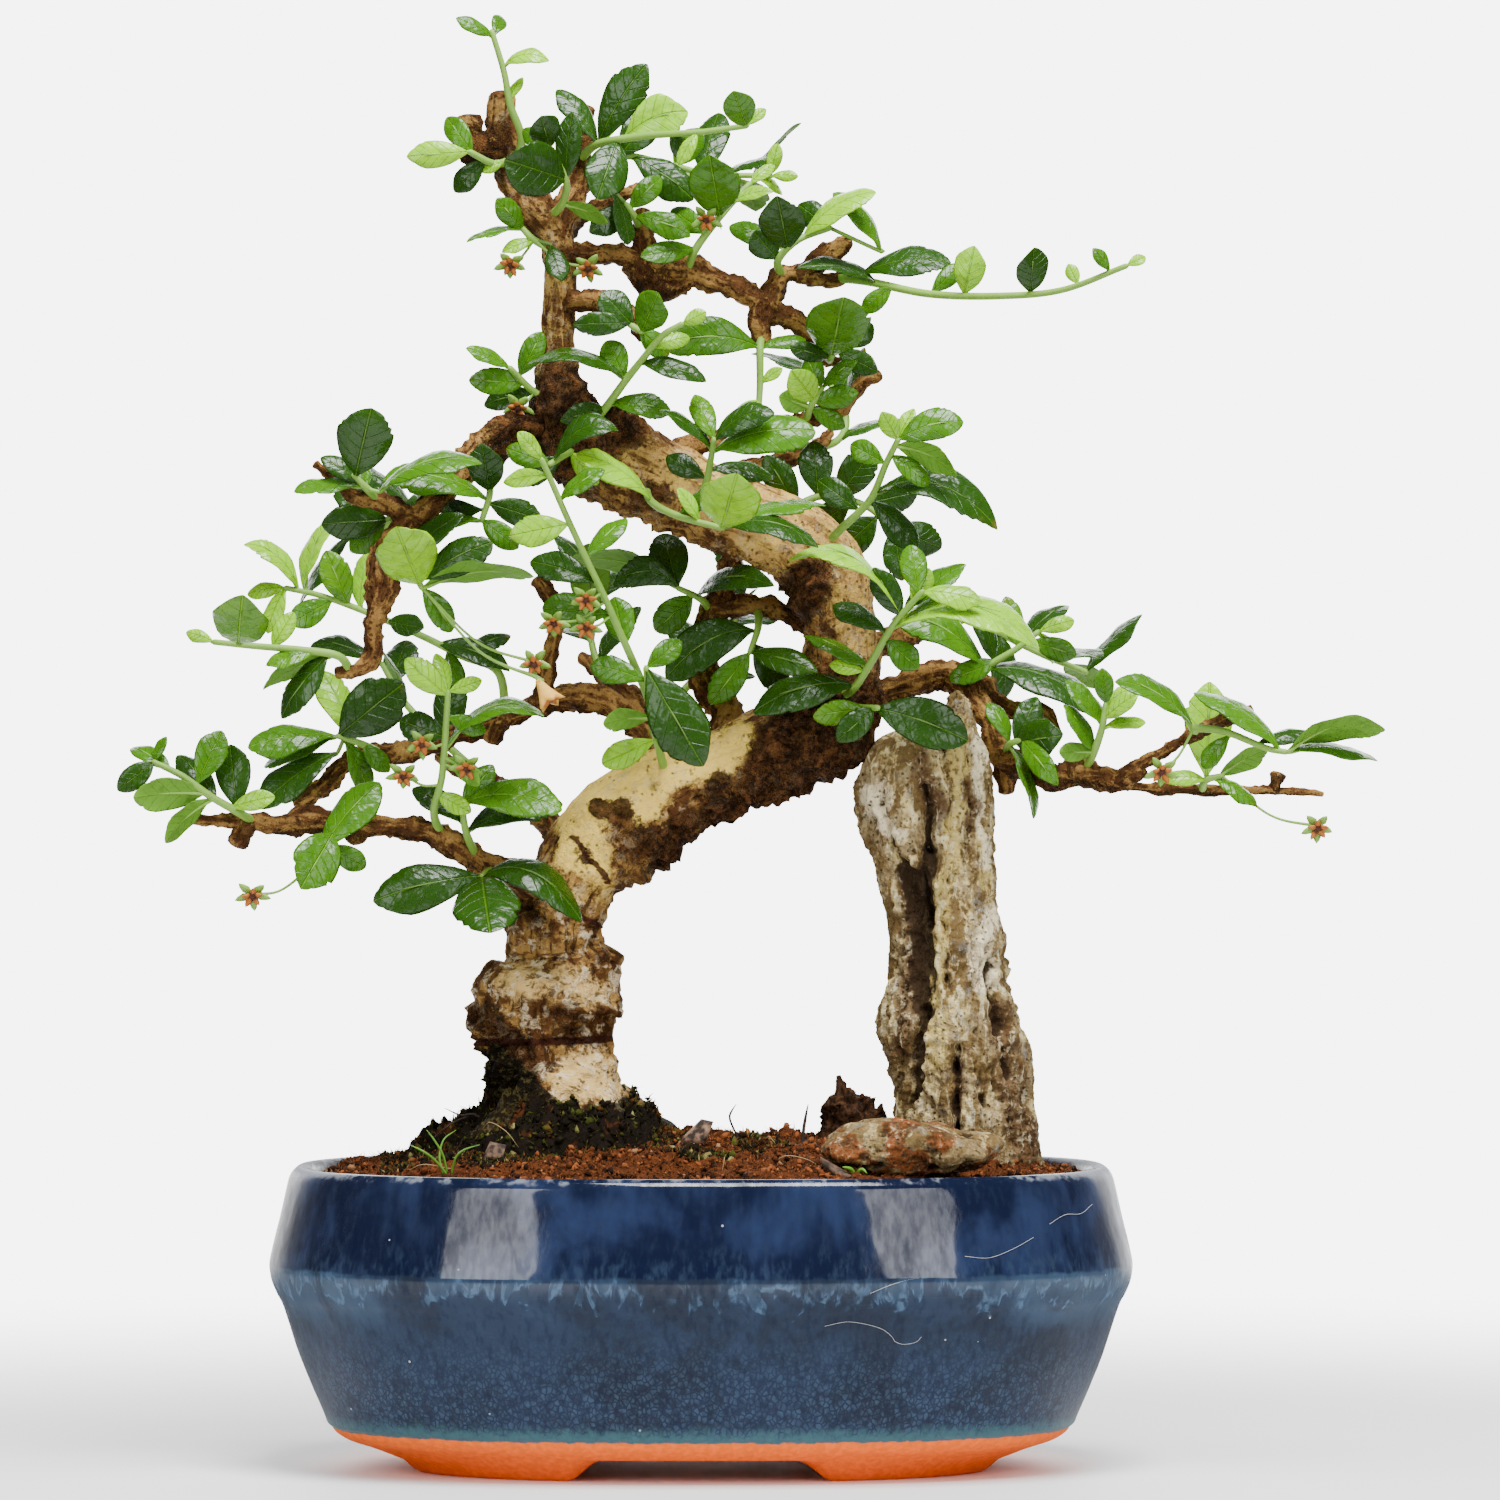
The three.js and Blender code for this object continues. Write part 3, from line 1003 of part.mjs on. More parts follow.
function flowerSolid(stem, [x, z], grow = 0) {
  const { root } = nearestOnStem(stem, x, z);
  const centre = seen([x, root.y - 3, z]);
  const facing = new THREE.Euler(flowerTilt, 0, 0);
  const points = Array.from({ length: 10 }, (_, i) => {
    const radius = (i % 2 ? flowerHub : flowerRadius) + grow;
    const angle = Math.PI / 2 + (Math.PI * i) / 5;
    return new THREE.Vector3(radius * Math.cos(angle), radius * Math.sin(angle), 0);
  });
  points.push(new THREE.Vector3(0, 0, flowerHub + grow), new THREE.Vector3(0, 0, -flowerHub - grow));
  points.forEach((point) => point.applyEuler(facing).add(centre));
  const star = solidFromFaces(
    points,
    points.slice(0, 10).flatMap((_, i) => [[i, (i + 1) % 10, 10], [(i + 1) % 10, i, 11]]),
  );
  const stalkRadius = flowerStalkRadius + grow;
  return star.add(tube([root, centre], [stalkRadius, stalkRadius], stemSides));
}

// Each leaf's places that must stay clear of the wood, the stones and the leaves before it. A leaf that comes
// too near is bent towards the front or the back, the least bend that clears it first.
const probes = [[0.4, 0], [0.6, 0], [0.82, 0], [1, 0], [0.6, -0.3], [0.6, 0.3], [0.84, -0.44], [0.84, 0.44]];
const bends = [0, 4, -4, 8, -8, 12, -12, 16, -16, 20, -20];
const deepest = 76;

function woodObstacles() {
  const spheres = [];
  for (const points of [trunk, ...roots, ...Object.values(branches)]) {
    for (let i = 0; i + 1 < points.length; i++) {
      const from = seen(points[i]);
      const to = seen(points[i + 1]);
      const steps = Math.max(1, Math.ceil(from.distanceTo(to) / 2.5));
      for (let k = 0; k < steps; k++) {
        const radius = points[i][3] + ((points[i + 1][3] - points[i][3]) * k) / steps;
        spheres.push({ place: from.clone().lerp(to, k / steps), radius });
      }
    }
  }
  return spheres;
}

function stoneObstacles() {
  return [...stoneBody, ...stonePeak].flatMap(([z, left, right, depth]) => {
    const reach = Math.max(0, (right - left) / 2 - depth);
    return [-1, 0, 1].map((side) => ({
      place: seen([(left + right) / 2 + side * reach, stoneCentreY, z]),
      radius: Math.min(depth, (right - left) / 2),
    }));
  });
}

function roomAround(leaf, name, obstacles) {
  const places = probes.map(([t, s]) => bladePlace(leaf, t, s, 0));
  let room = Infinity;
  for (const obstacle of obstacles) {
    if (obstacle.place.distanceTo(leaf.base) > leaf.length + 25) continue;
    places.forEach((place, i) => {
      if (obstacle.owner === name && i < 3) return;
      room = Math.min(room, place.distanceTo(obstacle.place) - obstacle.radius);
    });
  }
  return room;
}

function bentClear(makeLeaf, name, obstacles) {
  let best = null;
  let most = -Infinity;
  for (const bend of bends) {
    const leaf = makeLeaf(bend);
    if (Math.abs(bladePlace(leaf, 1, 0, 0).y) > deepest) continue;
    const room = roomAround(leaf, name, obstacles);
    if (room > most) {
      most = room;
      best = leaf;
    }
    if (room >= leafClearance) break;
  }
  for (const [t, s] of probes) {
    obstacles.push({ place: bladePlace(best, t, s, 0), radius: 0, owner: name });
  }
  return best;
}

function placeLeaves() {
  const stems = Object.fromEntries(Object.entries(sprays).map(([name, spray]) => [name, stemOf(spray)]));
  const obstacles = [...woodObstacles(), ...stoneObstacles()];
  for (const [name, stem] of Object.entries(stems)) {
    stem.centres.slice(2).forEach((place) => obstacles.push({ place, radius: 0.6, owner: name }));
  }
  return Object.entries(sprays).map(([name, spray]) => {
    const stem = stems[name];
    const makers = spray.whorl
      ? whorlLeaves(stem, spray.whorl).map((grown) => (bend) => grownLeaf(grown, bend))
      : spray.leaves.map((read) => (bend) => seenLeaf(stem, read, bend));
    return {
      name,
      stem,
      tone: spray.leaves?.[0][5] ?? 'D',
      leaves: makers.map((makeLeaf) => bentClear(makeLeaf, name, obstacles)),
      flowers: spray.flowers ?? [],
    };
  });
}

function spraySolid({ stem, leaves, flowers }, grow = 0) {
  return union([
    tube(stem.centres, stem.radii.map((r) => r + grow), stemSides),
    ...leaves.map((leaf) => bladeSolid(leaf, grow)),
    ...flowers.map((place) => flowerSolid(stem, place, grow)),
  ]);
}

function touches(a, b) {
  const boxA = a.boundingBox();
  const boxB = b.boundingBox();
  return [0, 1, 2].every((k) => boxA.min[k] < boxB.max[k] && boxB.min[k] < boxA.max[k]);
}

// Whatever of a spray still crosses the wood, a stone or a spray before it is cut clear of it.
function addSprays() {
  const sleeves = [makeWood(gap), makeStandingStone(gap)];
  for (const placed of placeLeaves()) {
    let spray = spraySolid(placed);
    for (const sleeve of sleeves) if (touches(spray, sleeve)) spray = spray.subtract(sleeve);
    addPiece(`spray_${placed.name}`, largestBody(spray), tones[placed.tone], 0.35);
    sleeves.push(spraySolid(placed, gap));
  }
}

addPiece('pot', makePot(), '#1c3f8f', 0.12);
addPiece('drain_screen_left', makeScreen(-1), '#2a2a2a', 0.6);
addPiece('drain_screen_right', makeScreen(1), '#2a2a2a', 0.6);
addPiece('soil', makeSoil(), '#6b3a24', 0.95);
addPiece('trunk', makeWood(), '#9a7f5c', 0.85);
addPiece('standing_stone', makeStandingStone(), '#b9b2a0', 0.9);
addPiece('lying_stone', makeLyingStone(), '#a8916c', 0.9);
addPiece('root_stub', makeRootStub(), '#3d2417', 0.9);
addSprays();

export default tree;
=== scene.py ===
"""The looks of a fukien tea bonsai in an oval glazed pot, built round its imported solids.

Lengths are millimetres until a mesh is made. +X is the viewer's right, +Y away from the viewer, +Z up.
"""

import math

import bpy
import numpy as np
from bpy.props import FloatProperty, FloatVectorProperty, IntProperty, PointerProperty
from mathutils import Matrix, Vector


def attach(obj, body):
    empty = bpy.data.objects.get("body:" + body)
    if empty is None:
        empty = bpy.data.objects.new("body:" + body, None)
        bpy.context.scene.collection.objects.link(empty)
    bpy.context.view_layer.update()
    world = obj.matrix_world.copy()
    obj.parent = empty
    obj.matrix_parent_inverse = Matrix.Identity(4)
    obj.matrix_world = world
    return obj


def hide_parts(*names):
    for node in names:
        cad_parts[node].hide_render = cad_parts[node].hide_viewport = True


bl_info = {
    "name": "Fukien Tea Bonsai",
    "version": (1, 0, 0),
    "blender": (4, 5, 0),
    "location": "View3D > Sidebar > Bonsai",
    "description": "Gives a packed bonsai its bark, leaves, soil, stones and glazed pot",
    "category": "Object",
}

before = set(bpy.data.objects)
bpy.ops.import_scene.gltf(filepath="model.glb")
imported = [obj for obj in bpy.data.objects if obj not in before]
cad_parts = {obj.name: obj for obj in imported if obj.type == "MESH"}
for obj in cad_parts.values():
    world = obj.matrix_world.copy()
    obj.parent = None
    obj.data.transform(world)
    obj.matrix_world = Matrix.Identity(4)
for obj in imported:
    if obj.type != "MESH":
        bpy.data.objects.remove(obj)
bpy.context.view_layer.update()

MM = 0.001
BODY = "root"

# Sizes that the solids share.
POT_CENTRE_X = -12.2
POT_ROUNDNESS = 2.5  # exponent of the superellipse that every level of the pot follows
FOOT_HEIGHT = 5.7
GLAZE_END_Z = 10.3
RIDGE_Z = 52  # the ridge between the lower and the upper panel
DRAIN_X = 38
DRAIN_RADIUS = 6.5
SOIL_EDGE_Z = 72.4
SOIL_RISE = 9
SOIL_HALF_WIDTH = 97  # at the pot's wall
SOIL_HALF_DEPTH = 71.8
TRUNK_FOOT = (-46, 2)  # x and y
EYE_DISTANCE = 2200  # the eye that the places on the tree are read from
EYE_HEIGHT = 178.5
BLADE_WIDTH_SHARE = 0.46
BLADE_LENGTH_SHARE = 1.55
BLADE_ARCH = 0.07
BLADE_CURL = 0.14
LEAF_CLEARANCE = 2.6
STONE_CENTRE_Y = 2
UP = np.array([0, 0, 1.0])

# The wood: each point is [x, y, z, radius], x and z as seen from the front by the eye.
TRUNK = [
    [-46, 2, 58, 17], [-46, 2, 70, 19], [-46, 2, 80, 18.5], [-48, 2, 90, 16], [-49.5, 2, 100, 14.5],
    [-50, 2, 106, 14.6], [-50.5, 2, 113, 15.6], [-49.5, 2, 118, 16.2], [-48, 2, 123, 13.5],
    [-48, 2, 128, 10.8], [-48.5, 1, 133, 10.8], [-47.5, 1, 138, 10.5], [-44, 0, 145, 10.5],
    [-40, 0, 152, 11.6], [-33, 0, 159, 12.6], [-27, 0, 164, 12], [-20, 1, 168, 11.5], [-10, 2, 172, 10.5],
    [0, 3, 176, 10.5], [10, 4, 180, 11], [18, 5, 185, 11.5], [22, 6, 193, 10], [23, 6, 203, 8.5],
    [22, 5, 213, 9], [19, 4, 223, 10], [11, 3, 231, 10], [2, 2, 235, 9.5], [-8, 1, 239, 9.5],
    [-18, 0, 244, 9.5], [-28, -1, 249, 10], [-38, -2, 253, 10.5], [-45, -3, 258, 9.6], [-47, -4, 265, 7.3],
    [-48, -4, 272, 5], [-48, -4, 280, 4], [-47.5, -4, 290, 4], [-47.5, -4, 300, 3.8], [-49, -4, 308, 4.5],
    [-54, -4, 314, 5.2], [-58.5, -4, 321, 4.5], [-60, -4, 328, 4], [-62.5, -4, 335, 3.5],
    [-62, -4, 341.5, 3.3],
]
ROOTS = [
    [[-48, -4, 88, 10], [-58, -10, 82, 7], [-68, -16, 76, 5], [-78, -22, 68, 3]],
    [[-44, -6, 86, 9], [-38, -16, 80, 6.5], [-32, -26, 73, 4.5], [-28, -34, 66, 3]],
    [[-44, 4, 88, 10], [-32, 6, 83, 7.5], [-20, 8, 77, 5], [-8, 12, 69, 3]],
    [[-50, 8, 88, 10], [-58, 18, 82, 7], [-66, 28, 75, 5], [-74, 36, 67, 3]],
    [[-44, 8, 88, 9], [-38, 20, 81, 6.5], [-32, 32, 74, 4.5], [-28, 42, 66, 3]],
]
BRANCHES = {
    "apexBurr": [[-62, -4, 330, 3], [-66, -5, 328, 3.8], [-70, -5, 331, 3.4], [-71, -5, 336, 2.4]],
    "apexStub": [
        [-49, -4, 308, 3.2], [-46, -2, 314, 3], [-43, 2, 321, 2.6], [-42, 4, 330, 2.5], [-42, 5, 338.5, 2.4],
    ],
    "upperRight": [
        [-47.5, -4, 302, 2.6], [-35, 2.5, 302.5, 2.4], [-27, 6, 301, 2.6], [-18, 9.5, 299, 3.4],
        [-10, 12, 296, 2.9], [-3, 13, 294, 2.6], [2, 14.5, 291, 2.5], [6, 16, 289, 2.4],
    ],
    "upperBurr": [[-28, 5.5, 300, 2], [-26, 7.5, 296, 3.2], [-21, 9, 294, 3.4], [-15, 10.5, 297, 2.4]],
    "upperDrop": [[3, 15, 290, 2.2], [2.5, 14, 284, 2], [3, 14, 280, 1.8]],
    "upperFall": [
        [4, 15.5, 289, 2.2], [12, 18.5, 285, 1.9], [17, 20, 280, 1.7], [20, 21, 276, 1.5], [26, 22, 275, 1.2],
    ],
    "upperRise": [
        [4, 15.5, 290, 2.3], [8, 16.5, 297, 2], [13, 18, 297, 1.9], [20, 20, 295.5, 1.6],
        [24, 21.5, 297, 1.3],
    ],
    "upperKnob": [[12, 17.5, 297, 1.8], [16, 20, 300, 2.2], [21, 22.5, 303.5, 2.6], [24.5, 23.5, 305.5, 1.8]],
    "upperStub": [[-27, 6, 301, 2.4], [-27, 5, 307, 2.2], [-27, 5, 313, 1.9]],
    "innerCurl": [
        [-47.5, -4, 290, 2], [-40, -9.5, 291, 2], [-33, -13, 289, 2], [-28, -16, 286, 2],
        [-26, -16.5, 282, 1.8],
    ],
    "cutTwig": [
        [-26, -1, 250, 2.4], [-14, 8, 254.5, 2.3], [0, 14.5, 258, 2.1], [12, 17.5, 260, 2],
        [22, 19, 264, 1.7], [28, 19.5, 270, 1.4], [32.5, 19.5, 272, 1.1],
    ],
    "leftUpper": [
        [-45, -3, 258, 3.5], [-60, -12.5, 259, 3], [-66, -17, 256, 2.8], [-74, -22, 246, 2.6],
        [-84, -28.5, 236, 2.5], [-90, -31, 231, 2.3], [-93, -32, 225, 2.5], [-92, -31.5, 219, 3.6],
        [-94, -32.5, 210, 2.3], [-94, -32.5, 203, 2.2], [-97, -34, 199, 2.1], [-103, -34, 198, 1.6],
    ],
    "leftTwig": [[-84, -28.5, 236, 2], [-93, -32, 241, 1.8], [-99, -34, 242, 1.5], [-108.5, -34, 250, 0.9]],
    "behind": [
        [-6, 6, 174, 4], [-6, 14, 187, 3.6], [-11, 17, 198, 3.4], [-10, 17, 210, 3], [-7, 16, 218, 3],
        [-4, 12, 228, 2.8], [0, 5, 234, 2.4],
    ],
    "behindArm": [[-9, 16, 215, 2.4], [3, 16, 214.5, 2.3], [10, 15, 212, 2.1], [14, 14, 209, 1.7]],
    "leftInner": [
        [-52, 16, 190, 2], [-51, 15.5, 198, 1.8], [-49, 15, 206, 1.7], [-48, 15, 213, 1.9],
        [-53, 16, 221, 1.6],
    ],
    "leftMiddle": [
        [-22, 2, 168, 4], [-24, 4.5, 180, 3.2], [-29, 8, 186, 3], [-36, 11.5, 190.5, 2.8],
        [-44, 13.5, 192, 2.8], [-52, 16, 190, 2.6], [-60, 18, 187, 2.5], [-68, 20, 184, 2.4],
        [-75, 22, 182, 2.3], [-85, 23.5, 178, 2.2], [-95, 25, 177, 2], [-101, 26.5, 175, 2.1],
        [-107, 28, 169, 2.4], [-113, 29.5, 165, 1.7],
    ],
    "leftMiddleKnob": [[-62, 18.5, 187, 2.2], [-65, 19, 181.5, 2.2]],
    "leftLow": [
        [-46, 0, 139, 4.4], [-54, -5, 144, 3.4], [-60, -7.5, 147, 2.9], [-68, -10.5, 151, 2.9],
        [-74, -12.5, 155, 3], [-80, -14, 158, 2.8], [-90, -17.5, 159, 2.1], [-100, -21, 160, 2.1],
        [-110, -23.5, 161, 2.7], [-118, -25.5, 160, 2], [-125, -27, 160.5, 1.8], [-134, -29, 161, 1.5],
        [-142, -31, 161, 1.2],
    ],
    "leftLowBurr": [[-126, -27, 160, 1.8], [-128, -27.5, 155.5, 2.3]],
    "leftLowKnob": [[-99, -20.5, 160, 1.8], [-98, -20.5, 156, 1.8]],
    "right": [
        [18, 8, 188, 4.6], [27, 15, 191, 3.6], [38, 21.5, 194, 3.1], [48, 25.5, 197, 3], [57, 24.5, 195, 2.8],
        [61, 22, 191, 2.4], [66, 20, 188, 2], [72, 18.5, 189, 1.8], [75, 17, 186, 1.5], [77, 16, 182, 1.2],
    ],
    "rightLow": [
        [53, 21, 196, 2.8], [56, 17.5, 191, 2.9], [61, 12, 185, 2.8], [63, 9, 178, 2.7],
        [66, 4.5, 175.5, 2.7], [70, 0.5, 175, 2.6], [75, -4, 172, 2.7], [82, -9.5, 173, 3],
        [88, -13.5, 172, 2.5], [93, -17, 171, 2.2], [98, -20.5, 173, 1.6],
    ],
    "rightStub": [[63, 8, 177, 2.2], [64.5, 6, 168.5, 1.8]],
    "rightKnob": [[82, -9.5, 173, 2.4], [82, -10.5, 179, 2]],
    "rightUpper": [
        [93, -17, 171, 1.8], [96, -19, 174, 1.5], [103, -23, 178, 1.3], [110, -27, 182, 1.4],
        [116, -30, 185, 1.6], [120, -32, 186.5, 1.9], [125, -33.5, 188.5, 1.4],
    ],
    "rightLower": [
        [88, -13.5, 171, 1.6], [95, -11, 169.5, 1.1], [110, -7, 168.5, 1.1], [130, -1, 168.5, 1],
        [143, 4, 167.5, 0.8],
    ],
    "rightLowerKnob": [[131, -0.5, 168.5, 1], [132, -1, 172, 1.7]],
    "backLeft": [
        [-44, 4, 150, 4], [-50, 20, 160, 3], [-60, 36, 168, 2.4], [-70, 50, 172, 1.8], [-78, 58, 177, 1.2],
    ],
    "backMiddle": [
        [-14, 6, 172, 3.6], [-20, 24, 182, 2.9], [-28, 40, 190, 2.3], [-36, 52, 196, 1.8],
        [-42, 60, 202, 1.2],
    ],
    "backRight": [
        [22, 8, 200, 3.4], [31, 26, 204, 2.7], [42, 42, 208, 2.1], [54, 52, 212, 1.6], [62, 58, 214, 1.1],
    ],
    "backUpper": [
        [-12, 4, 240, 3.4], [-4, 20, 246, 2.7], [6, 34, 250, 2.1], [16, 44, 254, 1.5], [20, 50, 258, 1.1],
    ],
    "backUpperLeft": [
        [-46, -2, 262, 3], [-54, 14, 258, 2.5], [-66, 28, 250, 2], [-76, 40, 243, 1.6], [-84, 46, 238, 1.1],
    ],
    "backApex": [[-49, -4, 306, 2.4], [-42, 10, 312, 2], [-32, 22, 317, 1.5], [-22, 28, 321, 1.1]],
}
STONE_BODY = [
    [56, 40, 74, 15], [75, 37, 73, 19], [90, 35.5, 71.5, 18.5], [100, 33.5, 70.5, 17.5],
    [110, 31.8, 68.5, 16.5], [120, 34, 66, 15], [130, 35, 64.5, 14.5], [139, 34, 61.5, 14],
    [148, 31, 61.5, 13.5], [158, 27, 61, 13], [168, 25.5, 58, 12.5], [175, 27, 54, 11], [180, 30, 48, 8.5],
    [183.8, 35.5, 41.5, 4],
]
STONE_PEAK = [
    [140, 38, 61.2, 12], [152, 40, 61.6, 11.5], [162, 41, 61.2, 11], [170, 42, 60.4, 10], [178, 44, 59, 9],
    [185, 46.5, 56.3, 7], [190, 48.3, 54.8, 5], [193.5, 50, 53.4, 2.6],
]
ROOT_STUB = [[28, 6, 64, 6.5], [27, 6, 78, 7], [26, 6, 85, 6], [24.5, 7, 89, 4.4], [23.5, 8, 92.5, 2]]
# Splinters that stand up from the dead stub, as the branches are given.
STUB_SPLINTERS = [
    [[25, 5, 82, 2.6], [24, 4.5, 88, 2.1], [23, 4, 93, 1.3], [22.2, 4, 97, 0.4]],
    [[28, 4, 82, 2.4], [28.5, 3, 87, 1.8], [28.2, 3, 91, 0.8], [28, 3, 92.5, 0.3]],
    [[31, 5, 80, 2.4], [32, 4, 85, 1.8], [32.6, 4, 89, 0.8], [33, 4, 90, 0.3]],
]
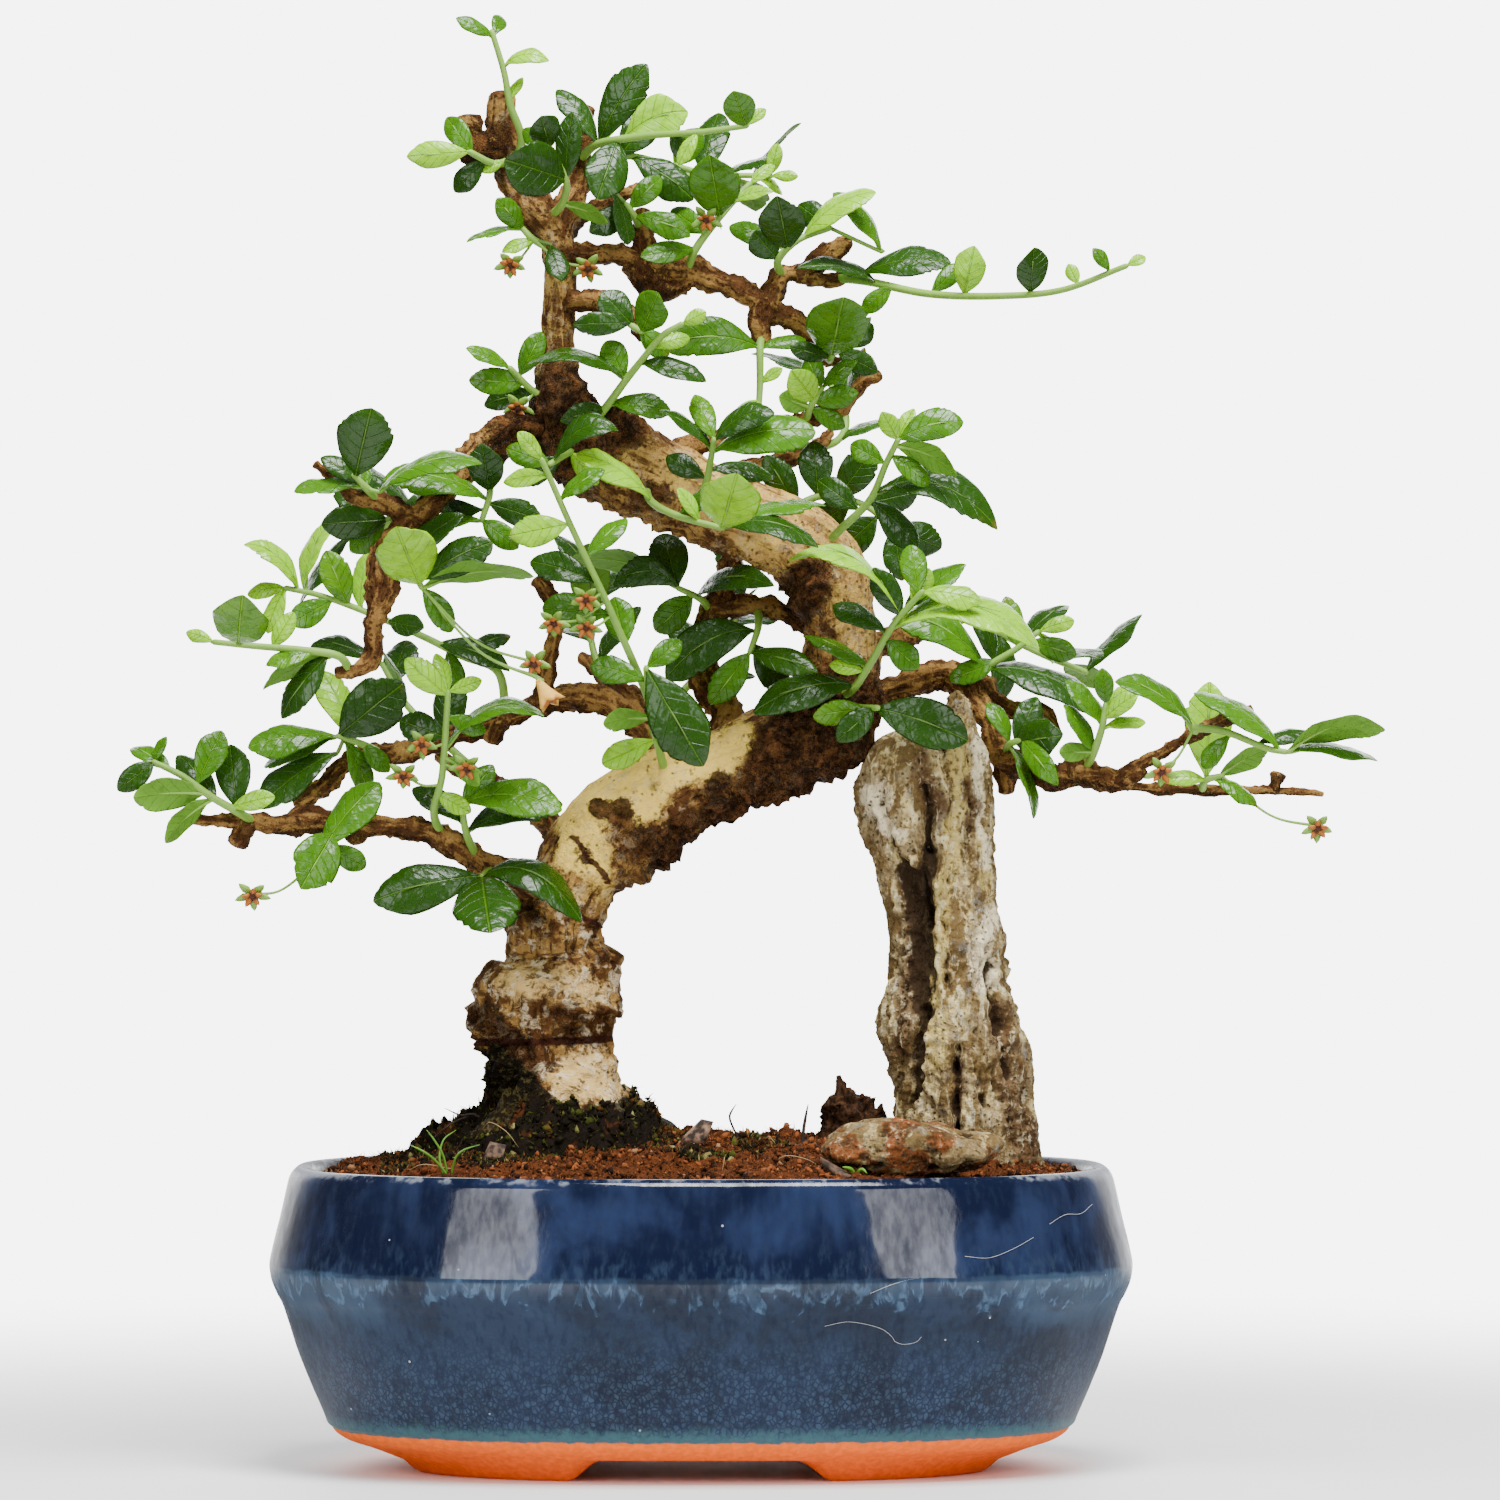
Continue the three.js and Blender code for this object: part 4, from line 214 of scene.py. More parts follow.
# The sprays: a stem as above without radii, then what grows on it, read from the front. Leaves and young
# leaves are [x and z of the base, x and z of the tip, seen width, kind, lift of the middle if any]. The kind
# is a letter for the tone (dark, middle, bright, or P for an underside that faces the eye) and a sign, + for
# a tip that is further from the eye than the base and - for a nearer one. Flowers and bells are [x, z], and a
# whorl is a number of leaves that are grown by a rule.
SPRAYS = {
    "apex": {
        "stem": [[-60, -4, 324], [-57, -10, 331], [-60, -13, 340], [-61.5, -14, 348], [-64.5, -15, 358]],
        "leaves": [[-64.5, 357, -73.5, 361.5, 4, "M-"], [-62, 349, -50.5, 351.5, 4, "B-", 1.5]],
        "young": [[-64.5, 357, -62, 362, 4, "M+"], [-60.5, 341, -57, 347, 3, "B+"]],
    },
    "apexLeft": {
        "stem": [[-60, -4, 326], [-64, -12, 325], [-70, -16, 328]],
        "leaves": [[-70.5, 329, -85.5, 327, 7, "B-"]],
        "young": [
            [-61, 326, -67, 323, 3, "B-"], [-66, 326, -74, 318, 6, "D+"], [-69, 328, -76, 337, 6, "M+"],
        ],
    },
    "apexShoulder": {
        "stem": [[-51, -4, 311], [-47, -12, 315], [-46, -17, 321], [-50, -19, 329]],
        "leaves": [
            [-46, 321, -61, 326, 14, "D-"], [-45, 322, -44.5, 338, 7, "D-"], [-52, 330, -52, 336, 8, "D-"],
            [-47, 315, -35, 311, 4, "P-"],
        ],
        "young": [[-50, 328, -57, 334, 5, "M+"]],
    },
    "apexMiddle": {
        "stem": [
            [-42.5, 3, 326], [-38, -6, 330], [-28, -12, 331.8], [-20, -17, 332.5], [-12, -21, 333],
            [-1, -25, 334.5],
        ],
        "leaves": [
            [-38, 331, -26, 350, 10, "D-", 1], [-39, 331, -48, 344, 6, "D+"], [-37, 331, -31, 342, 5, "B-"],
            [-32, 331, -16, 338, 11, "B-", 2], [-1, 335, -4, 343, 8, "M-"], [-33, 330, -38, 317, 11, "D-"],
        ],
        "young": [
            [-12.5, 332.5, -18, 325, 4, "B-"], [-20, 332, -15, 326, 5, "D+"], [-1, 334.5, 4, 339, 3, "B+"],
        ],
    },
    "apexRight": {
        "stem": [
            [-42.5, 2, 322], [-36, 8, 326], [-30, 11, 327], [-19, 15, 324.5], [-10, 18, 322.5], [5, 22, 322],
        ],
        "leaves": [
            [-30, 329, -14, 317, 8, "D-"], [-19, 325, -12, 334, 7, "M+"], [-33, 327, -24, 338, 9, "D+"],
        ],
        "young": [[5, 322, 7, 330, 4, "B-"], [1, 321.5, 9, 318, 3, "B+"], [5, 322, 12, 322, 3, "B-"]],
    },
    "apexInner": {
        "stem": [[-16, 10.5, 297], [-14, 4, 303], [-9, 4.5, 310], [-3, 7, 317], [0, 8, 320]],
        "leaves": [
            [-8, 312, -10, 326.5, 13, "M-"], [-4, 315, 5, 319, 3, "B-"], [-14, 304, -27, 302, 6, "M-"],
        ],
        "flowers": [[-11, 311]],
        "young": [[0, 320, 6, 325, 3, "B+"], [-11, 308, -20, 314, 6, "M+"]],
    },
    "apexStubTop": {
        "stem": [[-27, 6, 308], [-29, 0.5, 312], [-31, -1, 315]],
        "leaves": [
            [-35, 319, -30, 305, 3, "D-"], [-29, 312, -15, 308, 6, "M-"], [-30.4, 314, -40, 308, 7, "D+"],
        ],
        "young": [[-30, 314, -22, 322, 6, "M+"]],
    },
    "apexBelow": {
        "stem": [[-48, -4, 303], [-54, -8, 306], [-57, -8, 309]],
        "leaves": [[-56, 309, -63, 316, 6, "M+"], [-58, 309, -71, 306, 2.5, "M-"]],
        "flowers": [[-60, 300], [-40.5, 299]],
        "young": [[-53, 306, -62, 303, 4, "B-"], [-50, 305, -47, 296, 6, "D+"]],
    },
    "upperTip": {
        "stem": [[8, 16.5, 297], [7, 10, 301], [12, 9.5, 306], [20, 12, 309]],
        "leaves": [
            [12, 308, 31, 318.5, 7, "B-", 1.5], [10, 303, 7, 316, 12, "D-"], [6, 300, 1, 308, 8, "D-"],
            [9.5, 303.5, -5, 310.5, 6, "M+"], [33, 303, 21, 318, 4, "M-", 1],
        ],
        "young": [[20, 309, 12, 315, 7, "D+"]],
    },
    "upperLong": {
        "stem": [
            [22, 20.5, 296.5], [30, 14, 295.5], [45, 4, 292.5], [62, -8, 292], [78, -18, 293.5],
            [94, -26, 299.5],
        ],
        "leaves": [
            [27, 297, 50, 301, 8, "D-", 1], [32, 295.4, 12, 300, 5, "D+", 1], [45.5, 292.5, 53, 300, 5, "M+"],
            [53.5, 293, 56, 304, 8, "B-"], [70, 293, 71, 303.5, 8, "D-"],
        ],
        "young": [
            [82, 294, 79.5, 300, 3.5, "B+"], [90, 297, 86, 304, 3.5, "M-"], [93.5, 299, 99, 302, 3, "B+"],
            [36, 294, 28, 288, 5, "M+"],
        ],
    },
    "upperLow": {
        "stem": [[3, 15, 282], [2.5, 10, 279], [2.5, 10, 270], [2, 9.5, 262]],
        "leaves": [[1, 279.5, -21, 280, 9.5, "M-", 2], [4, 278.5, 14, 281.5, 4, "M+"]],
        "young": [[2.5, 270, 8, 274, 3, "B-"], [2, 262, 9, 258, 5, "M+"], [2.5, 266, -4, 261, 4, "B-"]],
    },
    "upperRound": {
        "stem": [[20, 21, 276], [20, 15, 276.5], [22, 13.5, 279]],
        "leaves": [[20, 277, 23, 290, 16, "M-"], [22, 278, 32, 273, 6, "D+"]],
        "young": [[20, 276, 11, 279, 5, "D-"], [22, 279, 31, 285, 7, "D+"]],
    },
    "innerLeft": {
        "stem": [[-31, -14, 288], [-30, -19, 285], [-27, -21, 283]],
        "leaves": [
            [-31, 287, -44, 285, 6, "D-"], [-29, 284, -37, 293, 8, "D-"], [-26, 283.5, -23, 292.5, 9, "M-"],
        ],
        "young": [[-28, 283, -20, 277, 6, "M+"]],
    },
    "innerShoot": {
        "stem": [
            [-43, -3, 257], [-37, -13, 263], [-31, -18, 271], [-27, -22, 276], [-22, -26, 282],
            [-17, -28, 285],
        ],
        "leaves": [
            [-26, 274, -11, 271.5, 6, "D-"], [-32, 271, -55, 276, 6, "D-", 3], [-36, 265, -20, 264, 6, "M-"],
            [-37, 264, -47, 261, 6, "D+"],
        ],
        "young": [
            [-17, 285, -11, 288, 4, "B-"], [-24, 279, -15, 282, 4, "B+"], [-31, 271, -36, 281, 7, "M+"],
        ],
    },
    "trunkLeft": {
        "stem": [[-47, -4, 264], [-54, -9, 268], [-60, -13, 274]],
        "leaves": [
            [-60, 275, -71, 279, 4, "M-"], [-56, 270, -70, 271, 7, "M-"], [-54, 268, -67, 265, 6, "D+"],
        ],
        "flowers": [[-58, 264]],
        "young": [[-58, 272, -52, 283, 6, "M+"]],
    },
    "twigCut": {
        "stem": [[14, 18, 260.5], [15, 13, 264], [18, 13, 269]],
        "leaves": [[17, 265.5, 10.5, 273, 8, "B-"], [18, 269, 26, 276, 4, "M-"], [15, 263, 24, 259, 5, "M+"]],
        "young": [[18, 269, 14, 277, 6, "M+"], [15, 263, 7, 267, 6, "P-"], [16, 265, 27, 268, 6, "M+"]],
    },
    "rightBuds": {
        "stem": [[16, 4, 227], [23, -8, 234], [30, -14, 241], [34, -20, 250], [37, -24, 256]],
        "leaves": [
            [37, 256, 53, 260.5, 8, "M-", 1.5], [36, 255, 52, 247.5, 6, "P-", 1],
            [32, 241, 62, 235, 8, "D-", 5], [34, 250, 25, 255, 6, "M+"], [30, 241, 42, 229, 7, "D+"],
            [27, 238, 17, 246, 7, "D+"],
        ],
        "young": [[37, 256, 33, 263, 5, "B-"], [37, 256, 41, 264, 4, "B+"], [35, 252, 45, 245, 5, "M+"]],
    },
    "centreDark": {
        "stem": [[7, 3, 232], [10, 14, 238], [18, 18, 242], [28, 18, 240], [36, 17, 234]],
        "leaves": [
            [12, 240, 4, 252, 8, "D-"], [17, 242, 16, 256, 9, "D+"], [22, 242, 31, 254, 9, "D-"],
            [28, 240, 42, 243, 8, "D+"], [32, 237, 22, 228, 9, "D-"], [36, 234, 48, 229, 9, "D+"],
            [36, 234, 38, 221, 8, "D-"], [25, 241, 14, 233, 8, "D+"],
        ],
    },
    "centreTop": {
        "stem": [[-13, 0, 241], [-11, -14, 245], [-10, -20, 250], [-9, -25, 256]],
        "leaves": [
            [-10, 256, 6, 263, 7, "D-", 2], [-9, 253, 16, 259, 8, "M-", 1], [-10, 254, -22, 264, 4, "D-"],
            [-11, 246, -21, 252, 6, "D+"], [-10, 249, 6, 247, 6, "D+"], [-9, 256, -14, 268, 6, "M+"],
        ],
    },
    "centreFront": {
        "stem": [[-26, -1, 247], [-25, -16, 241], [-18, -26, 237], [-7, -32, 234]],
        "leaves": [
            [-6, 234, -4, 245, 15, "B-"], [-17, 238, 0, 245, 6, "D-", 1], [-7, 234.5, 17, 231, 7, "D-", 2],
            [-24, 241, -43, 253, 5, "B-", 1], [-6, 235, 19, 240, 5, "M+", 1],
        ],
        "young": [[-13, 236, -18, 244, 4, "B-"]],
    },
    "centreLeft": {
        "stem": [[-42, -3, 254], [-45, -14, 253], [-50, -22, 250]],
        "leaves": [
            [-50, 251, -33, 258.5, 7, "D-", 4], [-50, 250, -61, 254, 6, "M+"], [-47, 252, -58, 245, 6, "D-"],
            [-44, 253, -38, 245, 5, "B-"],
        ],
    },
    "shootMiddle": {
        "stem": [[20, 6, 192], [25, -8, 193], [30, -16, 200], [36, -24, 210], [43, -30, 218]],
        "leaves": [
            [37, 213, 12, 229, 4, "B-", 5], [37, 212, 31, 224, 7, "D-"], [40, 215, 45, 224, 6, "B-"],
            [43, 218, 58, 216, 5, "B-"], [35, 208, 21, 215.5, 5, "D+"], [34, 206, 42, 199, 7, "M-"],
            [36, 208, 72, 208, 8, "B-", 5], [29, 200, 14, 208, 5, "M+"], [26, 195, 1, 190, 9, "D-", 1],
        ],
        "young": [[29, 198, 20, 200, 4, "B-"], [42, 217, 40, 230, 7, "M+"], [38, 212, 54, 225, 6, "M+"]],
    },
    "rightCrest": {
        "stem": [[56, 24.5, 195], [59, 15, 199], [67, 13, 204], [72, 12.5, 208]],
        "leaves": [
            [58, 200, 37, 213, 7, "M-", 2], [61, 201, 57, 214, 5, "D-"], [58, 198, 89, 188, 8, "D-", 2],
            [67, 204, 64, 217, 6, "M+"], [70, 206, 82, 202, 6, "M+"],
        ],
        "young": [[72, 208, 81, 211, 4, "B-"], [72, 208, 77, 200, 3, "B+"], [62, 201, 50, 196, 6, "M+"]],
    },
    "behindTrunk": {
        "stem": [[2, 16, 214], [2, 8, 209], [0, 6, 203]],
        "leaves": [
            [2, 208, -21, 197.5, 11, "D-", 3], [0, 203, 16, 199, 7, "D-"], [1, 205, 9, 193, 8, "D+"],
            [0, 203, -10, 190, 8, "M+"],
        ],
    },
    "behindArch": {
        "stem": [[-9, 17, 212], [-12, 12, 216], [-18, 11, 219]],
        "leaves": [
            [-17, 219, -34, 220, 8, "D-", 4], [-18, 219, -46, 226, 8, "P+", 2],
            [-13, 217, 4, 221, 6, "D-", 2], [-18, 219, -22, 233, 10, "D+"], [-14, 217, -24, 208, 8, "M+"],
        ],
    },
    "longShoot": {
        "stem": [
            [-24, 4, 182], [-25, -12, 190], [-29, -20, 200], [-33, -25, 209], [-37, -29, 218],
            [-45, -35, 235], [-52, -40, 251],
        ],
        "leaves": [
            [-45, 235, -60, 232, 8, "B-"], [-38, 220.5, -55, 226, 7, "D+"], [-34, 212, -52, 214, 9, "M+"],
            [-31, 204, -34, 217, 8, "M+"], [-48, 242, -37, 249, 5, "M-"], [-50, 247, -62, 246, 5, "B+"],
        ],
        "flowers": [[-41, 216], [-41, 209], [-49, 210]],
        "young": [[-52, 251, -58, 258, 4, "B-"], [-41, 227, -31, 237, 6, "M+"]],
    },
    "trunkFront": {
        "stem": [[-20, 1, 168], [-23, -15, 180], [-25, -22, 190], [-26, -26, 199]],
        "leaves": [
            [-26, 199, -12, 175, 14, "D-"], [-24, 186, -37, 186, 5, "P-"], [-23, 181, -37, 175, 7, "B+"],
            [-26, 196, -40, 200, 6, "M+"],
        ],
        "young": [[-26, 199, -17, 206, 6, "M+"]],
    },
    "stoneTopLeaf": {
        "stem": [[22, 8, 189], [28, -10, 189], [32, -18, 189]],
        "leaves": [[31, 190, 54, 181, 12, "D-", 1], [31, 189, 22, 181, 7, "D-"], [29, 189, 16, 187, 6, "M-"]],
    },
    "leftTop": {
        "stem": [[-93, -32, 241], [-96, -36.5, 244], [-99, -38, 247]],
        "leaves": [
            [-99, 246, -95, 263, 14, "D-"], [-97, 243.5, -114, 243, 4, "M-"], [-94, 243, -98, 252, 4, "M+"],
            [-93, 243, -68, 252, 6, "M-", 2],
        ],
        "young": [[-97, 245, -107, 252, 5, "D+"]],
    },
    "leftShoulder": {
        "stem": [[-66, -17, 255], [-66, -23, 249], [-65, -24.5, 243], [-67, -25, 236]],
        "leaves": [
            [-65, 241, -91, 248, 6, "M-", 1], [-64, 243, -67, 255, 9, "D-"], [-66, 239, -78, 238, 6, "D+"],
            [-67, 235, -87, 233, 5, "M-"], [-66, 240, -52, 236, 7, "D+"],
        ],
        "young": [[-67, 236, -58, 229, 6, "M-"]],
    },
    "leftHeart": {
        "stem": [[-90, -31, 230], [-86, -34, 226], [-82, -33.5, 219]],
        "leaves": [
            [-84, 219, -88, 233, 15, "B-"], [-82, 221, -65, 231, 8, "D-"],
            [-82, 218.5, -54, 222.5, 6, "P-", 1], [-86, 226, -72, 238, 6, "D+"],
        ],
        "flowers": [[-54, 200]],
        "bells": [[-53, 196]],
        "young": [[-82, 219, -74, 208, 6, "M+"]],
    },
    "leftToothed": {
        "stem": [[-86, -29, 234], [-88, -25, 237], [-91, -24.5, 236]],
        "leaves": [
            [-90, 236, -107, 235, 9, "D-"], [-90, 236.5, -97, 247, 7, "D+"], [-91, 236, -100, 228, 7, "M+"],
        ],
        "young": [[-88, 237, -77, 243, 6, "D+"]],
    },
    "leftArcher": {
        "stem": [
            [-61, 18, 187], [-63, 12, 198], [-72, 12, 202], [-82, 12, 207], [-96, 14, 213], [-107, 12, 217],
            [-116, 10, 219],
        ],
        "leaves": [
            [-113, 218, -125, 231, 5, "B-", 2], [-111, 218, -106, 237, 4, "B+"],
            [-100, 215, -106, 228, 8, "M-"], [-97, 214, -95.5, 229, 6, "B+"], [-116, 219, -121, 208, 5, "B-"],
            [-104, 216, -115, 210, 7, "M-"], [-76, 204, -72.5, 194, 5, "M-"], [-78, 205, -60, 200, 6, "D-"],
        ],
        "young": [
            [-90, 211, -82, 209, 6, "D-"], [-116, 219, -126, 218, 4, "B+"], [-72, 202, -60, 208, 5, "D+"],
        ],
    },
    "leftReach": {
        "stem": [
            [-100, -34, 198.5], [-103, -39, 202], [-112, -40, 203.5], [-124, -40, 204.5], [-134, -39, 205.5],
        ],
        "leaves": [
            [-128, 205.5, -127, 216, 14, "M-"], [-108, 203.5, -121, 200, 5, "M-"],
            [-104, 202, -122, 195, 5, "P+"], [-105, 202, -118, 187, 8, "D+"], [-119, 204, -114, 213, 5, "B+"],
        ],
        "young": [[-134, 205.5, -141, 208, 3, "B+"]],
    },
    "leftUnder": {
        "stem": [[-92, 24, 177.5], [-97, 16.5, 180], [-103, 16, 182]],
        "leaves": [
            [-103, 182, -87, 195, 14, "D-"], [-103, 182, -125.5, 180, 6, "M-"],
            [-98, 181, -107, 199, 8, "B+"], [-97, 180, -90, 173, 5, "M+"], [-103, 182, -122, 175, 6, "M+"],
            [-103, 178, -123, 164.5, 8, "D-"], [-102, 180, -95, 167, 6, "M+"],
        ],
    },
    "leftFar": {
        "stem": [
            [-124, -26.5, 160.5], [-128, -33.5, 163], [-135, -36.5, 167], [-142, -38, 172],
            [-149, -38.5, 175.5],
        ],
        "leaves": [
            [-138, 170, -132, 183.5, 8, "M+"], [-149, 175, -158, 168.5, 6, "D-"],
            [-145, 173, -155, 180, 5, "M+"], [-136, 168, -154.5, 167, 8, "P-"],
            [-133, 166, -143, 178, 6, "D+"], [-128, 163, -130, 180, 9, "D+"], [-130, 164, -119, 167, 5, "B-"],
            [-134, 166, -147, 156, 5, "P-"],
        ],
        "young": [[-149.5, 175.5, -146, 182, 3, "M+"]],
    },
    "leftBud": {
        "stem": [[-103, -21.5, 160], [-106, -28.5, 155], [-111, -31.5, 148]],
        "leaves": [
            [-104, 158, -112, 144.5, 12, "M-"], [-106, 154.5, -96, 149, 6, "M+"],
            [-107.5, 153, -93, 171, 9, "M+"],
        ],
        "flowers": [[-124.5, 142]],
    },
    "leftUpright": {
        "stem": [[-77, -13.5, 157], [-79, -21, 163], [-77, -26, 172], [-76, -30, 185], [-75.5, -32, 193]],
        "leaves": [
            [-76, 192, -86, 201, 7, "B-"], [-76, 179, -53, 189.5, 5, "M-", 4], [-76, 181, -88, 186, 8, "D+"],
            [-77, 177, -67, 170, 5, "P-"], [-75.5, 193, -78, 203, 4, "B+"],
        ],
        "flowers": [[-82, 180], [-86.5, 172], [-71, 174]],
        "young": [
            [-75, 193, -67, 196, 4, "B+"], [-78, 167, -70, 163, 5, "B+"], [-76, 187, -66, 183, 5, "M+"],
        ],
    },
    "leftPair": {
        "stem": [[-68, -10.5, 151], [-71, -19, 158], [-72, -21, 165]],
        "leaves": [
            [-72, 168, -47, 163.5, 9, "M-", 2], [-71, 158, -47, 166, 7, "D+", 1],
            [-72, 160, -84, 170, 6, "D+"],
        ],
        "young": [[-72, 165, -64, 175, 6, "M+"]],
    },
    "leftLowest": {
        "stem": [[-64, -8.5, 149], [-67, -18, 147]],
        "leaves": [
            [-68, 147, -94, 142, 11, "D-"], [-66, 146, -65, 133, 17, "D-"],
            [-66, 147, -42, 137.5, 10, "D-", 5],
        ],
    },
    "rightInner": {
        "stem": [[64, 7.5, 178], [65, -1, 180], [68, -4.5, 181]],
        "leaves": [
            [66, 181, 77, 182, 10, "D-"], [64, 179, 60, 191, 5, "M+"], [64, 178, 71, 161.5, 5, "M-"],
            [68, 181, 76, 171, 6, "M+"], [66, 181, 72, 192, 7, "D+"],
        ],
    },
    "rightMiddle": {
        "stem": [[84, -10.5, 174], [86, -19.5, 178], [88, -22.5, 184], [89, -23, 190]],
        "leaves": [
            [86, 178, 79, 190, 5, "M-"], [88, 186, 97, 193, 5, "B-"], [88, 184, 99, 186, 4, "B+"],
            [89, 190, 101, 196, 4, "B+"],
        ],
        "young": [[86, 178, 77, 178, 5, "P-"], [89, 190, 88, 199, 5, "M-"], [88, 185, 79, 196, 5, "M+"]],
    },
    "rightLeaves": {
        "stem": [[112, -27.5, 183], [111, -34.5, 184], [119, -40, 183], [129, -43, 179], [134, -44.5, 178]],
        "leaves": [
            [111, 184, 92.5, 197, 5, "M-", 1], [133, 178, 111, 193, 7, "M+", 2],
            [127, 180, 140, 183, 4, "D+"], [134, 178, 158, 186.5, 5, "P-", 1],
            [134, 178, 157, 176, 4, "M+", 1],
        ],
        "flowers": [[103, 173]],
        "young": [[120, 183, 113, 174, 5, "M+"]],
    },
    "rightLowLeaves": {
        "stem": [[113, -6, 168.5], [114, -12.5, 171], [118, -13, 172]],
        "leaves": [
            [114, 171, 115, 195, 12, "B-"], [117, 172, 129, 179, 5, "P+"], [116, 171, 127, 165, 4, "M-"],
            [114, 170, 103, 172, 4, "B+"],
        ],
        "flowers": [[142, 159]],
    },
    "backLeft": {"stem": [[-66, 44, 171], [-76, 54, 180], [-86, 60, 190], [-92, 64, 200]], "whorl": 5},
    "backMiddle": {"stem": [[-32, 46, 193], [-38, 56, 200], [-40, 62, 210], [-38, 64, 220]], "whorl": 5},
    "backMiddleHigh": {"stem": [[-24, 32, 186], [-16, 44, 194], [-8, 52, 204], [-2, 56, 214]], "whorl": 5},
    "backRight": {"stem": [[54, 52, 212], [62, 58, 208], [74, 60, 202], [84, 60, 198]], "whorl": 5},
    "backUpper": {"stem": [[14, 42, 253], [22, 52, 256], [24, 58, 262], [20, 62, 270]], "whorl": 5},
    "backUpperLeft": {"stem": [[-74, 38, 244], [-84, 48, 238], [-92, 54, 234], [-100, 58, 232]], "whorl": 5},
    "backApex": {"stem": [[-24, 27, 320], [-16, 34, 322], [-8, 38, 322], [0, 40, 320]], "whorl": 5},
}

# Patches of the bark as seen from the front: (x, z, radius, amount).
PALE_BARK = [
    (-41, 166, 5, 0.7), (-34, 172, 8, 1), (-24, 176, 8, 1), (-13, 177, 7, 0.9), (-2, 182, 5, 0.8),
    (-30, 165, 5, 0.6), (-58, 121, 7, 0.75), (-46, 121, 7, 0.55), (-38, 117, 5, 0.6), (-41, 99, 7, 0.9),
    (-46, 94, 5, 0.7), (-34, 95, 5, 0.8), (-45, 141, 5, 0.45), (14, 240, 8, 0.8), (22, 232, 7, 0.7),
    (-12, 246, 7, 0.6), (2, 241, 6, 0.5), (25, 208, 5, 0.5), (-49, 296, 8, 0.6), (-49, 283, 5, 0.5),
    (-49, 308, 5, 0.45), (-42, 157, 6, 0.8), (-38, 150, 5, 0.75), (-46, 151, 4, 0.6), (-44, 162, 5, 0.8),
    (-26, 164, 5, 0.7), (-36, 142, 4, 0.5), (27, 222, 6, 0.8), (28, 212, 5, 0.75), (29, 204, 4, 0.6),
    (8, 233, 6, 0.65), (-1, 239, 5, 0.6), (-9, 244, 5, 0.6), (-17, 249, 5, 0.55), (-30, 252, 7, 0.6),
    (-7, 176, 5, 0.7), (-20, 247, 6, 0.55), (-1, 231, 8, 0.55), (8, 226, 7, 0.5), (-12, 238, 6, 0.4),
    (20, 215, 5, 0.4),
]
CRUSTED_BARK = [
    (-60, 96, 7, 1), (-59, 103, 5, 0.9), (-67, 112, 4, 1), (-62, 108, 4, 0.8), (-41, 152, 3, 0.8),
    (-32.5, 163, 3, 2), (-38.2, 164, 2, 1.8), (-8, 169.5, 3, 1.6), (9, 177, 9, 1.1), (16, 180, 10, 1.2),
    (25, 188, 8, 1), (-18, 154, 4, 1.3), (-4, 160, 5, 0.7), (9, 167, 7, 1), (-46, 112, 5, 0.6),
    (-37, 127, 3, 0.7), (-54, 138, 4, 0.7), (-46, 257, 12, 1.1), (-33, 262, 8, 0.9), (-58, 256, 9, 0.9),
    (15, 221, 6, 0.9), (12, 212, 5, 0.7), (-4, 239, 5, 0.6), (-47, 270, 6, 0.8), (-66, 329, 8, 0.8),
    (-47, 301, 5, 0.6), (-43, 331, 7, 0.8), (-25, 292, 7, 0.7), (26, 196, 6, 0.6), (-23, 243, 5, 0.6),
    (-52, 312, 4, 0.5), (-26, 158, 4, 0.6), (-44, 107, 3, 0.5),
]
# Bosses and pits on the front of the trunk: (x, z, radius, height).
TRUNK_BOSSES = [
    (-18, 153, 2.6, 3.8), (-64, 119, 4.5, 2.6), (-65, 107, 3, 2.2), (-40, 164, 2.2, 1.2),
    (-32, 162, 1.8, -2.2), (-8, 170, 2.6, 2), (-53, 136, 3, 1.6), (-35, 147, 2.4, 1.6), (-34, 117, 4, 1.8),
    (18, 177, 4, 2), (27, 190, 3, 1.8), (-50, 250, 4, 1.8), (-36, 262, 3, 1.8), (12, 222, 3, -1.6),
    (-44, 128, 2.4, -1.8), (-52, 113, 2, -1.4), (-24, 170, 2, -0.8), (-50, 286, 3, 1), (-45, 276, 2, 1.3),
    (-52, 311, 2.4, 1.4), (4, 168, 3, 2), (-6, 160, 2.4, 2), (10, 172, 2, 1.4), (-28, 157, 2, 1.4),
    (-48, 103, 2, -1), (-40, 93, 2.4, 1.2), (-59, 129, 2.6, 1.4),
]
# Rusty scars across the bark in the front view: [x, z].
RUSTY_SCARS = [[(-44.5, 157), (-40, 151), (-35.5, 145.5)], [(-43, 137), (-38, 135)], [(-16, 186), (-13, 178)]]
WIRE_GROOVE_Z = 106  # where a wire has bitten into the bark, all round the trunk
WOOD_ROUGHNESS_BELOW_Z = 137  # the lower trunk is lumpier than the rest

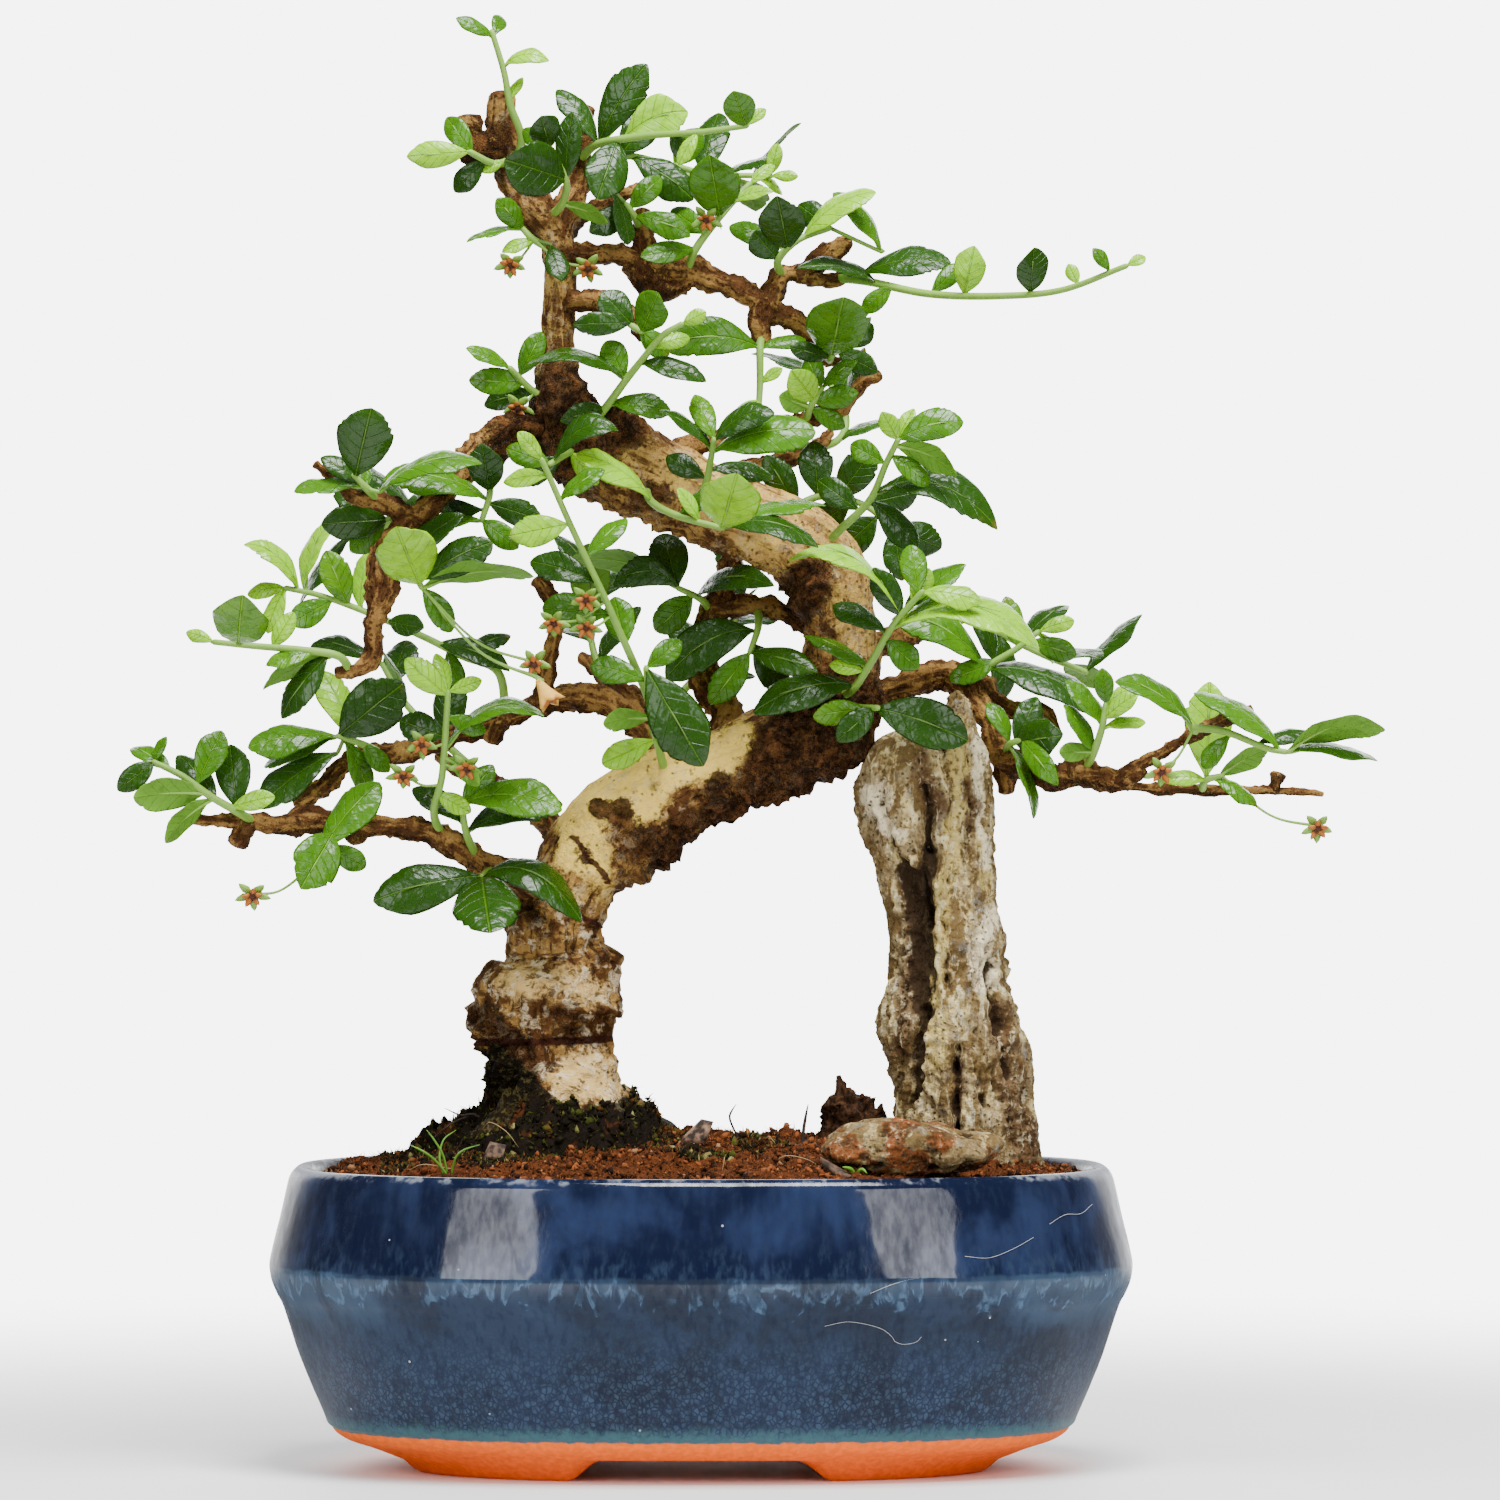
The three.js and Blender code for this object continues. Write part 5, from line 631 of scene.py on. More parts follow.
# Deep furrows in the face of the standing stone: [x, z] as seen, with a width and a depth.
STONE_FURROWS = [
    ([(45, 170), (45.5, 160), (46, 154)], 1.2, 3), ([(45.5, 154), (44, 146), (44, 136)], 2.2, 4.6),
    ([(39, 148), (41, 138), (42, 126), (43, 114)], 3.6, 4.2), ([(43, 114), (41, 104), (40, 90)], 1.4, 3.6),
    ([(52, 104), (51, 92), (51.5, 80)], 1.1, 3.2), ([(55, 190), (54, 176), (56, 160), (54, 146)], 0.8, 1.6),
    ([(32, 170), (33.5, 158), (36.5, 152)], 1.0, 2.0), ([(61, 124), (61.5, 116), (63, 108)], 1.6, 3),
    ([(36, 128), (37, 112), (35.5, 98)], 0.9, 1.8), ([(58, 126), (57, 112), (57.5, 96), (59, 84)], 0.8, 1.8),
    ([(50, 146), (49, 130), (50, 116)], 0.7, 1.2), ([(65, 104), (66, 92), (67, 80)], 0.9, 1.7),
]
# Streaks on the standing stone, with a width: yellow ones and whitish ones of its crust, and brown ones along
# the furrows, which are partly brown crust and partly painted shade.
STONE_YELLOW_AND_HIGHLIGHT = [
    # The first yellow streak runs down the central ridge: yellow crust, partly a painted highlight.
    ([(52, 186), (53, 168), (49.5, 152), (48, 136), (45.5, 118), (46.5, 100)], 3),
    ([(58, 158), (59, 146)], 2.5),
]
STONE_WHITE = [
    ([(58, 184), (57, 166), (59, 150)], 2.2), ([(61, 138), (57, 128), (59, 121)], 4),
    ([(30, 168), (36, 158)], 4),
]
STONE_BROWN_AND_SHADE = [
    ([(41, 146), (41, 126), (38, 104)], 4), ([(62, 112), (66, 92), (69, 78)], 5),
    ([(43, 176), (47, 164)], 3.5), ([(54, 170), (56, 160)], 2), ([(52, 100), (52, 80)], 2.5),
]
# The lying stone: its middle, x and z as seen, and its half sizes.
LYING_STONE = (40, -50, 78.6)
LYING_STONE_HALF = (21.5, 13, 7.6)


def colour(name, description, red, green, blue):
    """A colour that a user may change, in linear light."""
    return FloatVectorProperty(
        name=name, description=description, subtype="COLOR", size=3, min=0, max=1, default=(red, green, blue)
    )


def measure(name, description, default, least=0):
    """A length in metres that a user may change."""
    return FloatProperty(name=name, description=description, default=default, min=least, unit="LENGTH")


class PotSettings(bpy.types.PropertyGroup):
    """Colours of the pot's glaze and clay."""

    navy: colour("Navy", "Glaze where it is thickest", 0.004, 0.007, 0.024)
    cobalt: colour("Cobalt", "Clouds in the upper panel", 0.015, 0.026, 0.07)
    pale: colour("Pale blue", "Runny band under the ridge", 0.042, 0.08, 0.135)
    turquoise: colour("Turquoise", "Thin glaze where it ends above the clay", 0.05, 0.14, 0.16)
    lower: colour("Lower panel", "Mottled glaze of the lower panel", 0.0125, 0.0215, 0.044)
    worn: colour("Worn rim", "Glaze that is worn thin on the lip", 0.2, 0.22, 0.26)
    clay: colour("Clay", "Bare clay of the feet", 0.97, 0.165, 0.014)


class SoilSettings(bpy.types.PropertyGroup):
    """What lies in the pot."""

    grains: IntProperty(name="Grains", description="Loose grains on the soil", default=9000, min=0)
    fibres: IntProperty(name="Fibres", description="Short fibres in the soil", default=14000, min=0)
    largest: measure("Largest grain", "Radius of the largest grain", 0.0011, 0.0005)
    tufts: IntProperty(name="Moss tufts", description="Tufts in the moss at the trunk", default=5200, min=0)
    earth: colour("Earth", "Red-brown clay granules", 0.105, 0.031, 0.009)
    # Partly peat and partly painted shade in the gaps between the granules.
    peat_and_shade: colour("Peat", "Dark soil between the granules", 0.016, 0.007, 0.0035)
    moss: colour("Moss", "Living moss", 0.06, 0.075, 0.008)


class WoodSettings(bpy.types.PropertyGroup):
    """Bark of the trunk and the branches."""

    relief: measure("Bark relief", "Height of the bark's lumps", 0.0012)
    tan: colour("Tan bark", "Most of the trunk", 0.36, 0.2, 0.055)
    pale: colour("Pale bark", "Smooth bark where the old has flaked off", 0.95, 0.66, 0.14)
    brown: colour("Brown bark", "Furrows and young branches", 0.1, 0.04, 0.012)
    # Also painted shade in the deepest relief and, through the crust, under the wood.
    dark: colour("Dark bark", "Old bark at the forks", 0.024, 0.009, 0.003)


class StoneSettings(bpy.types.PropertyGroup):
    """The two stones."""

    grey: colour("Grey", "Most of the standing stone", 0.36, 0.275, 0.14)
    cream: colour("Cream", "Weathered crust", 0.86, 0.68, 0.3)
    ochre: colour("Ochre", "Iron in the streaks", 0.17, 0.108, 0.038)
    # Painted shade: this near-black brown goes where the stones' carving is deepest, and a lighter copy into
    # thin cracks.
    furrow_shade: colour("Furrow", "Dirt in the furrows", 0.03, 0.016, 0.007)


class LeafSettings(bpy.types.PropertyGroup):
    """Leaves, shoots and withered flowers."""

    thickness: measure("Thickness", "Thickness of a blade", 0.0005, 0.0002)
    dark: colour("Old leaf", "Upper face of an old leaf", 0.015, 0.058, 0.001)
    middle: colour("Leaf", "Upper face of a grown leaf", 0.056, 0.18, 0.002)
    bright: colour("Young leaf", "Upper face of a young leaf", 0.26, 0.56, 0.01)
    under: colour("Underside", "Lower face of a leaf", 0.14, 0.32, 0.03)
    shoot: colour("Shoot", "Green stems", 0.22, 0.42, 0.05)
    withered: colour("Withered flower", "Dry points of a flower", 0.45, 0.14, 0.018)


class StageSettings(bpy.types.PropertyGroup):
    """Camera, floor and lights."""

    lens: FloatProperty(name="Lens", description="Focal length on a 36 mm sensor", default=211.2, min=1)
    floor: colour("Floor", "Colour of the floor", 0.94, 0.94, 0.94)
    sky: FloatProperty(name="Sky", description="Strength of the light all round", default=0.2, min=0)
    backdrop: FloatProperty(name="Backdrop", description="Strength of the light behind", default=6.5, min=0)


SETTINGS = {
    "bonsai_pot": PotSettings,
    "bonsai_soil": SoilSettings,
    "bonsai_wood": WoodSettings,
    "bonsai_stone": StoneSettings,
    "bonsai_leaf": LeafSettings,
    "bonsai_stage": StageSettings,
}


def times(colour, share):
    """A colour made darker or lighter by a share."""
    return [part * share for part in colour]


def turns(count):
    """That many angles once round a circle."""
    return np.arange(count) * 2 * math.pi / count


def unit(vectors):
    """Vectors divided by their own length."""
    return vectors / np.maximum(np.linalg.norm(vectors, axis=-1, keepdims=True), 1e-9)


def smoothstep(low, high, value):
    """0 below low, 1 above high and 3t^2 - 2t^3 between them, t being the share of the way."""
    t = np.clip((value - low) / (high - low), 0, 1)
    return t * t * (3 - 2 * t)


def seen(places):
    """True places of points read as [x, y, z] from the front: x and z spread by 1 + y / eye distance."""
    places = np.array(places, float)
    spread = 1 + places[..., 1:2] / EYE_DISTANCE
    true = places.copy()
    true[..., 0:1] = places[..., 0:1] * spread
    true[..., 2:3] = EYE_HEIGHT + (places[..., 2:3] - EYE_HEIGHT) * spread
    return true


def front_view(places):
    """The x and z that the eye sees true places at."""
    spread = 1 + places[..., 1] / EYE_DISTANCE
    return np.stack([places[..., 0] / spread, EYE_HEIGHT + (places[..., 2] - EYE_HEIGHT) / spread], -1)


def lattice(cells, seed):
    """Numbers from 0 to 1 at whole-numbered places, by an integer hash of the three coordinates."""
    factors = (374761393, 668265263, 1440662683)
    mixed = sum(cells[..., axis] * factor for axis, factor in enumerate(factors)) + seed * 974634777
    mixed = mixed & 0xFFFFFFFF
    mixed = ((mixed ^ (mixed >> 13)) * 1274126177) & 0xFFFFFFFF
    return ((mixed ^ (mixed >> 16)) & 0xFFFFFF) / 0xFFFFFF


def noise(places, size, seed=0):
    """Value noise from -1 to 1: the eight lattice numbers round a place, blended by 3t^2 - 2t^3 per axis."""
    scaled = places / size
    cell = np.floor(scaled).astype(np.int64)
    part = scaled - cell
    part = part * part * (3 - 2 * part)
    total = 0
    for corner in np.ndindex(2, 2, 2):
        weight = np.where(np.array(corner) == 1, part, 1 - part).prod(-1)
        total = total + weight * lattice(cell + np.array(corner), seed)
    return 2 * total - 1


def rough(places, size, octaves, seed=0):
    """Noise at size, half of it at half the size and so on, added up."""
    return sum(noise(places, size / 2**k, seed + k) / 2**k for k in range(octaves))


def ridged(places, size, octaves, seed=0):
    """Crests of 1 - 2 |noise| at size, half of them at half the size and so on, added up."""
    return sum((1 - 2 * np.abs(noise(places, size / 2**k, seed + k))) / 2**k for k in range(octaves))


def blobs(places, spots):
    """Sum of amount * exp(-(distance / radius)^2) over spots (x, z, radius, amount) in the front view."""
    flat = front_view(places)
    total = np.zeros(flat.shape[:-1])
    for x, z, radius, amount in spots:
        distance = np.hypot(flat[..., 0] - x, flat[..., 1] - z)
        total += amount * np.exp(-((distance / radius) ** 2))
    return total


def placed(name, data):
    """A new object in the scene."""
    made = bpy.data.objects.new(name, data)
    bpy.context.scene.collection.objects.link(made)
    return made


class Shape:
    """Points, faces and numbers per point that are gathered for one piece."""

    def __init__(self):
        self.places = []
        self.faces = []
        self.slots = []
        self.values = {}
        self.count = 0

    def add(self, places, faces, slot=0, **values):
        """Adds points and their faces, which count from the first of these; a single number goes to all."""
        places = places.reshape(-1, 3)
        self.places.append(places)
        slots = slot if isinstance(slot, list) else [slot] * len(faces)
        for part, number in zip(faces, slots):
            self.faces.extend((part + self.count).tolist())
            self.slots.append(np.broadcast_to(number, len(part)))
        for name, value in values.items():
            value = np.asarray(value, float)
            self.values.setdefault(name, []).append(value if value.ndim else np.full(len(places), value))
        self.count += len(places)

    def add_rings(self, rings, slot=0, **values):
        """Adds rings of points as a closed skin."""
        self.add(closed(rings), closed_faces(*rings.shape[:2]), slot, **values)

    def build(self, name, materials, slot, *nodes):
        """Makes the mesh object, gives it its finishes and ties it to the frame."""
        mesh = bpy.data.meshes.new(name)
        mesh.from_pydata((np.concatenate(self.places) * MM).tolist(), [], self.faces)
        mesh.polygons.foreach_set("material_index", np.concatenate(self.slots).astype(np.int32))
        for key, parts in self.values.items():
            numbers = np.concatenate(parts).astype(np.float32)
            kind, field = ("FLOAT", "value") if numbers.ndim == 1 else ("FLOAT_VECTOR", "vector")
            mesh.attributes.new(key, kind, "POINT").data.foreach_set(field, numbers.ravel())
        mesh.shade_smooth()
        mesh.update()
        piece = placed(name, mesh)
        for material in materials:
            mesh.materials.append(material)
        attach(piece, BODY)
        if nodes:
            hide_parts(*nodes)
        return piece


def closed_faces(rows, columns):
    """Quads of rings of points and two fans that close them to a first and a last pole, which follow them."""
    ring = np.arange(columns)
    after = (ring + 1) % columns
    row = np.arange(rows - 1)[:, None] * columns
    quads = np.stack([row + ring, row + after, row + columns + after, row + columns + ring], -1)
    end = (rows - 1) * columns
    start_fan = np.stack([np.full(columns, rows * columns), after, ring], -1)
    end_fan = np.stack([np.full(columns, rows * columns + 1), end + ring, end + after], -1)
    return [quads.reshape(-1, 4), start_fan, end_fan]


def closed(rings):
    """The points of rings with the middle of the first and of the last ring as poles."""
    poles = np.stack([rings[0].mean(0), rings[-1].mean(0)])
    return np.concatenate([rings.reshape(-1, 3), poles])


def with_poles(grid):
    """Numbers of a grid of ring points, then the mean of the first and of the last ring for the poles."""
    return np.r_[grid.ravel(), grid[0].mean(), grid[-1].mean()]


def smooth_path(points, spacing):
    """A Catmull-Rom curve through rows of numbers, cut every spacing or so along its first three."""
    points = np.array(points, float)
    ends = np.vstack([2 * points[0] - points[1], points, 2 * points[-1] - points[-2]])
    rows = []
    for a, b, c, d in zip(ends, ends[1:], ends[2:], ends[3:]):
        count = max(2, math.ceil(np.linalg.norm((c - b)[:3]) / spacing))
        t = (np.arange(count) / count)[:, None]
        curve = 2 * b + (c - a) * t + (2 * a - 5 * b + 4 * c - d) * t**2 + (3 * b - a - 3 * c + d) * t**3
        rows.append(0.5 * curve)
    rows.append(points[-1:])
    return np.vstack(rows)


def across_path(centres):
    """Two unit vectors across a path at each point, turned as little as can be from the ones before."""
    along = unit(np.gradient(centres, axis=0))
    side = np.empty_like(along)
    last = np.array([0.0, -1.0, 0.0])
    for i, direction in enumerate(along):
        last = unit(last - direction * (last @ direction))
        side[i] = last
    return side, np.cross(along, side)


def steps_along(centres):
    """How far along a path each of its points lies."""
    return np.r_[0, np.cumsum(np.linalg.norm(np.diff(centres, axis=0), axis=1))]


def rounded_end(path):
    """A path [x, y, z, radius] with three more points past each end, by sin a away and by cos a thick."""

    def cap(end, inner):
        away = unit(end[:3] - inner[:3]) * end[3] * 0.6
        return [[*(end[:3] + away * math.sin(a)), end[3] * math.cos(a)] for a in (0.5, 1.0, 1.4)]

    return np.vstack([cap(path[0], path[1])[::-1], path, cap(path[-1], path[-2])])


def tube(path, sides, relief=None):
    """Rings carried along a path [x, y, z, radius]: centre + radius * (cos a * side + sin a * other).

    relief gives a height to add to the radius, from the ring points, the outward directions and three numbers
    that run round and along the tube without a seam. The heights and these numbers are then returned too.
    """
    centres = path[:, :3]
    radii = path[:, 3]
    side, other = across_path(centres)
    angle = turns(sides)
    out = side[:, None] * np.cos(angle)[:, None] + other[:, None] * np.sin(angle)[:, None]
    rings = centres[:, None] + out * radii[:, None, None]
    if relief is None:
        return rings
    steps = np.broadcast_to(steps_along(centres)[:, None], rings.shape[:2])
    round_along = np.stack([np.cos(angle) * radii[:, None], np.sin(angle) * radii[:, None], steps], -1)
    height = relief(rings, out, round_along)
    return rings + out * height[..., None], height, round_along


class Value:
    """A shader socket that takes part in Python expressions; each operator adds one Math node."""

    def __init__(self, finish, socket):
        self.finish = finish
        self.socket = socket

    def math(self, operation, *others, swap=False):
        operands = (*others, self) if swap else (self, *others)
        return self.finish.node("ShaderNodeMath", {"operation": operation}, dict(enumerate(operands)))

    def __add__(self, other):
        return self.math("ADD", other)

    def __sub__(self, other):
        return self.math("SUBTRACT", other)

    def __rsub__(self, other):
        return self.math("SUBTRACT", other, swap=True)

    def __mul__(self, other):
        return self.math("MULTIPLY", other)

    __radd__ = __add__
    __rmul__ = __mul__

    def step(self, low, high):
        """0 below low, 1 above high, smooth between them; the other way round where low is above high."""
        sockets = {0: self, 1: min(low, high), 2: max(low, high), 3: float(low > high), 4: float(low < high)}
        return self.finish.node("ShaderNodeMapRange", {"interpolation_type": "SMOOTHSTEP"}, sockets)


class Finish:
    """A material and the nodes that colour it; lengths are millimetres."""

    def __init__(self, name, roughness=0.5, constants=None):
        self.material = bpy.data.materials.new(name)
        self.material.use_nodes = True
        self.tree = self.material.node_tree
        self.shader = self.tree.nodes["Principled BSDF"]
        self.shader.inputs["Roughness"].default_value = roughness
        for key, value in (constants or {}).items():
            self.shader.inputs[key].default_value = value
        self.place = self.node("ShaderNodeTexCoord", output="Object")

    def node(self, kind, settings=None, sockets=None, output=0):
        """Adds a node of a kind, its settings first, then the value or link of each socket."""
        node = self.tree.nodes.new(kind)
        for key, value in (settings or {}).items():
            setattr(node, key, value)
        for key, value in (sockets or {}).items():
            if isinstance(value, Value):
                self.tree.links.new(value.socket, node.inputs[key])
            else:
                node.inputs[key].default_value = value
        return Value(self, node.outputs[output])

    def vector(self, operation, sockets):
        """A Vector Math node."""
        return self.node("ShaderNodeVectorMath", {"operation": operation}, sockets)

    def axis(self, letter):
        """One coordinate of the place on the object, in millimetres."""
        return self.node("ShaderNodeSeparateXYZ", sockets={0: self.place}, output=letter) * 1000

    def stretched(self, x, y, z, place=None):
        """A place with each axis multiplied."""
        return self.vector("MULTIPLY", {0: place or self.place, 1: (x, y, z)})

    def noise(self, size, detail=3, place=None, distortion=0, output=0):
        """Clouds of a size, finer ones added with each step of detail."""
        sockets = {"Vector": place or self.place, "Scale": 1000 / size, "Detail": detail}
        return self.node("ShaderNodeTexNoise", sockets={**sockets, "Distortion": distortion}, output=output)

    def cells(self, size, feature="F1", place=None, output="Distance"):
        """Distance to the nearest of scattered points, or to the border between two."""
        sockets = {"Vector": place or self.place, "Scale": 1000 / size}
        return self.node("ShaderNodeTexVoronoi", {"feature": feature}, sockets, output)

    def bent(self, size, reach):
        """A place that is moved by up to half reach each way, differently from place to place."""
        centred = self.vector("SUBTRACT", {0: self.noise(size, 2, output=1), 1: (0.5, 0.5, 0.5)})
        return self.vector("ADD", {0: self.place, 1: self.vector("SCALE", {0: centred, "Scale": reach * MM})})

    def number(self, name, output="Fac"):
        """A number, or with output Vector three, that the mesh holds at each point."""
        return self.node("ShaderNodeAttribute", {"attribute_name": name}, output=output)

    def mix(self, factor, first, second):
        """first where factor is 0, second where it is 1."""
        pair = [c if isinstance(c, Value) else (*c, 1) for c in (first, second)]
        return self.node("ShaderNodeMix", {"data_type": "RGBA"}, {0: factor, 6: pair[0], 7: pair[1]}, 2)

    def layers(self, colour, *layers):
        """A colour with others laid over it in turn, each given as its factor and itself."""
        for factor, over in layers:
            colour = self.mix(factor, colour, over)
        return colour

    def set(self, colour, roughness=None, height=None, depth=0.2, coat=None, fade=None):
        """Feeds the shader; height is a bump whose full range stands depth millimetres high."""
        links = {"Base Color": colour, "Roughness": roughness, "Coat Weight": coat, "Alpha": fade}
        if height is not None:
            links["Normal"] = self.node("ShaderNodeBump", sockets={"Distance": depth * MM, "Height": height})
        for key, value in links.items():
            if value is not None:
                self.tree.links.new(value.socket, self.shader.inputs[key])
        return self.material


def superellipse(angle, half_width, half_depth):
    """x = a * sign(cos) |cos|^(2/n) and y = b * sign(sin) |sin|^(2/n), n being the pot's roundness."""
    c = np.cos(angle)
    s = np.sin(angle)
    power = 2 / POT_ROUNDNESS
    x = POT_CENTRE_X + half_width * np.sign(c) * np.abs(c) ** power
    return x, half_depth * np.sign(s) * np.abs(s) ** power


# Levels of the pot: [z, half width, half depth], from the foot up the outside and down to the floor inside.
POT_FOOT = [
    (5.7, 67.8, 50), (4, 66, 48.4), (0.6, 62.4, 44.8), (0, 63.2, 45.6), (0, 72.8, 55), (0.7, 73.9, 56.2),
]
POT_FLANK = [
    (3, 76.4, 58.6), (5.7, 83.4, 61.4), (7.4, 88.6, 64.4), (9.2, 91.4, 66.6), (10.3, 92.1, 67.2),
    (11.3, 93.3, 68.3), (13, 94, 69), (20, 97.1, 72), (28, 100.3, 75.2), (36, 102.9, 77.6), (41, 104.6, 79),
    (43.4, 105.9, 80.2), (46.5, 107.2, 81.4), (49.5, 107.75, 82), (51.4, 107.7, 81.9), (54, 107.2, 81.4),
    (58, 106.3, 80.6), (62, 105.3, 79.7), (66, 104.4, 78.9), (70, 103.5, 78.1), (72.4, 102.8, 77.5),
    (73.9, 101.8, 76.6), (74.8, 100.4, 75.2), (74.3, 98.9, 73.8), (72.6, 98, 72.8),
]
POT_INSIDE = [(66, 97.3, 72.1), (42, 99, 73.6), (22, 92.4, 67.4), (14, 88.4, 63.4), (12, 84, 59)]
# Pale hairs that stick to the front of the glaze: [x, z].
GLAZE_HAIRS = [
    [(52, 56), (58, 55.5), (64, 57.5), (69, 60)], [(29, 47.5), (34, 49.5), (39, 50.8), (43, 51)],
    [(18, 39.5), (24, 40.5), (31, 39), (34, 37), (35, 35.5)],
    [(35, 35.5), (37, 34.8), (40, 35.2), (41.5, 36.5)], [(73, 63), (77, 65), (81, 65), (84, 67)],
]
FRONT_ARCH = (32.5, 24)  # half widths of the arch between the front feet, below and above
SIDE_ARCH = (22.5, 16)
POT_SIDES = 256
UNDER_POT = (FOOT_HEIGHT, 30, 22)  # the innermost level of the underside
BORE_SIDES = 40
BORE_FROM_TO = (-2, 13)  # z of the ends of the cutter that opens a drain hole
HAIR_RADIUS = 0.05


def foot_lift(x, y):
    """How high the foot is cut away: a smooth step of the distance from the middle of each side's arch."""
    front = 1 - smoothstep(FRONT_ARCH[1], FRONT_ARCH[0], np.abs(x - POT_CENTRE_X))
    side = 1 - smoothstep(SIDE_ARCH[1], SIDE_ARCH[0], np.abs(y))
    return (FOOT_HEIGHT - 0.4) * np.maximum(front, side)


def bore(x, radius):
    """A round cutter through the pot's floor."""
    ring = np.stack([x + radius * np.cos(turns(BORE_SIDES)), radius * np.sin(turns(BORE_SIDES))], -1)
    rings = np.stack([np.c_[ring, np.full(BORE_SIDES, z)] for z in BORE_FROM_TO])
    faces = [face for part in closed_faces(2, BORE_SIDES) for face in part.tolist()]
    mesh = bpy.data.meshes.new("bore")
    mesh.from_pydata((closed(rings) * MM).tolist(), [], faces)
    return placed("bore", mesh)


def glaze_finish(settings):
    """Runny cobalt glaze: clouds above the ridge, flame-like runs under it, a fine net below, bare feet."""
    glaze = Finish("cobalt_glaze", 0.1, {"Coat Roughness": 0.06, "Coat IOR": 1.5, "Specular IOR Level": 0.1})
    z = glaze.axis("Z")
    above_ridge = z - RIDGE_Z
    across = (glaze.axis("X") - POT_CENTRE_X).math("ABSOLUTE")
    clouds = glaze.noise(22, 4, distortion=0.6)
    streaks = glaze.noise(5, 5, glaze.stretched(1, 1, 0.25))
    hatch = glaze.noise(1.5, 4, glaze.stretched(1, 1, 0.35))
    flames = glaze.noise(6.5, 5, glaze.stretched(1, 1, 0.5), 1.3)
    mottle = glaze.noise(2.2, 6)
    clay_noise = glaze.noise(1.6, 5)
    net = glaze.cells(1.3, "DISTANCE_TO_EDGE", glaze.stretched(1, 1, 0.75, glaze.bent(1.6, 0.9)))
    ends = (across + clouds * 60).step(100, 140)
    band = (above_ridge + streaks * 4).step(-15, -8) * (ends * 0.6 + clouds).step(0.55, 0.95)
    upper = glaze.layers(
        settings.navy,
        ((clouds + streaks * 0.5).step(0.66, 1.0), settings.cobalt),
        (hatch.step(0.5, 0.72) * 0.35, settings.lower),
        ((above_ridge + streaks * 10).step(14, 1) * hatch.step(0.4, 0.7) * 0.3, settings.pale),
    )
    netted = (z + mottle * 10).step(46, 24)
    lower = glaze.layers(
        [v * 0.7 + 0.004 for v in settings.lower],
        ((clouds + mottle * 0.3).step(0.5, 0.75), times(settings.lower, 1.35)),
        (hatch.step(0.52, 0.3) * 0.4, settings.navy),
        (netted * net.step(0.03, 0.2) * (mottle + hatch).step(0.8, 1.25) * 0.55, settings.pale),
        (netted * net.step(0.14, 0.03) * 0.45, settings.navy),
        (band * 0.45, settings.pale),
        ((z + mottle * 6).step(18, 13.5) * 0.7, settings.turquoise),
    )
    lick = flames + (above_ridge + 6.5) * 0.03
    near_ridge = above_ridge.step(-15, -11) * (above_ridge + streaks * 4).step(1.5, -1)
    near_ridge = near_ridge * (clouds + streaks * 0.3).step(0.46, 0.66)
    edge = lick.step(0.52, 0.58) * lick.step(0.68, 0.6) * near_ridge
    rim = (z + mottle * 2.4).step(74.2, 75.6)
    rim_wear = rim * (streaks + mottle * 0.7 + ends * 0.5).step(0.86, 1.08) * 0.75
    specks = glaze.cells(5).step(0.07, 0.045) * glaze.noise(9).step(0.57, 0.62)
    bare = (z + mottle * 1.4).step(GLAZE_END_Z + 1.0, GLAZE_END_Z + 0.5)
    clay = glaze.layers(
        times(settings.clay, 0.82),
        (clay_noise.step(0.35, 0.7), settings.clay),
        (glaze.noise(14, 4).step(0.5, 0.75) * 0.25, (0.5, 0.12, 0.03)),
    )
    colour_at = glaze.layers(
        lower,
        ((above_ridge + streaks * 2).step(-0.4, 0.4), upper),
        (lick.step(0.5, 0.62) * near_ridge * 0.45, settings.pale),
        (edge * hatch.step(0.4, 0.6) * 0.6, times(settings.pale, 1.8)),
        (rim_wear, settings.worn),
        (specks, (0.4, 0.42, 0.42)),
        (bare, clay),
    )
    satin = above_ridge.step(0, -8)
    roughness = satin * 0.22 + bare * 0.45 + rim_wear * 0.3 + across.step(84, 104) * 0.4 + 0.1
    cloudy = (clouds.step(0.35, 0.6) + streaks.step(0.35, 0.65) + hatch.step(0.35, 0.65)) * 0.3 + 0.12
    cloudy = cloudy * (1 - across.step(80, 105) * 0.8)
    coat = (1 - satin * 0.93) * (1 - bare) * (1 - rim * 0.85) * cloudy
    height = mottle * 0.25 + clay_noise * bare + streaks * 0.3
    return glaze.set(colour_at, roughness, height, depth=0.25, coat=coat)


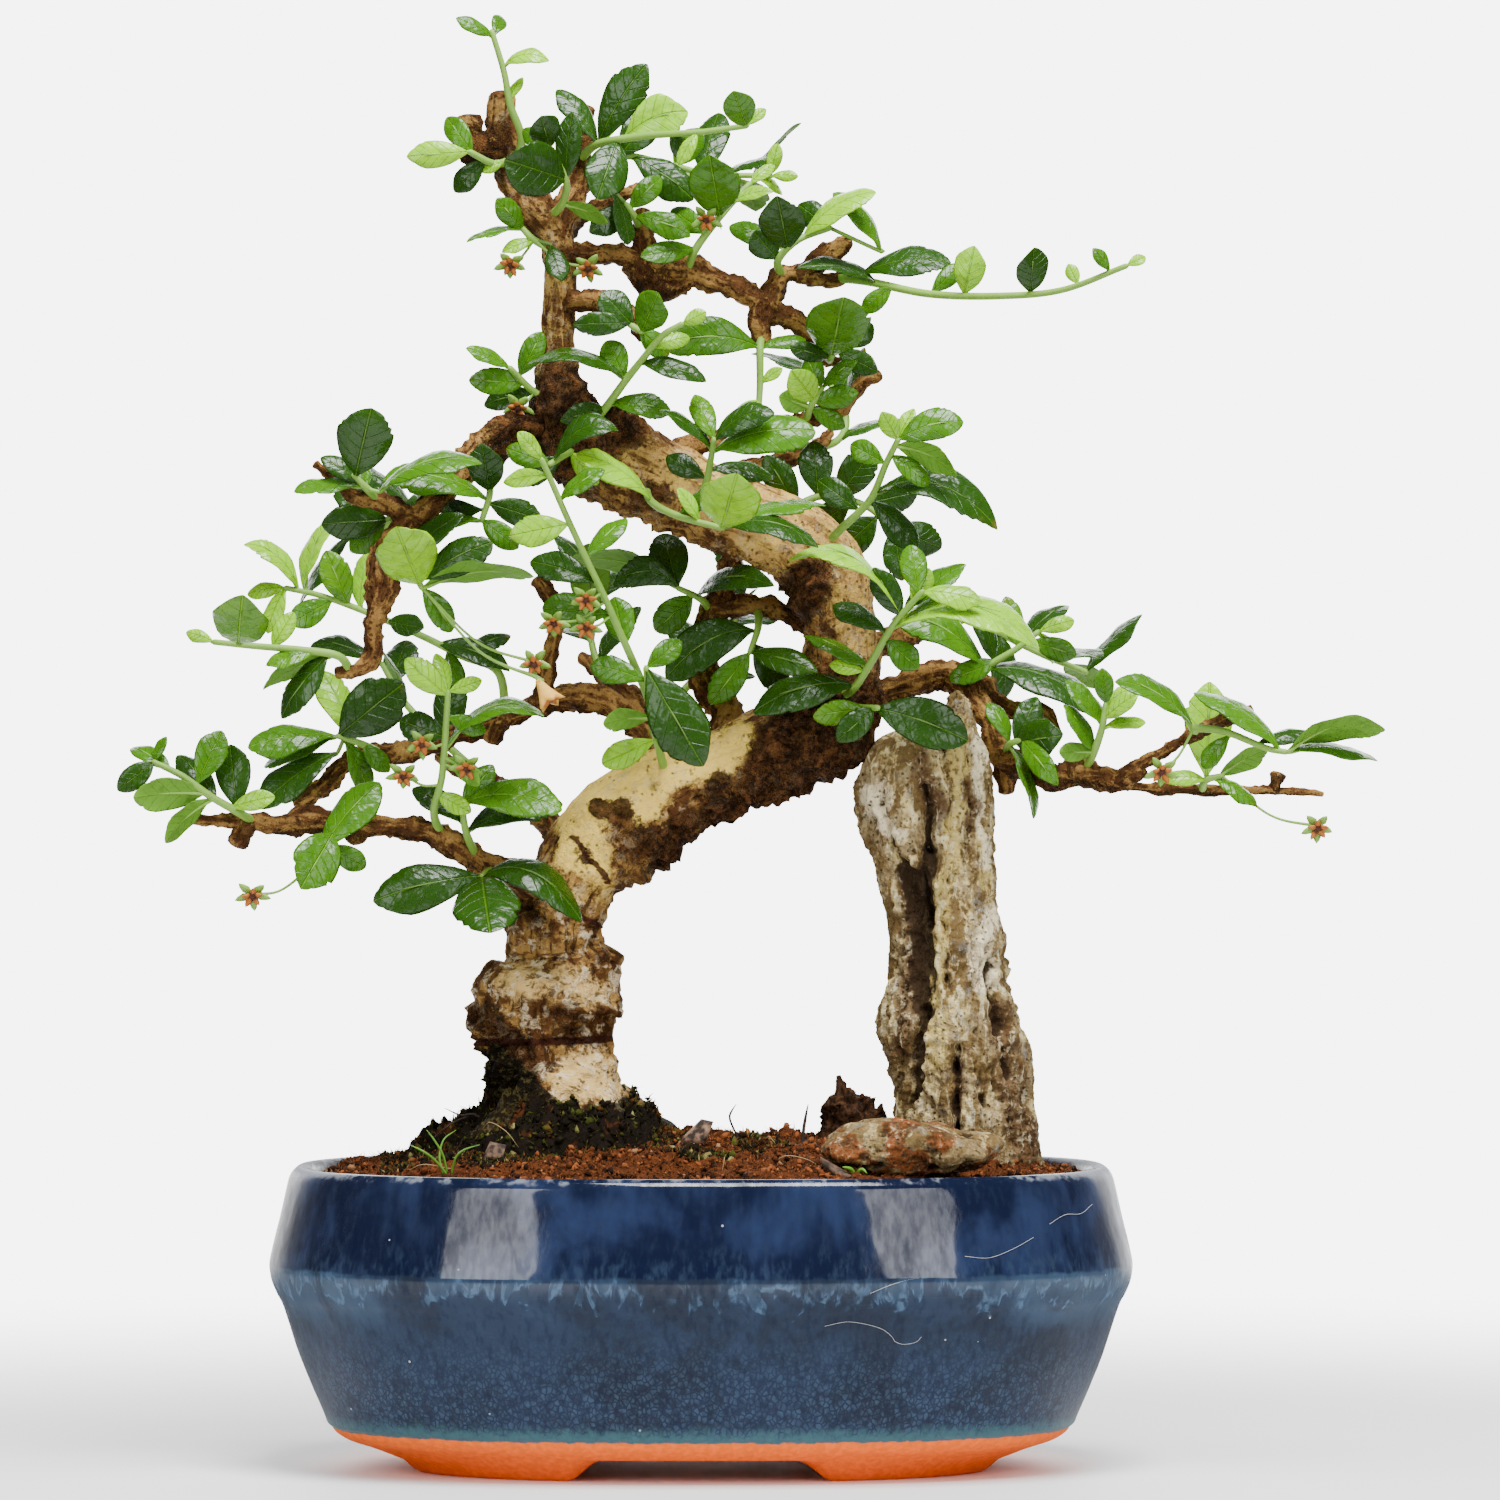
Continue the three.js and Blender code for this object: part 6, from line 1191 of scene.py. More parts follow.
class BONSAI_OT_pot(bpy.types.Operator):
    """Oval glazed pot with a ridge, an incurved upper panel and four cloud feet"""

    bl_idname = "bonsai.pot"
    bl_label = "Pot"

    def execute(self, context):
        levels = np.vstack([POT_FOOT[:1], POT_FOOT, smooth_path(POT_FLANK, 0.8), smooth_path(POT_INSIDE, 4)])
        levels[0] = UNDER_POT
        x, y = superellipse(turns(POT_SIDES)[None], levels[:, 1:2], levels[:, 2:3])
        z = np.broadcast_to(levels[:, :1], x.shape)
        lift = foot_lift(x, y)
        z = np.where(z < FOOT_HEIGHT, lift + z * (1 - lift / FOOT_HEIGHT), z)
        rings = np.stack([x, y, z], -1)
        out = unit(rings * [1, 1.3, 0] - [POT_CENTRE_X, 0, 0])
        glazed = smoothstep(GLAZE_END_Z, GLAZE_END_Z + 6, z)
        uneven = 0.1 + 0.13 * rough(rings, 15, 3, 77) + 0.03 * rough(rings, 6, 2, 78)
        rings -= out * (uneven * glazed)[..., None]
        shape = Shape()
        shape.add_rings(rings)
        pot = shape.build("glazed_pot", [glaze_finish(context.scene.bonsai_pot)], "glaze", "pot")

        hairs = Shape()
        level, wide, deep = np.transpose([row for row in POT_FLANK if row[0] > GLAZE_END_Z + 0.7])
        for points in GLAZE_HAIRS:
            line = smooth_path(np.array(points, float), 0.6)
            across = np.abs((line[:, 0] - POT_CENTRE_X) / np.interp(line[:, 1], level, wide)) ** POT_ROUNDNESS
            y = HAIR_RADIUS - np.interp(line[:, 1], level, deep) * (1 - across) ** (1 / POT_ROUNDNESS)
            hairs.add_rings(tube(np.c_[line[:, 0], y, line[:, 1], np.full(len(y), HAIR_RADIUS)], 5))
        hair = Finish("pale_hair", 0.6)
        pale = hair.set(hair.mix(hair.noise(4), (0.3, 0.32, 0.35), (0.6, 0.6, 0.58)))
        hairs.build("hairs_on_glaze", [pale], "glaze")

        for side in (-1, 1):
            cutter = bore(POT_CENTRE_X + side * DRAIN_X, DRAIN_RADIUS)
            cut = pot.modifiers.new("drain", "BOOLEAN")
            cut.operation = "DIFFERENCE"
            cut.solver = "EXACT"
            cut.object = cutter
            with context.temp_override(object=pot, active_object=pot):
                bpy.ops.object.modifier_apply(modifier=cut.name)
            bpy.data.objects.remove(cutter)
        pot.data.shade_smooth()

        screen = Finish("drain_screen", 0.55)
        weave = screen.noise(1.2, 2)
        black = screen.mix(weave, (0.008, 0.008, 0.008), (0.02, 0.02, 0.02))
        finish = screen.set(black, 0.45 + weave * 0.2, weave, 0.1)
        for name in ("drain_screen_left", "drain_screen_right"):
            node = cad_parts[name]
            node.data.materials.clear()
            node.data.materials.append(finish)
        return {"FINISHED"}


# Levels of the soil under its surface, as the pot's, and how finely the soil and the moss are divided.
SOIL_BURIED = [(13.4, 86.2, 61.2), (42, 98.4, 73), (70.5, 96.5, 71.3)]
SOIL_ROWS = 130
SOIL_SIDES = 260
MOSS_ROWS = 80
MOSS_SIDES = 200
# No loose grains lie in this oval round the standing stone, x and half sizes, or this near to the trunk.
STONE_FOOT = (54, 19, 18)
TRUNK_CLEARANCE = 17


def soil_height(x, y, share):
    """A mound of SOIL_RISE * (1 - share^2), a rise at the trunk and low waves that fade at the wall."""
    mound = SOIL_EDGE_Z + SOIL_RISE * (1 - share**2)
    at_trunk = 6 * np.exp(-((x - TRUNK_FOOT[0]) ** 2 + (y - TRUNK_FOOT[1]) ** 2) / 500)
    uneven = 0.9 * np.sin(x / 9 + 1) * np.cos(y / 11) + 0.6 * np.sin(x / 5 - y / 7)
    return mound + at_trunk + uneven * (1 - share**4)


def soil_share(x, y):
    """How far out a place lies in the pot, 1 at the wall."""
    across = np.abs((x - POT_CENTRE_X) / SOIL_HALF_WIDTH) ** POT_ROUNDNESS
    return (across + np.abs(y / SOIL_HALF_DEPTH) ** POT_ROUNDNESS) ** (1 / POT_ROUNDNESS)


def soil_top(x, y):
    """Height of the crumbly soil at a place."""
    flat = np.stack([x, y, np.zeros_like(x)], -1)
    crumbs = 1.3 * rough(flat, 9, 4, 11) + 0.9 * ridged(flat, 2.6, 3, 5) - 0.6
    return soil_height(x, y, soil_share(x, y)) + crumbs


# The smallest ball with flat faces: 12 corners of an icosahedron and its 20 faces.
GOLDEN = (1 + 5**0.5) / 2
BALL = unit(
    np.array(
        [
            [-1, GOLDEN, 0], [1, GOLDEN, 0], [-1, -GOLDEN, 0], [1, -GOLDEN, 0],
            [0, -1, GOLDEN], [0, 1, GOLDEN], [0, -1, -GOLDEN], [0, 1, -GOLDEN],
            [GOLDEN, 0, -1], [GOLDEN, 0, 1], [-GOLDEN, 0, -1], [-GOLDEN, 0, 1],
        ]
    )
)
BALL_FACES = np.array(
    [
        [0, 11, 5], [0, 5, 1], [0, 1, 7], [0, 7, 10], [0, 10, 11], [1, 5, 9], [5, 11, 4], [11, 10, 2],
        [10, 7, 6], [7, 1, 8], [3, 9, 4], [3, 4, 2], [3, 2, 6], [3, 6, 8], [3, 8, 9], [4, 9, 5], [2, 4, 11],
        [6, 2, 10], [8, 6, 7], [9, 8, 1],
    ]
)
BALL_FORM = (BALL, BALL_FACES)
# A smaller form for the finest crumbs: six corners on the axes and eight faces.
CRUMB_FORM = (
    np.array([[1.2, 0, 0], [-1.2, 0, 0], [0, 1.2, 0], [0, -1.2, 0], [0, 0, 1.2], [0, 0, -1.2]]),
    np.array([[0, 2, 4], [2, 1, 4], [1, 3, 4], [3, 0, 4], [2, 0, 5], [1, 2, 5], [3, 1, 5], [0, 3, 5]]),
)


def scatter(shape, places, radii, draw, form, **values):
    """Crumbs: each a small form whose corners are drawn in and out and whose three axes are stretched."""
    count = len(places)
    corners, sides = form
    stretch = draw.uniform(0.45, 1.4, (count, 1, 3))
    dents = draw.uniform(0.6, 1.25, (count, len(corners), 1))
    turn = draw.uniform(0, 2 * math.pi, count)[:, None]
    x, y, z = np.moveaxis(corners[None] * stretch * dents * radii[:, None, None], -1, 0)
    c, s = np.cos(turn), np.sin(turn)
    spun = np.stack([x * c - y * s, x * s + y * c, z + 0.4 * x], -1)
    faces = (sides[None] + (np.arange(count) * len(corners))[:, None, None]).reshape(-1, 3)
    spread = {name: np.repeat(value, len(corners)) for name, value in values.items()}
    shape.add(places[:, None] + spun, [faces], **spread)


def spots_in_pot(draw, count):
    """Places spread evenly over the soil, clear of the standing stone and the trunk."""
    x = draw.uniform(-SOIL_HALF_WIDTH, SOIL_HALF_WIDTH, count * 2) + POT_CENTRE_X
    y = draw.uniform(-71, 71, count * 2)
    inside = soil_share(x, y) < 0.97
    stone_x, half_width, half_depth = STONE_FOOT
    inside &= np.hypot((x - stone_x) / half_width, (y - STONE_CENTRE_Y) / half_depth) > 1
    inside &= np.hypot(x - TRUNK_FOOT[0], y - TRUNK_FOOT[1]) > TRUNK_CLEARANCE
    return x[inside][:count], y[inside][:count]


def soil_finish(settings):
    """Baked clay granules in dark peat, which also stands for painted shade in the gaps; lighter fibres are
    painted highlights.
    """
    soil = Finish("bonsai_soil", 0.95, {"Specular IOR Level": 0.08})
    shade = soil.node("ShaderNodeSeparateColor", sockets={0: soil.cells(1.4, output="Color")}, output=0)
    fibres = soil.noise(0.9, 6, distortion=1.2)
    base = soil.layers(
        settings.peat_and_shade,
        ((soil.noise(14, 4) * 0.8 + shade * 0.3 + fibres * 0.5).step(0.5, 0.9), settings.earth),
        # Painted highlights: a lit copy of the earth on the fibres.
        (fibres.step(0.52, 0.66) * 0.6, times(settings.earth, 1.9)),
    )
    return soil.set(base, 0.85 + shade * 0.1, fibres * 1.2 - soil.cells(1.4) * 0.6, depth=1.0)


def grain_finish(settings):
    """Loose grains and fibres, from nearly black through red-brown to tan, in darker and lighter drifts; the
    brightest red-brown ones are painted highlights.
    """
    grains = Finish("loose_grains", 0.9, {"Specular IOR Level": 0.08})
    drift = grains.noise(13, 4)
    shade = grains.number("shade")
    fine = grains.noise(0.7, 4)
    base = grains.layers(
        settings.peat_and_shade,
        ((shade + (drift - 0.5) * 2).step(0.2, 0.55), settings.earth),
        # Painted highlights: a lit copy of the earth on some grains and fibres.
        ((shade + drift - 0.5).step(0.5, 0.8) * 0.8, times(settings.earth, 2.7)),
        (shade.step(0.93, 0.98) * 0.6, (0.34, 0.22, 0.11)),
        (fine.step(0.5, 0.75) * 0.4, settings.peat_and_shade),
    )
    return grains.set(base, 0.85 + fine * 0.1, fine, depth=0.2)


class BONSAI_OT_soil(bpy.types.Operator):
    """Mounded soil with its loose grains and fibres"""

    bl_idname = "bonsai.soil"
    bl_label = "Soil"

    def execute(self, context):
        settings = context.scene.bonsai_soil
        level, wide, deep = np.transpose(SOIL_BURIED)[..., None]
        share = np.linspace(0.995, 0.01, SOIL_ROWS)[:, None]
        wide = np.r_[wide, SOIL_HALF_WIDTH * share]
        deep = np.r_[deep, SOIL_HALF_DEPTH * share]
        x, y = superellipse(turns(SOIL_SIDES), wide, deep)
        z = soil_top(x, y)
        z[: len(level)] = level
        shape = Shape()
        shape.add_rings(np.stack([x, y, z], -1))
        shape.build("soil_mound", [soil_finish(settings)], "soil", "soil")

        draw = np.random.default_rng(41)
        x, y = spots_in_pot(draw, settings.grains)
        largest = settings.largest / MM
        radii = largest * (0.2 + 0.8 * draw.uniform(0, 1, len(x)) ** 4)
        places = np.stack([x, y, soil_top(x, y) + radii * 0.25], -1)
        shade = draw.uniform(0, 1, len(x))
        grains = Shape()
        coarse = radii > 0.45 * largest
        for some, form in ((coarse, BALL_FORM), (~coarse, CRUMB_FORM)):
            scatter(grains, places[some], radii[some], draw, form, shade=shade[some])
        grains.build("soil_grains", [grain_finish(settings)], "soil")

        x, y = spots_in_pot(draw, settings.fibres)
        count = len(x)
        lean = draw.normal(0, 1.5, (count, 3)) * [1, 1, 0.3]
        bases = np.stack([x, y, soil_top(x, y)], -1)
        length = draw.uniform(0.1, 1.4, count)
        width = draw.uniform(0.09, 0.26, count)
        fibres = Shape()
        tufts(fibres, bases, lean, length, width, bent=False, shade=draw.uniform(0.1, 1, count))
        fibres.build("soil_fibres", [grain_finish(settings)], "soil")
        return {"FINISHED"}


# Lumps of moss and peat round the foot of the trunk: x, y, half width, half depth and height.
MOSS_LUMPS = [
    (-47, -4, 25, 29, 8.5), (-43, -14, 17, 18, 9), (-59, -4, 10, 18, 11), (-73, 6, 13, 17, 7),
    (-34, 4, 12, 16, 7.5), (-66, -14, 9, 8, 5),
]
MOSS_OVAL = (-53, -3, 39, 33)  # all of them lie within it
# How far up moss and peat cover the foot of the trunk in the front view: x and z.
MOSS_LINE = [
    (-90, 104), (-62, 104), (-58, 101), (-53, 96), (-48, 91), (-42, 88), (-36, 90), (-28, 93), (0, 93),
]
# Patches of moss on the open soil: x, y and radius.
MOSS_PATCHES = [
    (-80, -30, 12), (-12, -42, 9), (-62, -36, 8), (3, -20, 8), (28, -30, 6), (-30, 40, 12), (20, 44, 9),
]


def moss_finish(settings, name, low, high):
    """Moss from nearly black peat to green, by the shade of each tuft."""
    moss = Finish(name, 0.9, {"Specular IOR Level": 0.1})
    shade = moss.number("shade")
    fine = moss.noise(1.1, 5)
    base = moss.layers(
        (0.008, 0.005, 0.0025),
        ((shade + fine * 0.5).step(low, high), settings.moss),
        ((moss.noise(6, 4) + shade * 0.3).step(0.68, 0.8) * 0.8, times(settings.earth, 0.8)),
        (shade.step(0.88, 0.98) * 0.8, (0.3, 0.27, 0.1)),
    )
    return moss.set(base, 0.88 + fine * 0.08, fine, depth=0.8)


def moss_height(x, y):
    """The highest lump, height * (1 - share^3)^0.6 each, broken by noise, and nothing outside the lumps."""
    flat = np.stack([x, y, np.zeros_like(x)], -1)
    highest = np.zeros_like(x)
    for centre_x, centre_y, half_width, half_depth, height in MOSS_LUMPS:
        share = np.hypot((x - centre_x) / half_width, (y - centre_y) / half_depth)
        highest = np.maximum(highest, height * np.clip(1 - share**3, 0, 1) ** 0.6)
    uneven = 1 + 0.45 * rough(flat, 9, 4, 23)
    return highest * uneven + smoothstep(0, 2, highest) * (2.2 * ridged(flat, 3.4, 4, 29) - 1) - 0.9


def tufts(shape, bases, lean, length, width, bent=True, **values):
    """Three-sided blades from a base to a point moved by lean; bent ones have a third of it half way up."""
    ring = np.stack([np.cos(turns(3)), np.sin(turns(3)), np.zeros(3)], -1)
    low = bases[:, None] + ring * width[:, None, None]
    middle = (bases + UP * length[:, None] * 0.55 + lean * 0.35)[:, None] + ring * width[:, None, None] * 0.7
    tip = (bases + UP * length[:, None] + lean)[:, None]
    points = np.concatenate([low, middle, tip] if bent else [low, tip], 1)
    side = np.arange(3)
    after = (side + 1) % 3
    quads = np.stack([side, after, after + 3, side + 3], -1)
    top = 3 if bent else 0
    peaks = np.stack([side + top, after + top, np.full(3, top + 3)], -1)
    corners = points.shape[1]
    start = (np.arange(len(bases)) * corners)[:, None, None]
    parts = [quads, peaks] if bent else [peaks]
    faces = [(part[None] + start).reshape(-1, part.shape[-1]) for part in (*parts, np.array([[2, 1, 0]]))]
    shape.add(points, faces, **{name: np.repeat(value, corners) for name, value in values.items()})


# Wisps of dry root, twigs and blades of grass: points [x, y, height above the soil] and a radius.
WISPS = [
    ([(-84, -40, 0), (-80, -44, 2), (-74, -45, 1), (-69, -46, 0)], 0.13),
    ([(-66, -24, 6), (-64, -30, 9), (-60, -32, 7), (-57, -33, 3)], 0.12),
    ([(6, -46, 0), (9, -48, 2), (14, -50, 2), (18, -50, 0)], 0.12),
    ([(-40, 30, 1), (-34, 36, 5), (-26, 38, 3), (-20, 40, 0)], 0.15),
    ([(-6, -52, 0), (-6.4, -54, 2), (-6.2, -56, 3), (-6.8, -58, 0)], 0.12),
]
TWIGS = [
    ([(13, -20, -1), (13.2, -20, 4), (13.8, -20.5, 8), (14.4, -21, 11)], 0.5),
    ([(13, -20, 1), (11.5, -20.6, 1), (10, -20.8, 1.5), (8.5, -21, 1)], 0.4),
    ([(-66, -6, 5), (-69, -7, 8), (-72, -8, 9), (-76, -9, 12)], 0.35),
    ([(-70, -7, 8), (-73, -9, 8), (-76, -10, 7), (-79, -10, 5)], 0.25),
    ([(-3, -12, 0), (-5, -14, 5), (-4.6, -15, 7), (-3.4, -16, 9)], 0.3),
]
GRASS = [
    ([(-74, -48, 0), (-77, -49, 4), (-80, -51, 7), (-83, -52, 9)], 0.36),
    ([(-74, -48, 0), (-75, -49, 5), (-77, -50, 9), (-79, -50.5, 12)], 0.3),
    ([(-73, -48, 0), (-72, -49, 4), (-70, -50, 6), (-66, -51, 7)], 0.32),
    ([(-75, -47, 0), (-76, -46, 4), (-75, -45, 8), (-72, -44, 10)], 0.28),
    ([(25, -60, 0), (25, -60, 1.5), (24, -61, 2.5), (22.5, -62, 3)], 0.6),
    ([(26, -60, 0), (26.4, -60, 1.5), (27.4, -61, 2.4), (28.4, -62, 1.8)], 0.6),
]
# Flakes of bark that lie on the soil: corners [x, y, height above the soil] and how pale each is.
FLAKES = [
    ([(-17.5, -30, 0.2), (-11, -33, 1.6), (-9, -32, 7), (-12, -29.5, 6.6), (-16, -29, 2.5)], 1.0),
    ([(17, -58, 4.5), (24, -60, 1.2), (25.5, -63, 0.5), (21, -62, 0.3), (17.5, -59, 2.5)], 0.4),
    ([(-66, -36, 1), (-61, -38, 0.6), (-60, -36, 4.2), (-64, -34, 5)], 0.6),
]


def on_soil(points):
    """Points whose height is given above the soil."""
    points = np.array(points, float)
    x, y = points[:, 0], points[:, 1]
    points[:, 2] += soil_height(x, y, soil_share(x, y))
    return points


def wisp_finishes():
    """Finishes of dry roots, of twigs and flakes, and of grass."""
    wisp = Finish("dry_root", 0.8)
    dry = wisp.mix(wisp.noise(3), (0.22, 0.13, 0.05), (0.5, 0.36, 0.17))
    twig = Finish("twig_and_flake", 0.85)
    worn = twig.noise(2, 6)
    paler = twig.mix(twig.number("shade"), (0.02, 0.01, 0.005), (0.26, 0.15, 0.09))
    brown = twig.mix(worn.step(0.4, 0.65), (0.02, 0.01, 0.005), paler)
    grass = Finish("grass", 0.5)
    green = grass.mix(grass.noise(3), (0.06, 0.2, 0.01), (0.16, 0.36, 0.03))
    return [
        wisp.set(dry, 0.7 + wisp.noise(2) * 0.2),
        twig.set(brown, 0.8 + worn * 0.15, worn, depth=0.4),
        grass.set(green, 0.4 + grass.noise(2) * 0.2),
    ]


class BONSAI_OT_moss(bpy.types.Operator):
    """Moss at the foot of the trunk, wisps of dry root and blades of grass"""

    bl_idname = "bonsai.moss"
    bl_label = "Moss and wisps"

    def execute(self, context):
        settings = context.scene.bonsai_soil
        centre_x, centre_y, half_width, half_depth = MOSS_OVAL
        share = np.r_[0.3, np.linspace(1, 0.02, MOSS_ROWS)][:, None]
        x = centre_x + half_width * share * np.cos(turns(MOSS_SIDES))
        y = centre_y + half_depth * share * np.sin(turns(MOSS_SIDES))
        rise = moss_height(x, y)
        rise[0] = -3
        rings = np.stack([x, y, soil_height(x, y, soil_share(x, y)) + rise], -1)
        cushion = Shape()
        cushion.add_rings(rings, shade=np.clip(0.35 + 0.5 * noise(closed(rings), 7, 31), 0, 1))
        cushion.build("moss_cushion", [moss_finish(settings, "moss_cushion", 0.75, 1.5)], "soil")

        draw = np.random.default_rng(53)
        count = settings.tufts
        turn = draw.uniform(0, 2 * math.pi, count)
        share = np.sqrt(draw.uniform(0, 1, count))
        x = centre_x + half_width * 1.02 * share * np.cos(turn)
        y = centre_y + half_depth * 1.02 * share * np.sin(turn)
        z = np.maximum(soil_height(x, y, soil_share(x, y)) + moss_height(x, y), soil_top(x, y)) - 0.3
        green = draw.uniform(0, 1, count) * 0.8
        for patch_x, patch_y, radius in MOSS_PATCHES:
            some = count // 10
            turn = draw.uniform(0, 2 * math.pi, some)
            reach = radius * np.sqrt(draw.uniform(0, 1, some))
            more_x = patch_x + reach * np.cos(turn)
            more_y = patch_y + reach * 0.7 * np.sin(turn)
            x, y = np.r_[x, more_x], np.r_[y, more_y]
            z = np.r_[z, soil_top(more_x, more_y) - 0.2]
            green = np.r_[green, draw.uniform(0.3, 1, some)]
        length = draw.uniform(0.3, 1.9, len(x))
        lean = draw.normal(0, 1.2, (len(x), 3)) * [1, 1, 0.4]
        moss = Shape()
        tufts(moss, np.stack([x, y, z], -1), lean, length, draw.uniform(0.1, 0.4, len(x)), shade=green)
        places = np.stack([x, y, z + 0.4], -1)[::3]
        radii = draw.uniform(0.3, 1.2, len(places))
        scatter(moss, places, radii, draw, CRUMB_FORM, shade=draw.uniform(0, 1, len(places)) ** 2)
        moss.build("moss_tufts", [moss_finish(settings, "moss_tufts", 0.5, 1.2)], "soil")

        wisps = Shape()
        for slot, strands in enumerate((WISPS, TWIGS, GRASS)):
            for points, radius in strands:
                path = np.c_[on_soil(points), [radius, radius, radius * 0.8, radius * 0.25]]
                wisps.add_rings(tube(smooth_path(path, 0.8), 6), slot, shade=0.15)
        for corners, shade in FLAKES:
            outer = on_soil(corners)
            inner = outer.mean(0) + (outer - outer.mean(0)) * 0.5 + [0, -0.5, 0.3]
            rings = np.stack([inner, outer, outer + [0, 0.7, 0.1]])
            if np.cross(outer[1] - outer[0], outer[2] - outer[0])[1] > 0:
                rings = rings[:, ::-1]
            wisps.add_rings(rings, 1, shade=shade)
        wisps.build("wisps_and_grass", wisp_finishes(), "soil")
        return {"FINISHED"}


def wire_ring_z(x, z):
    """Height above the ring that a wire has left, which rises a little to the right."""
    return z - WIRE_GROOVE_Z - 0.03 * (x + 50)


def trunk_relief(depth):
    """Height of the trunk's bark: lumps, ridges along the wood, crust, bosses, pits and a wire's ring."""

    def relief(rings, out, round_along):
        flat = front_view(rings)
        lower = smoothstep(WOOD_ROUGHNESS_BELOW_Z + 6, WOOD_ROUGHNESS_BELOW_Z - 6, flat[..., 1])
        smooth_back = np.clip(blobs(rings, PALE_BARK), 0, 1) * (1 - 0.6 * lower)
        beneath = smoothstep(0.1, -0.6, out[..., 2]) * (1 - lower)
        crust = np.clip(blobs(rings, CRUSTED_BARK) + 0.8 * beneath + 0.25, 0, 1.2)
        radius = np.linalg.norm(round_along[..., :2], axis=-1)
        strength = depth * (0.8 + 0.6 * lower) * (1 - 0.75 * smooth_back) * np.clip(radius / 9, 0.35, 1)
        height = strength * (0.9 * rough(rings, 7, 4, 3) + 0.5 * lower * ridged(rings, 4.5, 2, 15))
        height += strength * 0.35 * ridged(round_along * [1, 1, 0.28], 2.2, 2, 9)
        height += strength * crust * (1.5 * np.maximum(ridged(rings, 3.4, 3, 41) - 0.3, -0.3))
        lumps = np.maximum(rough(rings, 4.5, 3, 47) - 0.05, 0)
        height += 2.6 * lumps * np.clip(beneath + 0.6 * crust, 0, 1) * np.clip(radius / 12, 0, 1)
        height += blobs(rings, TRUNK_BOSSES) * smoothstep(0.35, -0.5, out[..., 1])
        ring_z = wire_ring_z(flat[..., 0], flat[..., 1]) - 0.3 * noise(rings, 6, 4)
        ring = 0.9 * np.exp(-((ring_z / 0.5) ** 2)) - 1.5 * np.exp(-((ring_z / 1.6) ** 2))
        return height + ring * smoothstep(9, 11, radius)

    return relief


def branch_relief(depth):
    """Height of a branch's bark: knuckles, fissures along it and flaking crust, less on thinner wood."""

    def relief(rings, out, round_along):
        radius = np.linalg.norm(round_along[..., :2], axis=-1)
        knuckles = np.maximum(rough(rings, 6, 3, 21), -0.3)
        fissures = ridged(round_along * [1, 1, 0.22], 1.5, 2, 8)
        crust = np.maximum(ridged(rings, 2.6, 2, 6) - 0.45, -0.1)
        return depth * np.clip(radius / 2.6, 0.2, 1.1) * (0.8 * knuckles + 0.3 * fissures + 0.9 * crust - 0.1)

    return relief


def add_wood(shape, points, spacing, sides, relief, young, flared=True):
    """Adds one tube of wood; its foot flares by exp(-distance / radius) where it leaves what carries it."""
    points = np.array(points, float)
    path = smooth_path(np.c_[seen(points[:, :3]), points[:, 3]], spacing)
    if flared:
        path[:, 3] *= 1 + 0.45 * np.exp(-steps_along(path[:, :3]) / (1.6 * path[0, 3]))
    rings, height, round_along = tube(rounded_end(path), sides, relief)
    places = closed(rings)
    flat = front_view(places)
    above = flat[:, 1] - np.interp(flat[:, 0], *np.transpose(MOSS_LINE))
    moss = smoothstep(1.5, -1.5, above + 1.2 * rough(places, 4, 3, 17))
    # Undersides of the wood above z 140 go into the crust, less above z 188: partly crusted bark and partly
    # painted shade under the wood.
    beneath = smoothstep(0.1, -0.7, (rings - rings.mean(1, keepdims=True))[..., 2] / points[0, 3])
    beneath = np.r_[beneath.ravel(), 0, 0] * smoothstep(140, 150, places[:, 2])
    crust_and_shade_beneath = (0.55 - 0.35 * smoothstep(188, 205, places[:, 2])) * beneath
    ring = np.exp(-((wire_ring_z(places[:, 0], places[:, 2]) / 1.1) ** 2))
    wandering = flat + 0.7 * rough(places, 2.5, 2, 19)[:, None]
    for scar in RUSTY_SCARS:
        stain = np.exp(-((distance_to_line(wandering, scar) / 0.9) ** 2))
        ring = np.maximum(ring, stain * (places[:, 1] < 0))
    shape.add_rings(
        rings,
        # The relief's height, from which the finish paints shade where it sinks deepest.
        groove=with_poles(height),
        pale=np.clip(blobs(places, PALE_BARK), 0, 1) * (1 - young),
        # Crusted patches, and painted shade on the undersides of the wood.
        crust=np.clip(blobs(places, CRUSTED_BARK) + crust_and_shade_beneath, 0, 1),
        ring=ring * (1 - young),
        fibre=closed(round_along) * MM,
        moss=np.clip(moss, 0, 1) * (1 - young),
        young=young,
    )


